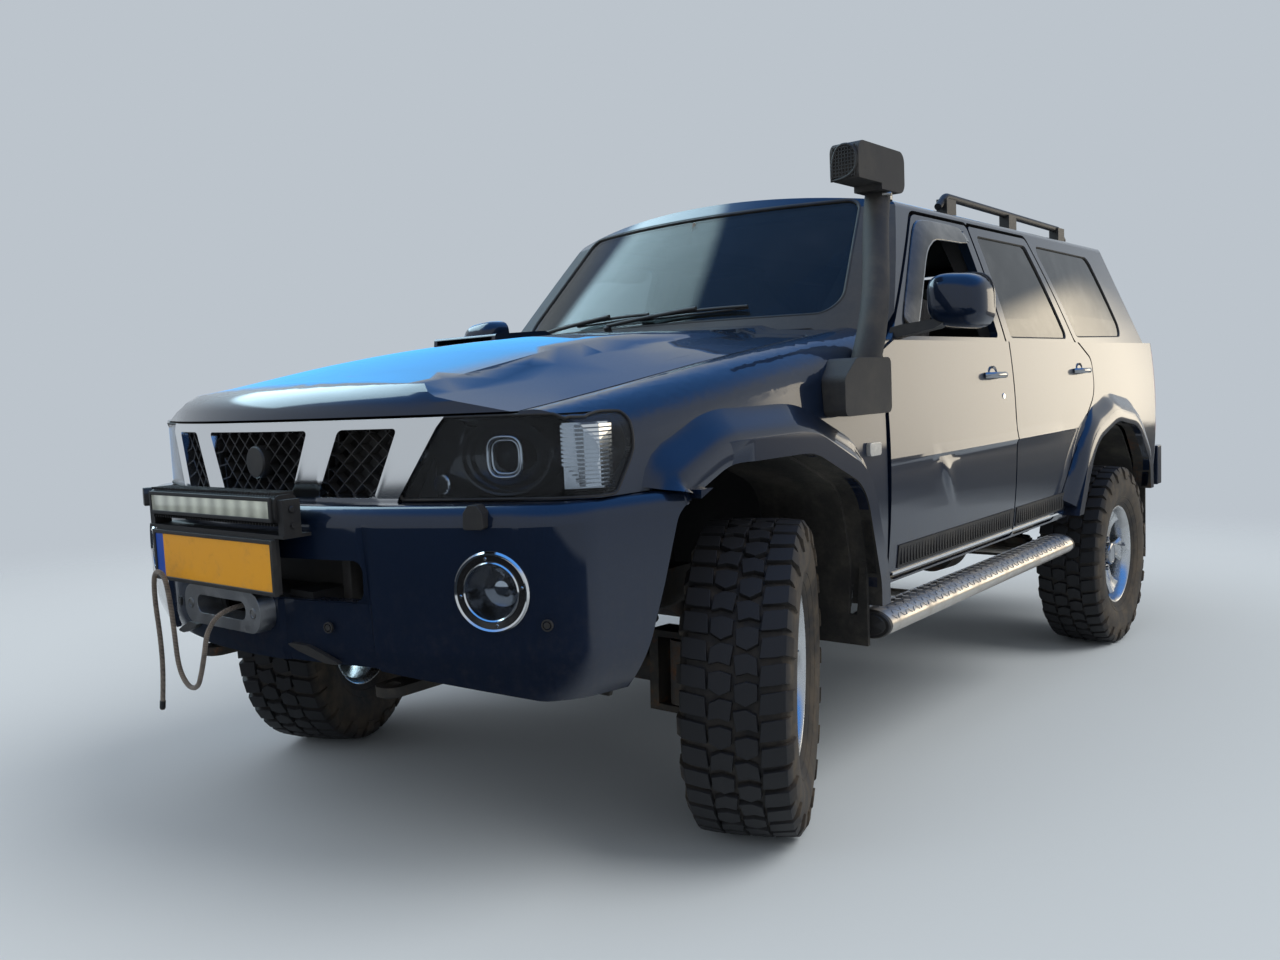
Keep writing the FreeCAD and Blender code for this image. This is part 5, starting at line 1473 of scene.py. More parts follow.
def border(bm: BMesh) -> list[list[Vector]]:
    """Closed borders of an open sheet.

    Args:
        bm: the sheet.

    Returns:
        Each border's points in order.
    """
    links: dict[int, list[BMVert]] = {}
    for edge in bm.edges:
        if edge.is_boundary:
            a, b = edge.verts
            links.setdefault(a.index, []).append(b)
            links.setdefault(b.index, []).append(a)
    bm.verts.ensure_lookup_table()
    loops = []
    seen: set[int] = set()
    for start in list(links):
        if start in seen:
            continue
        loop, here = [], bm.verts[start]
        while here.index not in seen:
            seen.add(here.index)
            loop.append(here.co.copy())
            onward = [v for v in links[here.index] if v.index not in seen]
            if not onward:
                break
            here = onward[0]
        if len(loop) > 3:
            loops.append(loop)
    return loops


def thin_out(points: list[Vector], least: float) -> list[Vector]:
    """Drops points of a closed path that stand closer together than least."""
    kept = [points[0]]
    for point in points[1:]:
        if (point - kept[-1]).length > least:
            kept.append(point)
    if len(kept) > 3 and (kept[-1] - kept[0]).length < least:
        kept.pop()
    return kept


def faces_of(node: str, keep: Callable[[Vector, Vector], bool]) -> BMesh:
    """Part of a CAD node's skin, in the body frame.

    Args:
        node: the CAD node.
        keep: tells whether a face stays, from its middle and normal.

    Returns:
        The faces that stay.
    """
    bm = new_mesh()
    bm.from_mesh(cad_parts[node].data)
    merge(bm, 2e-5)
    bm.transform(BODY.inverted())
    bm.normal_update()
    gone = [f for f in bm.faces if not keep(f.calc_center_median(), f.normal)]
    bmesh.ops.delete(bm, geom=gone, context="FACES")
    bm.verts.index_update()
    bm.normal_update()
    return bm


# ------------------------------------------------------------------ front end
@dataclass
class Grille:
    """Chrome grille with a wide top bar, two slanting bars and a black diamond lattice."""

    shop: Workshop
    rows: Sequence[float] = (0.992, 1.014, 1.168, 1.190)
    feet: Sequence[float] = (0.0, 0.145, 0.236, 0.402, 0.466)
    heads: Sequence[float] = (0.0, 0.215, 0.312, 0.472, 0.566)
    depth: float = 0.030

    def frame_bars(self) -> BMesh:
        """The chrome frame, bent to the fascia's plan."""
        bm = new_mesh()
        low, high = self.rows[1], self.rows[2]
        for sign in (1, -1):
            grid = []
            for z in self.rows:
                share = (z - low) / (high - low)
                line = []
                for i in range(4):
                    steps = (3, 2, 3, 2)[i]
                    for k in range(steps):
                        a = self.feet[i] + (self.heads[i] - self.feet[i]) * share
                        b = self.feet[i + 1] + (self.heads[i + 1] - self.feet[i + 1]) * share
                        line.append((a + (b - a) * k / steps, i))
                line.append((self.feet[4] + (self.heads[4] - self.feet[4]) * share, 4))
                crown = 0.006 if z in (low, high) else 0.0
                grid.append([(bm.verts.new((sign * x, fascia_y(x) - 0.001 - crown, z)), i) for x, i in line])
            for r in range(3):
                for c in range(len(grid[0]) - 1):
                    if r == 1 and grid[r][c][1] in (0, 2):
                        continue
                    quad = [grid[r][c][0], grid[r][c + 1][0], grid[r + 1][c + 1][0], grid[r + 1][c][0]]
                    bm.faces.new(quad if sign > 0 else quad[::-1])
        merge(bm, 1e-5)
        corners = [v for v in bm.verts if v.is_boundary and len(v.link_edges) == 4 and len(v.link_faces) == 3]
        corners = [v for v in corners if self.rows[0] < v.co.z < self.rows[3]]
        bmesh.ops.bevel(bm, geom=corners, offset=0.012, affect="VERTICES", segments=3, profile=0.5,
                        material=-1)
        outward(bm)
        if sum(f.normal.y for f in bm.faces) > 0:
            flip(bm)
        thicken(bm, self.depth)
        return bm

    def lattice(self) -> BMesh:
        """Crossing bars behind the frame."""
        bm = new_mesh()
        low, high = self.rows[1] - 0.008, self.rows[2] + 0.006
        wide, tall = 0.052, 0.045
        run = (high - low) * wide / tall
        count = int((0.98 + run) / wide) + 1
        for lean in (1, -1):
            for i in range(count):
                x0 = -0.49 - run / 2 + i * wide + (run / 2 if lean < 0 else -run / 2) + 0.001
                points = [(x0 + lean * run * t, low + (high - low) * t) for t in (0.0, 0.25, 0.5, 0.75, 1.0)]
                edge = [0.472 + (0.538 - 0.472) * (z - low) / (high - low) for _, z in points]
                points = [p for p, e in zip(points, edge) if abs(p[0]) < e]
                if len(points) < 2:
                    continue
                rings = []
                for x, z in points:
                    y = fascia_y(x)
                    rings.append([bm.verts.new((x - 0.0022, y + 0.014, z)),
                                  bm.verts.new((x + 0.0022, y + 0.014, z)),
                                  bm.verts.new((x + 0.0022, y + 0.036, z)),
                                  bm.verts.new((x - 0.0022, y + 0.036, z))])
                for a, b in zip(rings, rings[1:]):
                    for k in range(4):
                        bm.faces.new((a[k], a[(k + 1) % 4], b[(k + 1) % 4], b[k]))
                bm.faces.new(rings[0][::-1])
                bm.faces.new(rings[-1])
        outward(bm)
        return bm

    def build(self) -> None:
        """Makes frame, lattice, shroud and the empty badge seat."""
        self.shop.piece("grille_frame", self.frame_bars(), CHROME, "car", stands_for=["grille"], sharp=40.0,
                        bevel=0.0035)
        self.shop.piece("grille_lattice", self.lattice(), TRIM, "car", sharp=40.0)
        shroud = new_mesh()
        ring = [(x, fascia_y(x) + 0.062) for x in (-0.50, -0.35, -0.18, 0.0, 0.18, 0.35, 0.50)]
        plan = ring + [(x, y + 0.004) for x, y in ring[::-1]]
        slab(shroud, [(x, y, 1.000) for x, y in plan], (0, 0, 0.182))
        rod(shroud, (0, fascia_y(0) - 0.002, 1.094), (0, fascia_y(0) + 0.040, 1.094), 0.040, 40, 0.004)
        self.shop.piece("grille_shroud", shroud, TRIM, "car", sharp=40.0, bevel=0.001)


@dataclass
class Headlamps:
    """Wrap-round headlamps: black tray, big dark bowl, chrome-ringed projector, ribbed reflector."""

    shop: Workshop
    bowl: tuple[float, float] = (0.694, 1.098)

    def outer(self, side: Side) -> Callable[[Vector, Vector], bool]:
        """Tells the lens's faces from the tray's on one side."""
        sign = side.value
        return lambda c, n: c.x * sign > 0 and (n.y < -0.25 or n.x * sign > 0.55) and abs(n.z) < 0.75

    def seat(self, behind: float) -> Matrix:
        """Where a part of the bowl sits, that far behind the fascia."""
        x, z = self.bowl
        return Matrix.Translation((x, fascia_y(x) + behind, z)) @ Matrix.Rotation(math.radians(20), 4, "Z")

    def insides(self) -> BMesh:
        """Dark bowl with its stepped rings, on the left."""
        bm = new_mesh()
        lathe(bm, [(1.0, 0.012), (0.985, 0.004), (0.93, 0.006), (0.90, 0.022), (0.84, 0.026), (0.80, 0.040),
                   (0.55, 0.058), (0.46, 0.060), (0.46, 0.066), (1.02, 0.066), (1.0, 0.012)], axis=(0, 1, 0),
              steps=56)
        bm.transform(Matrix.Diagonal((0.112, 1.0, 0.0845, 1.0)))
        bm.transform(self.seat(0.016))
        outward(bm)
        return bm

    def projector(self) -> BMesh:
        """Two squared chrome rings round the projector."""
        bm = new_mesh()
        place = self.seat(0.020)
        for half, tall, deep, width in ((0.040, 0.044, 0.0, 0.0045), (0.032, 0.036, 0.006, 0.0035)):
            ring = new_mesh()
            points = [(a, deep, b) for a, b in squircle(half, tall, 3.2, 48)]
            curve_tube(ring, points, width, 10, closed=True)
            absorb(bm, ring, place)
        return bm

    def ribs(self) -> BMesh:
        """Bright ribbed reflectors outboard and the small round lamp inboard."""
        bm = new_mesh()
        for i in range(15):
            z = 1.030 + i * 0.009
            left = 0.806 if z > 1.075 else 0.842 - (z - 1.03) * 0.8
            part = new_mesh()
            corners = [(left, fascia_y(left) + 0.034), (0.856, -2.062), (0.872, -2.030), (0.868, -1.985),
                       (0.846, -2.02), (left, fascia_y(left) + 0.050)]
            slab(part, [(a, b, z) for a, b in corners], (0, 0, 0.0058))
            absorb(bm, part)
        back = new_mesh()
        slab(back, [(0.800, -2.068, 1.024), (0.862, -2.010, 1.024), (0.862, -1.990, 1.024),
                    (0.800, -2.045, 1.024)], (0, 0, 0.142))
        absorb(bm, back)
        x, z = 0.547, 1.040
        for i in range(9):
            offset = (i - 4) * 0.0046
            tall = math.sqrt(max(0.021 ** 2 - offset ** 2, 0.00002))
            part = new_mesh()
            block(part, (x + offset - 0.0014, fascia_y(x) + 0.018, z - tall),
                  (x + offset + 0.0014, fascia_y(x) + 0.026, z + tall))
            absorb(bm, part)
        rod(bm, (x, fascia_y(x) + 0.024, z), (x, fascia_y(x) + 0.05, z), 0.024, 28, 0.002)
        return bm

    def build(self) -> None:
        """Makes both headlamps."""
        shop = self.shop
        for side in Side:
            outer = self.outer(side)
            lens = faces_of("headlamps", outer)
            rubber = new_mesh()
            for loop in border(lens):
                curve_tube(rubber, thin_out(loop, 0.004), 0.0034, 6, closed=True)
            lens.normal_update()
            thicken(lens, 0.003)
            shop.piece(f"lamp_lens_{side.word}", lens, LENS, "car", stands_for=["headlamps"], sharp=35.0)
            shop.piece(f"lamp_rubber_{side.word}", rubber, RUBBER, "car", sharp=60.0)
            tray = faces_of("headlamps", lambda c, n: c.x * side.value > 0 and not outer(c, n))
            flip(tray)
            shop.piece(f"lamp_tray_{side.word}", tray, GLOSS_BLACK, "car", sharp=35.0)
        shop.both_sides("lamp_bowl", self.insides, GLOSS_BLACK, sharp=30.0)
        shop.both_sides("lamp_projector_ring", self.projector, CHROME, sharp=60.0)
        shop.both_sides("lamp_reflectors", self.ribs, CHROME, sharp=30.0)
        shop.both_sides("lamp_projector_lens", self.eye, LENS, sharp=60.0)

    def eye(self) -> BMesh:
        """The projector's thick lens."""
        bm = new_mesh()
        lathe(bm, [(0.0, -0.010), (0.012, -0.008), (0.022, -0.001), (0.028, 0.010), (0.028, 0.016),
                   (0.0, 0.016)], axis=(0, 1, 0), steps=36)
        bm.transform(self.seat(0.030))
        return bm


@dataclass
class BumperFittings:
    """Fog lamps, sensors, washer covers and slots on the front bumper."""

    shop: Workshop
    fog: tuple[float, float] = (0.722, 0.821)

    def fog_rings(self) -> BMesh:
        """Bright outer and inner rings with four screws."""
        bm = new_mesh()
        place = on_bumper(*self.fog)
        for profile in ([(0.079, -0.004), (0.0865, -0.004), (0.087, 0.002), (0.083, 0.0065), (0.079, 0.004),
                         (0.079, -0.004)], [(0.0595, -0.010), (0.0645, -0.010), (0.0645, 0.004),
                                            (0.062, 0.0065), (0.0595, 0.004), (0.0595, -0.010)]):
            part = new_mesh()
            lathe(part, profile, steps=56)
            absorb(bm, part, place)
        for i in range(4):
            a = math.radians(8 + 90 * i)
            part = new_mesh()
            rod(part, (0.0715 * math.cos(a), 0.0715 * math.sin(a), -0.002),
                (0.0715 * math.cos(a), 0.0715 * math.sin(a), 0.004), 0.0036, 12, 0.001)
            absorb(bm, part, place)
        bulb = new_mesh()
        lathe(bulb, [(0.0, -0.052), (0.020, -0.052), (0.022, -0.036), (0.016, -0.024), (0.0, -0.020)],
              (0.012, 0.004, 0), (0, 0, 1), 28)
        absorb(bm, bulb, place)
        return bm

    def fog_bowl(self) -> BMesh:
        """The reflector bowl behind the glass."""
        bm = new_mesh()
        lathe(bm, [(0.0605, -0.006), (0.056, -0.030), (0.042, -0.054), (0.022, -0.064), (0.0, -0.066),
                   (0.0, -0.070), (0.060, -0.062), (0.0625, -0.006), (0.0605, -0.006)], steps=48)
        bm.transform(on_bumper(*self.fog))
        outward(bm)
        return bm

    def fog_band(self) -> BMesh:
        """Dark band between the rings."""
        bm = new_mesh()
        lathe(bm, [(0.0635, -0.012), (0.0805, -0.004), (0.0805, 0.003), (0.0635, 0.0015), (0.0635, -0.012)],
              steps=56)
        bm.transform(on_bumper(*self.fog))
        return bm

    def fog_glass(self) -> BMesh:
        """Its clear glass."""
        bm = new_mesh()
        lathe(bm, [(0.0, 0.006), (0.030, 0.004), (0.060, -0.002), (0.060, -0.005), (0.030, 0.001),
                   (0.0, 0.003)], steps=48)
        bm.transform(on_bumper(*self.fog))
        return bm

    def washer(self) -> BMesh:
        """Cap of the lamp washer."""
        bm = new_mesh()
        polygon_points = [(-0.024, -0.026), (0.024, -0.026), (0.022, 0.010), (0.010, 0.026), (-0.010, 0.026),
                          (-0.022, 0.010)]
        slab(bm, [(a, b, -0.012) for a, b in polygon_points], (0, 0, 0.034), rounds=[0.006] * 6, segments=3)
        bm.transform(on_bumper(0.700, 0.981))
        return bm

    def build(self) -> None:
        """Makes every fitting."""
        shop = self.shop
        shop.both_sides("fog_rings", self.fog_rings, CHROME, stands_for=["fog_lamps"], sharp=30.0)
        shop.both_sides("fog_bowl", self.fog_bowl, DARK_CHROME, sharp=30.0)
        shop.both_sides("fog_band", self.fog_band, GLOSS_BLACK, sharp=30.0)
        shop.both_sides("fog_glass", self.fog_glass, LENS, sharp=30.0)
        shop.both_sides("washer_cover", self.washer, TRIM, sharp=30.0, bevel=0.003)
        sensors = new_mesh()
        for x, z in ((0.835, 0.753), (0.329, 0.730), (-0.329, 0.730), (-0.835, 0.753)):
            for profile in ([(0.0, -0.004), (0.0072, -0.004), (0.0072, 0.0018), (0.0, 0.0018)],
                            [(0.0096, -0.004), (0.0128, -0.004), (0.0128, 0.0016), (0.0096, 0.0016),
                             (0.0096, -0.004)]):
                part = new_mesh()
                lathe(part, profile, steps=24)
                absorb(sensors, part, on_bumper(x, z))
        shop.piece("park_sensors", sensors, TRIM, "car", sharp=30.0, bevel=0.0004)
        slots = new_mesh()
        for sign in (1, -1):
            part = new_mesh()
            outline = [(-0.095, 0.020), (-0.02, 0.016), (0.085, -0.022), (0.03, -0.020), (-0.05, 0.002)]
            outline = [(sign * a, b) for a, b in outline]
            slab(part, [(a, b, -0.012) for a, b in outline], (0, 0, 0.0135), rounds=[0.004] * 5, segments=2)
            outward(part)
            absorb(slots, part, on_bumper(sign * 0.285, 0.668))
        post = new_mesh()
        for sign in (1, -1):
            block(post, (sign * 0.325 - 0.016, -2.30, 0.775), (sign * 0.325 + 0.016, -2.255, 0.905), 0.004)
        block(post, (-0.46, -2.262, 0.770), (0.46, -2.255, 0.910), 0.0)
        shop.piece("bumper_slots", slots, TRIM, "car", sharp=30.0)
        shop.piece("bumper_posts", post, TRIM, "car", sharp=30.0)


@dataclass
class RecoveryGear:
    """Light bar, plate and fairlead at the bumper's middle."""

    shop: Workshop
    half: float = 0.272

    def rim_of(self, half: float, low: float, high: float, width: float, depths: Point) -> BMesh:
        """An oblong frame round a flat piece.

        Args:
            half: half its outer width.
            low: its lower edge.
            high: its upper edge.
            width: breadth of its rim.
            depths: y of its back outside, its face and its back inside.

        Returns:
            The frame.
        """
        bm = new_mesh()
        rings = []
        for y, inset in zip((depths[0], depths[1], depths[1], depths[2]), (0.0, 0.0, width, width)):
            a, z0, z1 = half - inset, low + inset, high - inset
            rings.append(ring_of(bm, [(-a, y, z0), (a, y, z0), (a, y, z1), (-a, y, z1)]))
        join_rings(bm, rings)
        outward(bm)
        return bm

    def build(self) -> None:
        """Makes the bar's lens and fins, the plate and its holder, and the fairlead's bolts."""
        shop = self.shop
        shop.skin("light_bar", ROUGH_BLACK, "car", bevel=0.002)
        fins = new_mesh()
        for i in range(46):
            x = -0.270 + i * 0.012
            for z0, z1 in ((1.0335, 1.0395), (0.9655, 0.9710)):
                block(fins, (x - 0.0014, -2.440, z0), (x + 0.0014, -2.386, z1))
        for sign in (1, -1):
            lathe(fins, [(0.0, 0.0), (0.008, 0.0), (0.008, 0.004), (0.006, 0.006), (0.0, 0.006)],
                  (sign * 0.300, -2.412, 1.002), (sign, 0, 0), 18)
            lathe(fins, [(0.0, 0.0), (0.006, 0.0), (0.006, 0.005), (0.0, 0.005)],
                  (sign * 0.300, -2.412, 0.966), (sign, 0, 0), 6)
        shop.piece("light_bar_fins", fins, ROUGH_BLACK, "car", sharp=30.0)
        bezel = self.rim_of(self.half, 0.974, 1.030, 0.009, (-2.442, -2.4475, -2.442))
        shop.piece("light_bar_bezel", bezel, ROUGH_BLACK, "car", sharp=30.0, bevel=0.0012)
        lens = new_mesh()
        block(lens, (-self.half + 0.008, -2.4455, 0.982), (self.half - 0.008, -2.4405, 1.022), 0.001)
        shop.piece("light_bar_lens", lens, EMITTERS, "car", sharp=30.0)
        shop.dress("number_plate", PLATE)
        holder = self.rim_of(0.268, 0.809, 0.935, 0.0095, (-2.4365, -2.4480, -2.4448))
        shop.piece("plate_holder", holder, TRIM, "car", sharp=30.0, bevel=0.0012)
        shop.skin("fairlead", CAST, "car", bevel=0.007)
        bolts = new_mesh()
        for sign in (1, -1):
            x = sign * 0.139
            lathe(bolts, [(0.0, 0.0), (0.0125, 0.0), (0.0125, 0.0018), (0.010, 0.0022), (0.0095, -0.001),
                          (0.0, -0.001)], (x, -2.4285, 0.756), (0, -1, 0), 24)
            lathe(bolts, [(0.0, -0.002), (0.0075, -0.002), (0.0075, 0.0012), (0.0, 0.0016)],
                  (x, -2.4285, 0.756), (0, -1, 0), 6)
        shop.piece("fairlead_bolts", bolts, STEEL, "car", sharp=30.0)


# ------------------------------------------------------------------ painted panels
@dataclass
class BodySkin:
    """Finishes of the big panels."""

    shop: Workshop

    def inside_or_out(self, centre: Vector, normal: Vector) -> int:
        """Material of a shell face: 0 paint, 1 cabin lining, 2 underbody.

        Args:
            centre: the face's middle in the body frame.
            normal: its direction.

        Returns:
            The material's index.
        """
        if centre.z < 0.66 and normal.z < -0.5:
            return 2
        wheel_y, wheel_z = REAR_WHEEL[0] - centre.y, REAR_WHEEL[1] - centre.z
        in_arch = normal.y * wheel_y + normal.z * wheel_z > 0 and math.hypot(wheel_y, wheel_z) < 0.74
        if in_arch and abs(normal.x) < 0.45 and abs(centre.x) > 0.50:
            return 2
        limit = flank_x(centre.z) - 0.018 if centre.z < WAIST_Z else glass_x(centre.z) - 0.016
        within = abs(centre.x) < limit
        deep = -0.93 < centre.y < 2.40 and 0.62 < centre.z < 1.872
        if within and deep and (normal.x * centre.x < 0.02 or abs(normal.z) > 0.5 or abs(normal.y) > 0.7):
            return 1
        return 0

    def door_side(self, centre: Vector, normal: Vector) -> int:
        """Material of a door face: 0 paint, 1 trim on its cabin side."""
        limit = flank_x(centre.z) - 0.05 if centre.z < WAIST_Z else glass_x(centre.z) - 0.024
        return 1 if abs(centre.x) < limit and centre.y < 2.20 else 0

    def tail_side(self, centre: Vector, normal: Vector) -> int:
        """Material of a back-door face: 0 paint, 1 trim on its cabin side."""
        return 1 if normal.y < -0.5 and centre.y < 2.41 else 0

    def arch_side(self, centre: Vector, normal: Vector) -> int:
        """Material of a wing face: 0 paint, 1 dark where it looks into the wheel arch or the bay."""
        if abs(normal.x) > 0.45 and normal.x * centre.x > 0:
            return 0
        wheel_y, wheel_z = FRONT_WHEEL[0] - centre.y, FRONT_WHEEL[1] - centre.z
        inward = normal.y * wheel_y + normal.z * wheel_z
        near = math.hypot(wheel_y, wheel_z) < 0.72 and centre.z < 1.07
        return 1 if (near and inward > 0) or normal.z < -0.5 or (normal.x * centre.x < 0
                                                                 and abs(normal.x) > 0.5) else 0

    def door_press(self, p: Vector, side: Side) -> Vector:
        """The pressed line along the doors' skin, and the dent in the left front door.

        Args:
            p: a point of the door.
            side: its side.

        Returns:
            Where the point goes.
        """
        if abs(p.x) < flank_x(p.z) - 0.030 or p.z > 1.2:
            return p
        reach = max(0.0, 1.0 - abs((p.y - 0.10) / 0.80) ** 6)
        above = (p.z - 0.982) / 0.030
        crease = 0.0065 * reach * math.exp(-above * above) * (1.0 if above > 0 else 1.35)
        out = crease * (1.0 if above > -0.2 else 0.4)
        if side is Side.LEFT:
            along = (p.z - 0.896) / 0.062
            across = (p.y + 0.350 + 0.62 * (p.z - 0.896)) / (0.040 if p.y + 0.350 + 0.62 * (p.z - 0.896) > 0
                                                             else 0.020)
            out -= 0.0065 * math.exp(-along * along - across * across)
            out -= 0.0030 * math.exp(-((p.z - 0.93) / 0.05) ** 2 - ((p.y + 0.33) / 0.12) ** 2)
        return p + Vector((math.copysign(out, p.x), 0.0, 0.0))

    def bumper_swell(self, p: Vector) -> Vector:
        """Rounds the bumper's shelf, turns its lower edge under and sets its middle back below the opening.

        Args:
            p: a point of the bumper.

        Returns:
            Where the point goes.
        """
        up = min(max((p.z - 0.950) / 0.055, 0.0), 1.0)
        down = min(max((0.700 - p.z) / 0.125, 0.0), 1.0)
        back = 0.036 * (1.0 - math.sqrt(1.0 - min(up * up, 0.999))) + 0.050 * down * down
        if 0.181 < abs(p.x) < 0.443 and p.z < 0.7865:
            back += 0.010
        side = min(max((abs(p.x) - 0.76) / 0.16, 0.0), 1.0)
        way = Vector((-math.copysign(side, p.x), 1.0 - side * 0.7, 0.0)).normalized()
        return p + way * back

    def build(self) -> None:
        """Dresses every panel, glass and chassis node."""
        shop = self.shop
        for node in ("body_shell", "quarter_panels"):
            shop.skin(node, [PAINT, CABIN, CHASSIS], "car", sort=self.inside_or_out, bevel=0.003)
        shop.skin("roof", [PAINT, CABIN_PALE], "car", sort=lambda c,
                  n: 1 if n.z < -0.4 and c.z < 1.865 else 0, bevel=0.003)
        for side in Side:
            for place in (f"front_{side.word}", f"rear_{side.word}"):
                cuts = [(2, 0.80 + 0.011 * i) for i in range(20)]
                if place == "front_left":
                    cuts += [(1, -0.47 + 0.0125 * i) for i in range(20)]
                else:
                    cuts += [(1, y) for y in (-0.68, -0.64, -0.58, -0.50, -0.40, 0.50, 0.62, 0.72, 0.80,
                                              0.86)]
                shop.skin(f"door_{place}", [PAINT, CABIN], f"door_{place}", sort=self.door_side, bevel=0.003,
                          cuts=cuts, shape=lambda p, s=side: self.door_press(p, s))
        for leaf in ("wide", "narrow"):
            shop.skin(f"back_door_{leaf}", [PAINT, CABIN], f"back_door_{leaf}", sort=self.tail_side,
                      bevel=0.003)
            shop.skin(f"back_glass_{leaf}", SIDE_GLASS, f"back_door_{leaf}", bevel=0.0)
        shop.skin("front_wings", [PAINT, LINER], "car", sort=self.arch_side, bevel=0.003)
        shop.skin("cowl_panel", PAINT, "car", bevel=0.003)
        cuts = [(2, z) for z in (0.586, 0.600, 0.615, 0.632, 0.650, 0.668, 0.690, 0.786, 0.956, 0.966, 0.975,
                                 0.983, 0.990, 0.996, 1.000)]
        cuts += [(0, s * x) for s in (-1, 1) for x in (0.176, 0.186, 0.436, 0.450)]
        shop.skin("front_bumper", PAINT, "car", bevel=0.004, cuts=cuts, shape=self.bumper_swell)
        shop.skin("bonnet", PAINT, "bonnet", bevel=0.0035)
        shop.skin("rear_bumper", PAINT, "car", bevel=0.006)
        shop.skin("windscreen", SCREEN_GLASS, "car", bevel=0.0)
        shop.skin("quarter_glass", SIDE_GLASS, "car", bevel=0.0)
        for side in Side:
            shop.skin(f"door_glass_rear_{side.word}", SIDE_GLASS, f"door_rear_{side.word}", bevel=0.0)
        shop.skin("arch_liners", LINER, "car", bevel=0.0015)
        shop.skin("snorkel", ROUGH_TRIM, "car", bevel=0.016, sharp=24.0)
        shop.skin("roof_rails", TRIM, "car", bevel=0.003)
        for node in ("ladder_frame", "gearbox_transfer", "fuel_tank"):
            shop.skin(node, CHASSIS, "car", bevel=0.003)
        shop.skin("engine_block", IRON, "car", bevel=0.008)
        shop.skin("radiator_pack", IRON, "car", bevel=0.004)
        shop.skin("winch", ROUGH_BLACK, "car", bevel=0.002)
        shop.skin("axles", CHASSIS, "car", bevel=0.004)
        shop.skin("tie_rod", CHASSIS, "tie_rod", bevel=0.002)
        for side in Side:
            shop.skin(f"knuckle_{side.word}", IRON, f"knuckle_{side.word}", bevel=0.003)
        shop.skin("dashboard", CABIN, "car", bevel=0.008)


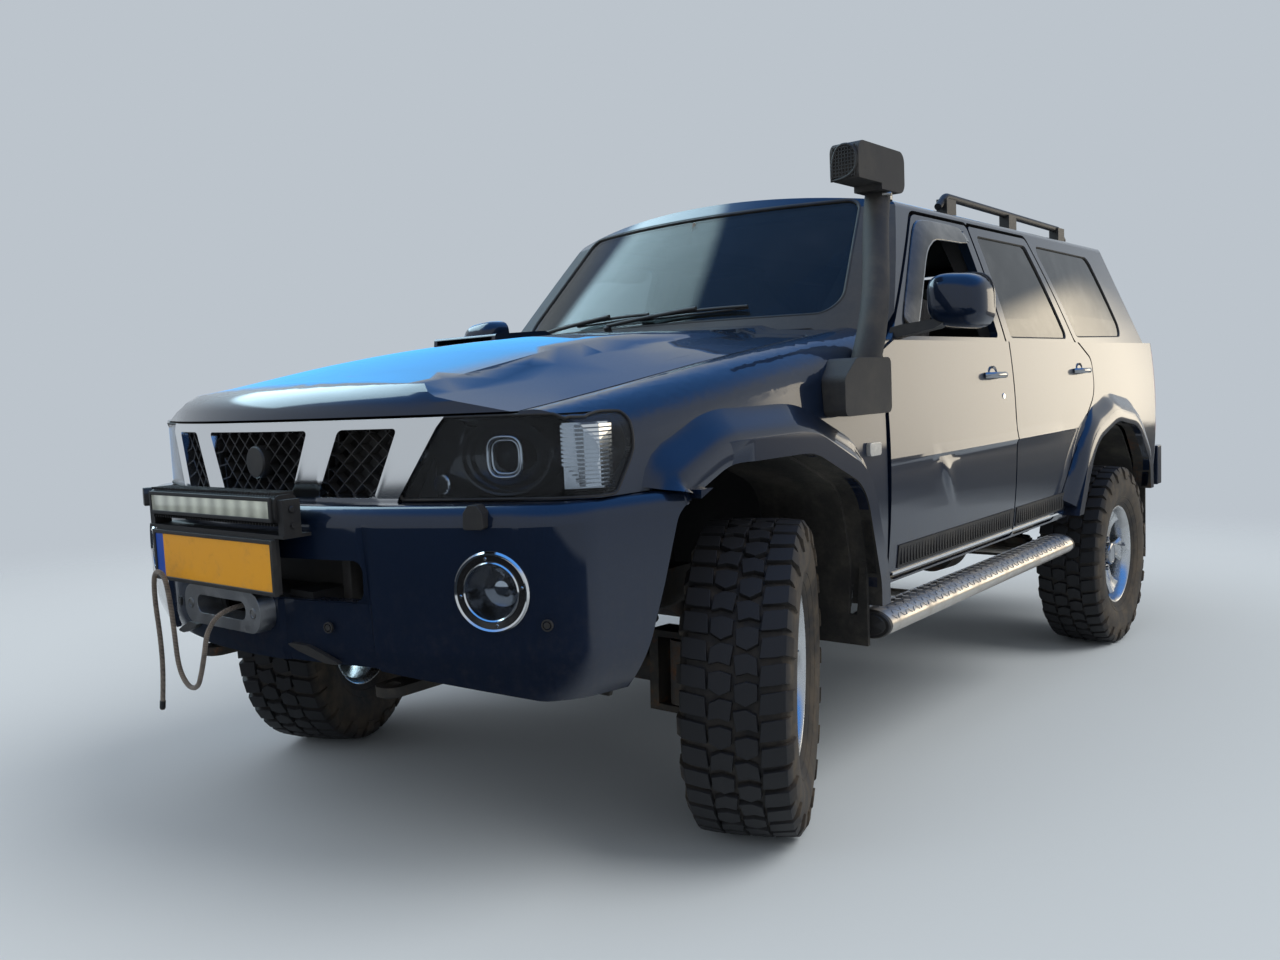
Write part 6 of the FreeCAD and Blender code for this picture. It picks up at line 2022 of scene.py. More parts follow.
# ------------------------------------------------------------------ flares
@dataclass
class Flares:
    """Broad rounded flares round all four wheel arches, blended into the flanks."""

    shop: Workshop
    lip_x: float = 0.9672
    reach: float = 0.150
    half_gap: float = 0.0025
    front: Sequence[Point] = ((-0.930, 0.380, 0.0), (-0.930, 0.640, 0.200), (-1.010, 0.930, 0.150),
                              (-1.290, 1.046, 0.260), (-1.640, 1.046, 0.220), (-1.850, 0.960, 0.060),
                              (-1.900, 0.800, 0.0), (-2.050, 0.380, 0.0))
    rear: Sequence[Point] = ((0.925, 0.330, 0.0), (0.925, 0.560, 0.120), (1.140, 0.900, 0.260),
                             (1.480, 0.985, 0.320), (1.830, 0.940, 0.240), (2.040, 0.740, 0.120),
                             (2.075, 0.330, 0.0))
    door_edge: Sequence[Point] = ((0.745, 0.600), (0.800, 0.640), (0.955, 0.835), (1.040, 0.935),
                                  (1.200, 1.050), (1.275, 1.120), (1.288, 1.160), (1.286, 1.260))

    def outline(self, corners: Sequence[Point]) -> list[Vector]:
        """The arch's rounded outline as close points.

        Args:
            corners: y, z and radius of each corner.

        Returns:
            Points (y, z) from one foot to the other.
        """
        bm = new_mesh()
        face = polygon(bm, [(y, z, 0.0) for y, z, _ in corners], [r for _, _, r in corners], 9)
        line = [v.co.xy.copy() for v in face.verts]
        bm.free()
        first = min(range(len(line)), key=lambda i: (line[i] - Vector(corners[0][:2])).length)
        line = line[first:] + line[:first]
        if (line[1] - Vector(corners[1][:2])).length > (line[-1] - Vector(corners[1][:2])).length:
            line = [line[0]] + line[:0:-1]
        close = []
        for a, b in zip(line, line[1:]):
            steps = max(1, round((b - a).length / 0.035))
            close += [a.lerp(b, k / steps) for k in range(steps)]
        return close + [line[-1]]

    def lift(self, share: float) -> float:
        """Height of the flare over the flank at a share of its reach."""
        if share < 0.30:
            return 1.0 + 0.04 * math.sin(share / 0.30 * math.pi)
        fall = (share - 0.30) / 0.70
        return 1.0 - 1.12 * (3 * fall ** 2 - 2 * fall ** 3)

    def crossing(self, p: Vector, way: Vector) -> Optional[float]:
        """How far from a point the rear door's edge is met.

        Args:
            p: a point (y, z) of the arch.
            way: the direction away from the wheel.

        Returns:
            The distance, or None.
        """
        for a, b in zip(self.door_edge, self.door_edge[1:]):
            run = Vector(b) - Vector(a)
            det = way.x * -run.y + run.x * way.y
            if abs(det) < 1e-9:
                continue
            to = Vector(a) - p
            far = (to.x * -run.y + run.x * to.y) / det
            along = (way.x * to.y - way.y * to.x) / det
            if 0.0 <= along <= 1.0 and 0.01 < far < self.reach:
                return far
        return None

    def sheet(self, nodes: Sequence[str], corners: Sequence[Point], keep: Callable[[Vector], bool],
              door: Optional[bool], fan: Sequence[float] = ()) -> BMesh:
        """One flare, or the part of it that a door carries.

        Args:
            nodes: the panels that it lies on.
            corners: the arch's corners.
            keep: tells which points of the arch have a flare.
            door: None for a flare that no door cuts, True for the door's part, False for the rest.
            fan: angles by which the far end turns on, in degrees.

        Returns:
            The flare in the body frame, on the left.
        """
        panel = new_mesh()
        for node in nodes:
            panel.from_mesh(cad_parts[node].data)
        panel.transform(BODY.inverted())
        tree = BVHTree.FromBMesh(panel)
        panel.free()
        line = self.outline(corners)
        stations = []
        for i, p in enumerate(line):
            if not keep(p):
                continue
            run = (line[min(i + 1, len(line) - 1)] - line[max(i - 1, 0)]).normalized()
            stations.append((p, Vector((-run.y, run.x)) * (1 if corners[0][0] < corners[-1][0] else -1), 1.0))
        p, way, _ = stations[0]
        stations.insert(0, (p, way, 0.0))
        p, way, _ = stations[-1]
        for angle in fan:
            turn = math.radians(angle)
            stations.append((p, Vector((way.x * math.cos(turn) - way.y * math.sin(turn),
                                        way.x * math.sin(turn) + way.y * math.cos(turn))), 1.0))
        stations.append((*stations[-1][:2], 0.0))
        bm = new_mesh()
        rows = []
        for p, way, height in stations:
            cut = self.crossing(p, way) if door is not None else None
            if door:
                low, high = (cut or 0.0) + self.half_gap, self.reach
            else:
                low, high = 0.0, self.reach if cut is None else cut - self.half_gap
            if door and cut is None:
                rows.append(None)
                continue
            at = lambda d: p + way * d
            hit = tree.ray_cast(Vector((1.4, *at(0.072))), Vector((-1, 0, 0)))[0]
            root = hit.x if hit else 0.915
            rise = min(self.lip_x - root, 0.050)
            row = []
            shares = [k / 12 for k in range(13)]
            for k in shares:
                d = low + (high - low) * k
                hit = tree.ray_cast(Vector((1.4, *at(max(d, 0.072)))), Vector((-1, 0, 0)))[0]
                base = min(hit.x if hit else root, root + 0.03)
                row.append((base + rise * (self.lift(d / self.reach) if height else -0.35), *at(d)))
            first, last = row[0], row[-1]
            row.insert(0, (first[0] - 0.030, *first[1:]))
            row.append((last[0] - 0.014, *last[1:]))
            rows.append([bm.verts.new(v) for v in row])
        for a, b in zip(rows, rows[1:]):
            if a is None or b is None:
                continue
            for k in range(len(a) - 1):
                bm.faces.new((a[k], a[k + 1], b[k + 1], b[k]))
        outward(bm)
        if sum(f.normal.x * f.calc_area() for f in bm.faces) < 0:
            flip(bm)
        return bm

    def build(self) -> None:
        """Makes the flares, the rear ones split where the rear doors end."""
        shop = self.shop
        shop.both_sides("flare_front",
                        lambda: self.sheet(["front_wings"], self.front,
                                           lambda p: p.y > 0.61 and p.x > -1.812, None, fan=(18, 36, 54)),
                        PAINT, sharp=50.0)
        high = lambda p: p.y > 0.612
        shop.both_sides("flare_rear", lambda: self.sheet(
            ["quarter_panels", "door_rear_left", "body_shell"], self.rear, high, False), PAINT, sharp=50.0)
        shop.both_sides("flare_door",
                        lambda: self.sheet(["quarter_panels", "door_rear_left", "body_shell"], self.rear,
                                           high, True), PAINT, "door_rear_{}", sharp=50.0)


# ------------------------------------------------------------------ sides
@dataclass
class SideTrim:
    """Handles, locks, guards, mirrors, steps and the small lamps on both sides."""

    shop: Workshop
    step_x: float = 0.916
    step_z: float = 0.509
    step_wide: float = 0.068
    step_tall: float = 0.0425
    step_ends: tuple[float, float] = (-0.922, 0.770)
    eye_x: float = 1.056
    eye_z: float = 1.456
    square: float = 3.4

    def handle(self, y: float, z: float) -> BMesh:
        """Pull handle in a dished recess."""
        bm = new_mesh()
        place = on_flank(y, z)
        dish = new_mesh()
        lathe(dish, [(0.0, -0.004), (0.7, -0.003), (0.93, 0.0012), (1.0, 0.0016), (1.0, -0.004),
                     (0.0, -0.010)], steps=40)
        dish.transform(Matrix.Diagonal((0.040, 0.034, 1.0, 1.0)))
        absorb(bm, dish, place)
        bar = new_mesh()
        points = [(-0.072, 0, 0.001), (-0.062, 0, 0.024), (-0.02, 0, 0.033), (0.03, 0, 0.033),
                  (0.062, 0, 0.026), (0.074, 0, 0.001)]
        curve_tube(bar, points, 0.0085, 12)
        bar.transform(Matrix.Diagonal((1.0, 1.35, 1.0, 1.0)))
        absorb(bm, bar, place)
        return bm

    def keyhole(self, y: float, z: float) -> BMesh:
        """Round lock barrel."""
        bm = new_mesh()
        lathe(bm, [(0.0, 0.0012), (0.003, 0.0012), (0.0035, 0.0026), (0.0095, 0.0026), (0.011, 0.001),
                   (0.011, -0.004), (0.0, -0.004)], steps=24)
        bm.transform(on_flank(y, z))
        return bm

    def strip(self, y0: float, y1: float, z0: float, z1: float, out: float, rows: int, columns: int) -> BMesh:
        """A guard that follows the flank, taller than it is thick.

        Args:
            y0: front end.
            y1: rear end.
            z0: lower edge.
            z1: upper edge.
            out: how far it stands proud.
            rows: faces over its height.
            columns: faces over its length.

        Returns:
            The guard.
        """
        bm = new_mesh()
        grid = []
        for i in range(rows + 1):
            z = z0 + (z1 - z0) * i / rows
            grid.append([bm.verts.new((flank_x(z) + out, y0 + (y1 - y0) * k / columns, z))
                         for k in range(columns + 1)])
        for r in range(rows):
            for c in range(columns):
                bm.faces.new((grid[r][c], grid[r][c + 1], grid[r + 1][c + 1], grid[r + 1][c]))
        bm.normal_update()
        thicken(bm, out + 0.003)
        return bm

    def ribbed_guard(self, y0: float, y1: float) -> BMesh:
        """Dusty ribbed guard low on a door."""
        bm = self.strip(y0, y1, 0.640, 0.712, 0.0035, 6, 4)
        for i in range(int((y1 - y0 - 0.02) / 0.022)):
            y = y0 + 0.016 + i * 0.022
            part = new_mesh()
            block(part, (flank_x(0.676) - 0.002, y, 0.650), (flank_x(0.676) + 0.0075, y + 0.010, 0.702),
                  0.0015, 1)
            absorb(bm, part)
        return bm

    def door_fittings(self) -> None:
        """Handles, locks, guards and bright sill lines on every side door."""
        shop = self.shop
        for name, y, y0, y1 in (("front", 0.097, -0.700, 0.285), ("rear", 1.099, 0.318, 0.880)):
            body = f"door_{name}" + "_{}"
            shop.both_sides(f"handle_{name}", lambda: self.handle(y, 1.221), CHROME_DOOR, body, sharp=40.0)
            shop.both_sides(f"guard_{name}", lambda: self.ribbed_guard(y0, y1), ROUGH_TRIM, body, sharp=40.0)
            shop.both_sides(f"sill_line_{name}",
                            lambda: self.strip(y0 - 0.03, y1 + 0.006, 0.6235, 0.631, 0.0035, 1, 3), CHROME,
                            body, sharp=40.0)
        shop.both_sides("door_lock", lambda: self.keyhole(0.185, 1.142), CHROME, "door_front_{}", sharp=40.0)
        shop.both_sides("side_repeater", self.repeater, LENS_PALE, sharp=40.0, bevel=0.002)

    def repeater(self) -> BMesh:
        """Small clear indicator on the wing."""
        bm = new_mesh()
        slab(bm, [(a, b, -0.004) for a,
                  b in ((-0.036, -0.020), (0.036, -0.020), (0.036, 0.020), (-0.036, 0.020))], (0, 0, 0.015),
             rounds=[0.010] * 4, segments=4)
        bm.transform(Matrix.Translation((0.9135, -0.863, 1.023)) @ on_flank(0, 0.97).to_3x3().to_4x4())
        return bm

    def mirror(self) -> BMesh:
        """Mirror cap: a rounded shell that bulges forward."""
        bm = new_mesh()
        rings = []
        rows = [(-0.502, 1.0, 1.0), (-0.520, 1.0, 1.0), (-0.556, 0.985, 0.98), (-0.588, 0.93, 0.92),
                (-0.610, 0.80, 0.78), (-0.621, 0.55, 0.5)]
        half = 0.094
        for y, wide, tall in rows:
            line = squircle(half * wide, 0.084 * tall, self.square, 40)
            rings.append(ring_of(bm,
                                 [(self.eye_x + a, y, self.eye_z + b - 0.010 * a / half) for a, b in line]))
        join_rings(bm, rings)
        bmesh.ops.holes_fill(bm, edges=[e for e in bm.edges if e.is_boundary and e.verts[0].co.y < -0.6],
                             sides=0)
        outward(bm)
        if sum(f.normal.y * f.calc_area() for f in bm.faces) > 0:
            flip(bm)
        thicken(bm, 0.003)
        return bm

    def mirror_face(self) -> BMesh:
        """The mirror glass."""
        bm = new_mesh()
        line = squircle(0.086, 0.076, self.square, 40)
        slab(bm, [(self.eye_x + a, -0.512, self.eye_z + b) for a, b in line], (0, -0.004, 0))
        return bm

    def mirror_rest(self) -> BMesh:
        """Black back frame and foot of the mirror."""
        bm = new_mesh()
        slab(bm, [(0.862, -0.640, 1.348), (1.000, -0.610, 1.374), (1.030, -0.600, 1.392),
                  (1.000, -0.600, 1.404), (0.900, -0.630, 1.392), (0.868, -0.640, 1.384)], (0, 0.060, 0),
             rounds=[0.004] * 6, segments=2)
        line = squircle(0.091, 0.081, self.square, 40)
        points = [(self.eye_x + a, -0.5125, self.eye_z + b) for a, b in line]
        curve_tube(bm, points, 0.004, 6, closed=True)
        slab(bm, [(a, -0.522, b) for a, _, b in points], (0, -0.006, 0))
        return bm

    def step(self) -> BMesh:
        """Oval step tube between its ends."""
        bm = new_mesh()
        y0, y1 = self.step_ends
        rings = []
        for k in range(9):
            y = y0 + 0.012 + (y1 - y0 - 0.024) * k / 8
            rings.append(ring_of(bm, [(self.step_x + a, y, self.step_z + b)
                                      for a, b in squircle(self.step_wide, self.step_tall, 2.0, 36)]))
        join_rings(bm, rings)
        outward(bm)
        thicken(bm, 0.003)
        for y in (-0.420, 0.560):
            block(bm, (0.430, y - 0.018, 0.492), (0.862, y + 0.018, 0.512), 0.003)
        return bm

    def tread(self) -> BMesh:
        """Raised lozenges pressed over the top of the step."""
        bm = new_mesh()
        y0, y1 = self.step_ends
        pitch = 0.026
        lozenge = [(-0.010, -0.0008, 0), (0, -0.0030, 0), (0.010, -0.0008, 0), (0.010, 0.0008, 0),
                   (0, 0.0030, 0), (-0.010, 0.0008, 0)]
        for row in range(7):
            angle = math.radians(28 + row * 20.5)
            for i in range(int((y1 - y0 - 0.10) / pitch)):
                y = y0 + 0.05 + pitch * (i + 0.5 * (row % 2))
                lean = 1 if (i + row) % 2 else -1
                part = new_mesh()
                slab(part, lozenge, (0, 0, 0.0022))
                up = Vector((math.cos(angle) / self.step_wide, 0,
                             math.sin(angle) / self.step_tall)).normalized()
                along = Vector((0, 1, 0))
                lie = turn_to(along, up.cross(along), up)
                skin = (self.step_wide * math.cos(angle), y, self.step_tall * math.sin(angle))
                at = Vector((self.step_x, 0, self.step_z)) + Vector(skin) - up * 0.0008
                absorb(bm, part, Matrix.Translation(at) @ lie
                       @ Matrix.Rotation(math.radians(45 * lean), 4, "Z"))
        return bm

    def plugs(self) -> BMesh:
        """Black end plugs of the step."""
        bm = new_mesh()
        for y, out in ((self.step_ends[0], -1), (self.step_ends[1], 1)):
            part = new_mesh()
            lathe(part, [(0.0, 0.001), (0.72, 0.001), (0.78, -0.002), (0.94, 0.0), (1.01, -0.004),
                         (1.01, -0.018), (0.0, -0.018)], steps=36)
            part.transform(Matrix.Diagonal((self.step_wide, self.step_tall, 1.0, 1.0)))
            axis = Matrix.Rotation(math.radians(-90 * out), 4, "X")
            absorb(bm, part, Matrix.Translation((self.step_x, y, self.step_z)) @ axis)
        return bm

    def build(self) -> None:
        """Makes everything on the flanks."""
        shop = self.shop
        self.door_fittings()
        mirror = (("mirror_cap", self.mirror, PAINT, ["mirror_{}"]),
                  ("mirror_glass", self.mirror_face, MIRROR_FACE, []),
                  ("mirror_foot", self.mirror_rest, TRIM, []))
        for side in Side:
            for name, make, finish, nodes in mirror:
                shop.both_sides(name, make, finish, "door_front_{}", [side], sharp=38.0, stands_for=nodes)
        shop.both_sides("step_tube", self.step, STEP_METAL, stands_for=["side_steps"], sharp=38.0)
        shop.both_sides("step_tread", self.tread, STEP_METAL, sharp=38.0)
        shop.both_sides("step_plugs", self.plugs, TRIM, sharp=38.0)


@dataclass
class Snorkel:
    """Details of the raised air intake on the car's left."""

    shop: Workshop

    def build(self) -> None:
        """Makes the clamp bands with their screw, and the head's mesh."""
        bm = new_mesh()
        for z in (1.792, 1.806):
            lathe(bm, [(0.0405, -0.006), (0.0428, -0.006), (0.0428, 0.006), (0.0405, 0.006),
                       (0.0405, -0.006)], (0.806, -0.570, z), (0, 0.06, 1), 40)
        rod(bm, (0.838, -0.612, 1.799), (0.862, -0.596, 1.799), 0.006, 12, 0.001)
        self.shop.piece("snorkel_clamp", bm, STEEL, "car", sharp=40.0)
        mesh = new_mesh()
        for i in range(9):
            z = 1.836 + i * 0.0105
            block(mesh, (0.774, -0.8035, z - 0.0014), (0.846, -0.7985, z + 0.0014))
        for i in range(8):
            x = 0.774 + i * 0.0103
            block(mesh, (x - 0.0014, -0.8035, 1.832), (x + 0.0014, -0.7985, 1.924))
        ring = [(0.768, -0.801, 1.826), (0.852, -0.801, 1.826), (0.852, -0.801, 1.928),
                (0.768, -0.801, 1.928)]
        curve_tube(mesh, ring, 0.0045, 8, closed=True)
        self.shop.piece("snorkel_mesh", mesh, TRIM, "car", sharp=40.0)


# ------------------------------------------------------------------ glasshouse
@dataclass
class Glasshouse:
    """Window rubbers, visors and wipers."""

    shop: Workshop

    def rubber(self, node: str, body: str, keep: Callable[[Vector, Vector], bool], radius: float) -> None:
        """A seal along the border of a window's outer face.

        Args:
            node: the glass.
            body: the body that it rides on.
            keep: tells the outer faces.
            radius: its radius.
        """
        sheet = faces_of(node, keep)
        bm = new_mesh()
        for loop in border(sheet):
            curve_tube(bm, thin_out(loop, 0.006), radius, 8, closed=True)
        sheet.free()
        if len(bm.verts):
            self.shop.piece(f"seal_{node}", bm, RUBBER, body, sharp=60.0)
        else:
            bm.free()

    def wiper(self, foot: Point, elbow: Point, tip: Point, start: Point) -> BMesh:
        """One wiper: arm and blade.

        Args:
            foot: its spindle.
            elbow: where the arm meets the blade.
            tip: the blade's far end.
            start: the blade's near end.

        Returns:
            The wiper.
        """
        bm = new_mesh()
        rod(bm, foot, Vector(foot) + Vector((0, -0.012, 0.022)), 0.013, 18, 0.003)
        curve_tube(bm, [Vector(foot) + Vector((0, -0.008, 0.022)),
                        (Vector(foot) * 2 + Vector(elbow)) / 3 + Vector((0, -0.012, 0.022)),
                        Vector(elbow) + Vector((0, -0.010, 0.012))], 0.007, 8)
        curve_tube(bm, [start, (Vector(start) + Vector(tip)) / 2 + Vector((0, -0.010, 0.010)), tip], 0.0055,
                   6)
        curve_tube(bm, [Vector(start) + Vector((0, 0.004, -0.006)),
                        Vector(tip) + Vector((0, 0.004, -0.006))], 0.0035, 6)
        return bm

    def screen_point(self, x: float, z: float, out: float = 0.008) -> Vector:
        """A point on the windscreen's outer face.

        Args:
            x: half width.
            z: height.
            out: distance in front of it.

        Returns:
            The point.
        """
        foot, head = Vector((0, -0.862, 1.418)), Vector((0, -0.418, 1.872))
        along = (head - foot).normalized()
        inward = Vector((0, along.z, -along.y))
        drop = 2.1 - math.sqrt(2.1 ** 2 - x * x)
        share = (z - foot.z + drop * along.y) / along.z
        return foot + along * share + inward * (drop - out) + Vector((x, 0, 0))

    def build(self) -> None:
        """Makes seals, wipers and visors."""
        shop = self.shop
        for side in Side:
            s = side.value
            self.rubber(f"door_glass_rear_{side.word}", f"door_rear_{side.word}", lambda c, n,
                        s=s: n.x * s > 0.5, 0.0055)
        self.rubber("quarter_glass", "car", lambda c, n: abs(n.x) > 0.3 and n.x * c.x > 0, 0.0060)
        self.rubber("windscreen", "car", lambda c, n: n.y < -0.3, 0.0075)
        for leaf in ("wide", "narrow"):
            self.rubber(f"back_glass_{leaf}", f"back_door_{leaf}", lambda c, n: n.y > 0.5, 0.0055)
        wipers = new_mesh()
        for foot_x, elbow_x, tip_x, start_x in ((-0.470, -0.120, 0.050, -0.300),
                                                (-0.100, 0.250, 0.420, 0.020)):
            foot = self.screen_point(foot_x, 1.428, 0.004)
            elbow, tip = self.screen_point(elbow_x, 1.470, 0.010), self.screen_point(tip_x, 1.476, 0.011)
            absorb(wipers, self.wiper(foot, elbow, tip, self.screen_point(start_x, 1.462, 0.011)))
        shop.piece("wipers", wipers, TRIM, "car", sharp=40.0)
        for side in Side:
            bm = new_mesh()
            rows = [(-0.560, 1.405), (-0.470, 1.500), (-0.360, 1.615), (-0.262, 1.712), (-0.200, 1.765),
                    (-0.140, 1.783), (0.02, 1.785), (0.238, 1.785)]
            line = []
            for i, (y, z) in enumerate(rows):
                inner = (y + 0.058, z - 0.048) if i < 4 else (y + 0.03 * max(6 - i, 0), z - 0.078)
                line.append(((y, z), inner))
            grid = []
            for (y, z), (v, w) in line:
                mid_y, mid_z = (y + v) / 2, (z + w) / 2
                grid.append([bm.verts.new((glass_x(z) + 0.003, y, z)),
                             bm.verts.new((glass_x(mid_z) + 0.014, mid_y, mid_z)),
                             bm.verts.new((glass_x(w) + 0.020, v, w))])
            for a, b in zip(grid, grid[1:]):
                for k in range(2):
                    bm.faces.new((a[k], b[k], b[k + 1], a[k + 1]))
            outward(bm)
            thicken(bm, 0.0025)
            bm.transform(side.matrix)
            if side is Side.RIGHT:
                flip(bm)
            shop.piece(f"window_visor_{side.word}", bm, SMOKED, f"door_front_{side.word}", sharp=40.0,
                       subdivide=1)


# ------------------------------------------------------------------ tail
@dataclass
class Tail:
    """Rear lamps, hinges, handle and bumper pad."""

    shop: Workshop

    def build(self) -> None:
        """Makes everything at the back."""
        shop = self.shop
        shop.skin("tail_lamps", [RED_LENS, CLEAR_REAR, AMBER_LENS], "car", bevel=0.006,
                  sort=lambda c, n: 1 if 0.955 < c.z < 1.02 else 0)
        bm = new_mesh()
        for z in (0.95, 1.18):
            for x in (-0.835, 0.835):
                block(bm, (x - 0.03, 2.438, z - 0.028), (x + 0.03, 2.456, z + 0.028), 0.005)
        block(bm, (0.105, 2.440, 1.150), (0.215, 2.462, 1.192), 0.008, 3)
        shop.piece("back_hinges_handle", bm, TRIM, "car", sharp=40.0)
        pad = new_mesh()
        block(pad, (-0.74, 2.43, 0.800), (0.74, 2.565, 0.806), 0.002)
        for i in range(24):
            x = -0.70 + i * 0.061
            block(pad, (x - 0.006, 2.455, 0.805), (x + 0.006, 2.555, 0.809), 0.001, 1)
        shop.piece("bumper_pad", pad, ROUGH_TRIM, "car", sharp=40.0)


# ------------------------------------------------------------------ cabin
@dataclass
class Seat:
    """The front seats, each with cushion, back, head rest and base, and the rear bench."""

    shop: Workshop

    def pad(self, name: str, low: Point, high: Point, crown: float, lean: float = 0.0,
            at: Point = (0, 0, 0)) -> None:
        """One padded form, blown up by cloth simulation.

        Args:
            name: the piece's name.
            low: its lowest corner.
            high: its highest corner.
            crown: how far its sides may swell.
            lean: its backward lean in radians about at.
            at: the point that it leans about.
        """
        bm = new_mesh()
        block(bm, low, high, min(b - a for a, b in zip(low, high)) * 0.30, 4)
        bmesh.ops.triangulate(bm, faces=bm.faces[:])
        tilt = Matrix.Translation(at) @ Matrix.Rotation(-lean, 4, "X") @ Matrix.Translation(-Vector(at))
        bm.transform(tilt)
        mesh = bpy.data.meshes.new(name)
        bm.to_mesh(mesh)
        bm.free()
        obj = bpy.data.objects.new(name, mesh)
        bpy.context.scene.collection.objects.link(obj)
        modifier = obj.modifiers.new("Voxels", "REMESH")
        modifier.mode = "VOXEL"
        modifier.voxel_size = 0.008
        swollen = self.swell(obj, crown)
        bpy.data.objects.remove(obj)
        bm = new_mesh()
        bm.from_mesh(swollen)
        bpy.data.meshes.remove(swollen)
        made = self.shop.piece(name, bm, CLOTH, "car", sharp=180.0, subdivide=0)

    def swell(self, obj: bpy.types.Object, crown: float) -> bpy.types.Mesh:
        """Blows a pad up.

        Args:
            obj: the pad with its Remesh modifier.
            crown: the farthest that a point may move.

        Returns:
            The finished mesh.
        """
        graph = bpy.context.evaluated_depsgraph_get()
        flat = bpy.data.meshes.new_from_object(obj.evaluated_get(graph))
        start = [v.co.copy() for v in flat.vertices]
        bag = bpy.data.objects.new("bag", flat)
        bpy.context.scene.collection.objects.link(bag)
        cloth = bag.modifiers.new("Cloth", "CLOTH")
        cloth.settings.use_pressure = True
        cloth.settings.uniform_pressure_force = 4.0
        cloth.settings.effector_weights.gravity = 0.0
        cloth.point_cache.frame_start, cloth.point_cache.frame_end = 1, 16
        for number in range(1, 17):
            bpy.context.scene.frame_set(number)
        graph = bpy.context.evaluated_depsgraph_get()
        blown = bpy.data.meshes.new_from_object(bag.evaluated_get(graph))
        for vert, before in zip(blown.vertices, start):
            away = vert.co - before
            if away.length > crown:
                vert.co = before + away.normalized() * crown
        bpy.context.scene.frame_set(1)
        bpy.data.objects.remove(bag)
        return blown

    def build(self) -> None:
        """Makes both front seats and the bench."""
        for side in Side:
            x = side.value * 0.370
            tag = side.word
            self.pad(f"seat_cushion_{tag}", (x - 0.235, -0.265, 0.850), (x + 0.235, 0.205, 0.978), 0.010)
            self.pad(f"seat_back_{tag}", (x - 0.235, 0.120, 0.985), (x + 0.235, 0.225, 1.545), 0.010, 0.15,
                     (x, 0.17, 0.98))
            self.pad(f"head_rest_{tag}", (x - 0.120, 0.260, 1.570), (x + 0.120, 0.335, 1.705), 0.008)
            base = new_mesh()
            block(base, (x - 0.205, -0.235, 0.765), (x + 0.205, 0.175, 0.852), 0.01)
            for sign in (1, -1):
                rod(base, (x + sign * 0.05, 0.285, 1.52), (x + sign * 0.05, 0.300, 1.60), 0.006, 12)
                block(base, (x + sign * 0.19 - 0.012, -0.22, 0.626), (x + sign * 0.19 + 0.012, 0.16, 0.77),
                      0.004)
            self.shop.piece(f"seat_base_{tag}", base, CABIN, "car", sharp=35.0,
                            stands_for=["front_seats"] if side is Side.LEFT else ())
        self.pad("bench_cushion", (-0.530, 0.630, 0.855), (0.530, 1.080, 0.970), 0.010)
        self.pad("bench_back", (-0.530, 1.035, 0.975), (0.530, 1.125, 1.490), 0.010, 0.17, (0, 1.08, 0.97))
        base = new_mesh()
        block(base, (-0.500, 0.665, 0.628), (0.500, 0.975, 0.858), 0.01)
        self.shop.piece("bench_base", base, CABIN, "car", sharp=35.0, stands_for=["rear_bench"])


@dataclass
class Cockpit:
    """Steering wheel, dashboard fittings and the inside mirror."""

    shop: Workshop

    def wheel(self) -> BMesh:
        """Steering wheel with a padded rim, four spokes and a boss."""
        bm = new_mesh()
        points = [(0.182 * math.cos(t), 0.182 * math.sin(t), 0)
                  for t in (2 * math.pi * i / 64 for i in range(64))]
        curve_tube(bm, points, 0.0155, 12, closed=True)
        lathe(bm, [(0.0, 0.014), (0.052, 0.012), (0.066, 0.004), (0.070, -0.012), (0.060, -0.040),
                   (0.0, -0.044)], steps=40)
        for a in (12, 168, 235, 305):
            t = math.radians(a)
            start = (0.05 * math.cos(t), 0.05 * math.sin(t), -0.006)
            end = (0.176 * math.cos(t), 0.176 * math.sin(t), 0.0)
            rod(bm, start, end, 0.014, 12)
        normal = Vector((0, 0.9, 0.44)).normalized()
        across = Vector((1, 0, 0))
        up = normal.cross(across)
        bm.transform(Matrix.Translation((-0.370, -0.330, 1.270)) @ turn_to(across, up, normal))
        rod(bm, (-0.370, -0.345, 1.262), (-0.370, -0.462, 1.212), 0.030, 24)
        return bm

    def build(self) -> None:
        """Makes the cockpit's pieces."""
        shop = self.shop
        shop.piece("steering_wheel_rim", self.wheel(), CABIN, "car", sharp=40.0,
                   stands_for=["steering_wheel"])
        bm = new_mesh()
        glass_at = Glasshouse(shop).screen_point(0.0, 1.76, -0.03)
        block(bm, (-0.115, glass_at.y + 0.012, 1.690), (0.115, glass_at.y + 0.034, 1.752), 0.012, 3)
        rod(bm, (0, glass_at.y + 0.02, 1.745), (0, glass_at.y + 0.055, 1.83), 0.007, 12)
        shop.piece("inside_mirror", bm, CABIN_PALE, "car", sharp=40.0)
        panel = new_mesh()
        block(panel, (-0.11, -0.462, 1.105), (0.11, -0.447, 1.325), 0.006)
        for x, z in ((-0.055, 1.14), (0.0, 1.14), (0.055, 1.14)):
            lathe(panel, [(0.0, 0.018), (0.014, 0.017), (0.017, 0.0), (0.0, 0.0)], (x, -0.447, z), (0, 1, 0),
                  24)
        block(panel, (-0.085, -0.448, 1.205), (0.085, -0.4445, 1.30), 0.002)
        for x in (-0.60, -0.16, 0.16, 0.60):
            block(panel, (x - 0.045, -0.466, 1.285), (x + 0.045, -0.452, 1.330), 0.004)
        shop.piece("dash_panel", panel, GLOSS_BLACK, "car", sharp=40.0)


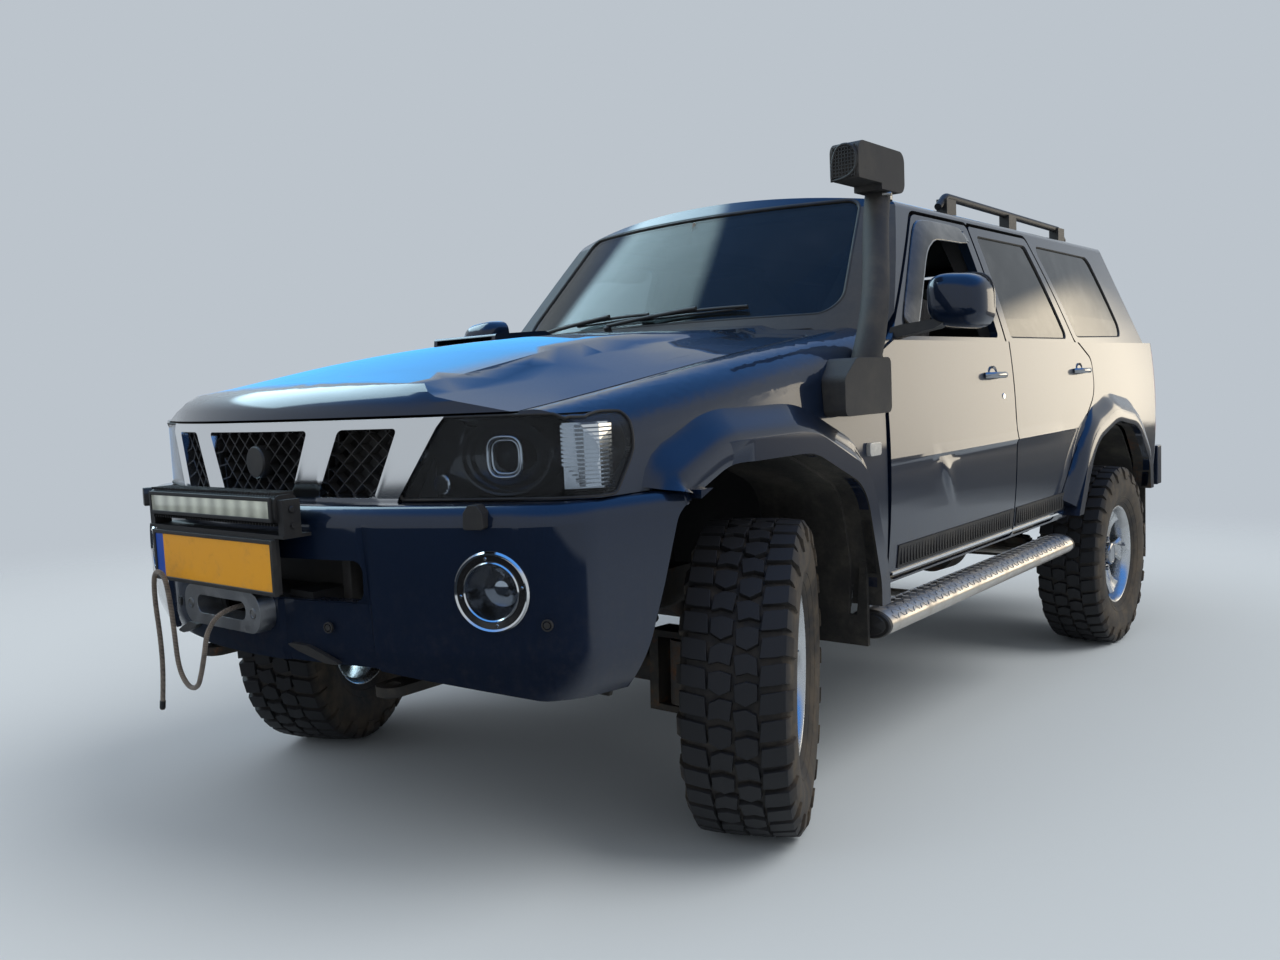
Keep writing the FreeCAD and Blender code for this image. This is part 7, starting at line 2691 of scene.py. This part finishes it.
# ------------------------------------------------------------------ underneath
@dataclass
class Underbody:
    """Coil springs, dampers, exhaust and propeller shafts."""
    # Coil springs with their bump-stop tubes, and the exhaust.

    shop: Workshop

    def coil(self, x: float, y: float, z0: float, z1: float) -> BMesh:
        """One coil spring with its bump-stop tube, in the level frame.

        Args:
            x: its place across.
            y: its place along.
            z0: foot.
            z1: head.

        Returns:
            The spring.
        """
        bm = new_mesh()
        turns = 4.0
        points = []
        for i in range(97):
            t = i / 96
            a = 2 * math.pi * (turns + 1.0) * t
            rise = min(max((t - 0.09) / 0.82, 0.0), 1.0)
            points.append((x + 0.048 * math.cos(a), y + 0.048 * math.sin(a),
                           z0 + 0.008 + (z1 - z0 - 0.016) * rise))
        curve_tube(bm, points, 0.0070, 8)
        rod(bm, (x, y, z0), (x, y, z1), 0.020, 20, 0.003)
        for z in (z0, z1 - 0.010):
            rod(bm, (x, y, z), (x, y, z + 0.010), 0.056, 32, 0.002)
        return bm

    def build(self) -> None:
        """Makes all four springs and the pipes."""
        bm = new_mesh()
        for y, top in ((-WHEELBASE / 2, 0.646), (WHEELBASE / 2, 0.755)):
            for sign in (1, -1):
                absorb(bm, self.coil(sign * 0.490, y, 0.462, top))
        self.shop.piece("coil_springs", bm, SPRING, "car", where=LEVEL, sharp=50.0,
                        stands_for=["springs_dampers"])
        pipe = new_mesh()
        curve_tube(pipe, [(0.24, -1.05, 0.62), (0.25, -0.70, 0.47), (0.26, 0.10, 0.45), (0.26, 0.90, 0.46),
                          (0.24, 1.30, 0.64), (0.24, 1.72, 0.66)], 0.028, 16)
        rod(pipe, (0.26, 0.15, 0.45), (0.26, 0.75, 0.455), 0.075, 28, 0.012)
        self.shop.piece("exhaust", pipe, IRON, "car", sharp=40.0)


@dataclass
class WinchRope:
    """The braided rope that hangs from the fairlead, with a whipped end."""

    shop: Workshop
    radius: float = 0.006
    length: float = 0.990
    route: Sequence[Point] = (
        (0.040, -2.392, 0.760), (0.038, -2.446, 0.759), (0.016, -2.476, 0.715), (-0.002, -2.478, 0.655),
        (-0.024, -2.478, 0.604), (-0.046, -2.478, 0.566), (-0.092, -2.478, 0.562), (-0.132, -2.478, 0.604),
        (-0.138, -2.478, 0.690), (-0.143, -2.480, 0.772), (-0.156, -2.483, 0.836), (-0.205, -2.483, 0.840),
        (-0.216, -2.482, 0.772), (-0.206, -2.480, 0.670), (-0.209, -2.479, 0.575), (-0.231, -2.478, 0.486))

    def build(self) -> None:
        """Makes the rope."""
        curve = bpy.data.curves.new("winch_rope_braid", "CURVE")
        curve.dimensions = "3D"
        curve.bevel_depth = self.radius
        curve.bevel_resolution = 4
        curve.resolution_u = 8
        curve.use_fill_caps = True
        line = curve.splines.new("NURBS")
        line.points.add(len(self.route) - 1)
        for point, place in zip(line.points, self.route):
            point.co = (*(BODY @ Vector(place)), 1.0)
        line.order_u = 3
        line.use_endpoint_u = True
        obj = bpy.data.objects.new("winch_rope_braid", curve)
        bpy.context.scene.collection.objects.link(obj)
        curve.materials.append(ROPE_BRAID.material())
        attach(obj, "car")
        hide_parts("winch_rope")
        end, before = Vector(self.route[-1]), Vector(self.route[-2])
        along = (end - before).normalized()
        bm = new_mesh()
        for i in range(7):
            at = end - along * (0.004 + 0.0030 * i)
            lathe(bm, [(0.0060, -0.0014), (0.0071, -0.0007), (0.0071, 0.0007), (0.0060, 0.0014),
                       (0.0050, 0.0), (0.0060, -0.0014)], at, along, 20)
        whip = self.shop.piece("rope_whipping", bm, TRIM, "car", sharp=60.0)


def main() -> None:
    """Builds the whole car."""
    logging.basicConfig(level=logging.INFO, format="%(message)s")
    Setting().build()
    shop = Workshop()
    WinchRope(shop).build()
    for part in (BodySkin, Flares, Grille, Headlamps, BumperFittings, RecoveryGear, Wheels, SideTrim,
                 Snorkel, Glasshouse, Tail, Seat, Cockpit, Underbody):
        part(shop).build()
    LOG.info("%d pieces", len(shop.made))


if __name__ == "__main__":
    main()
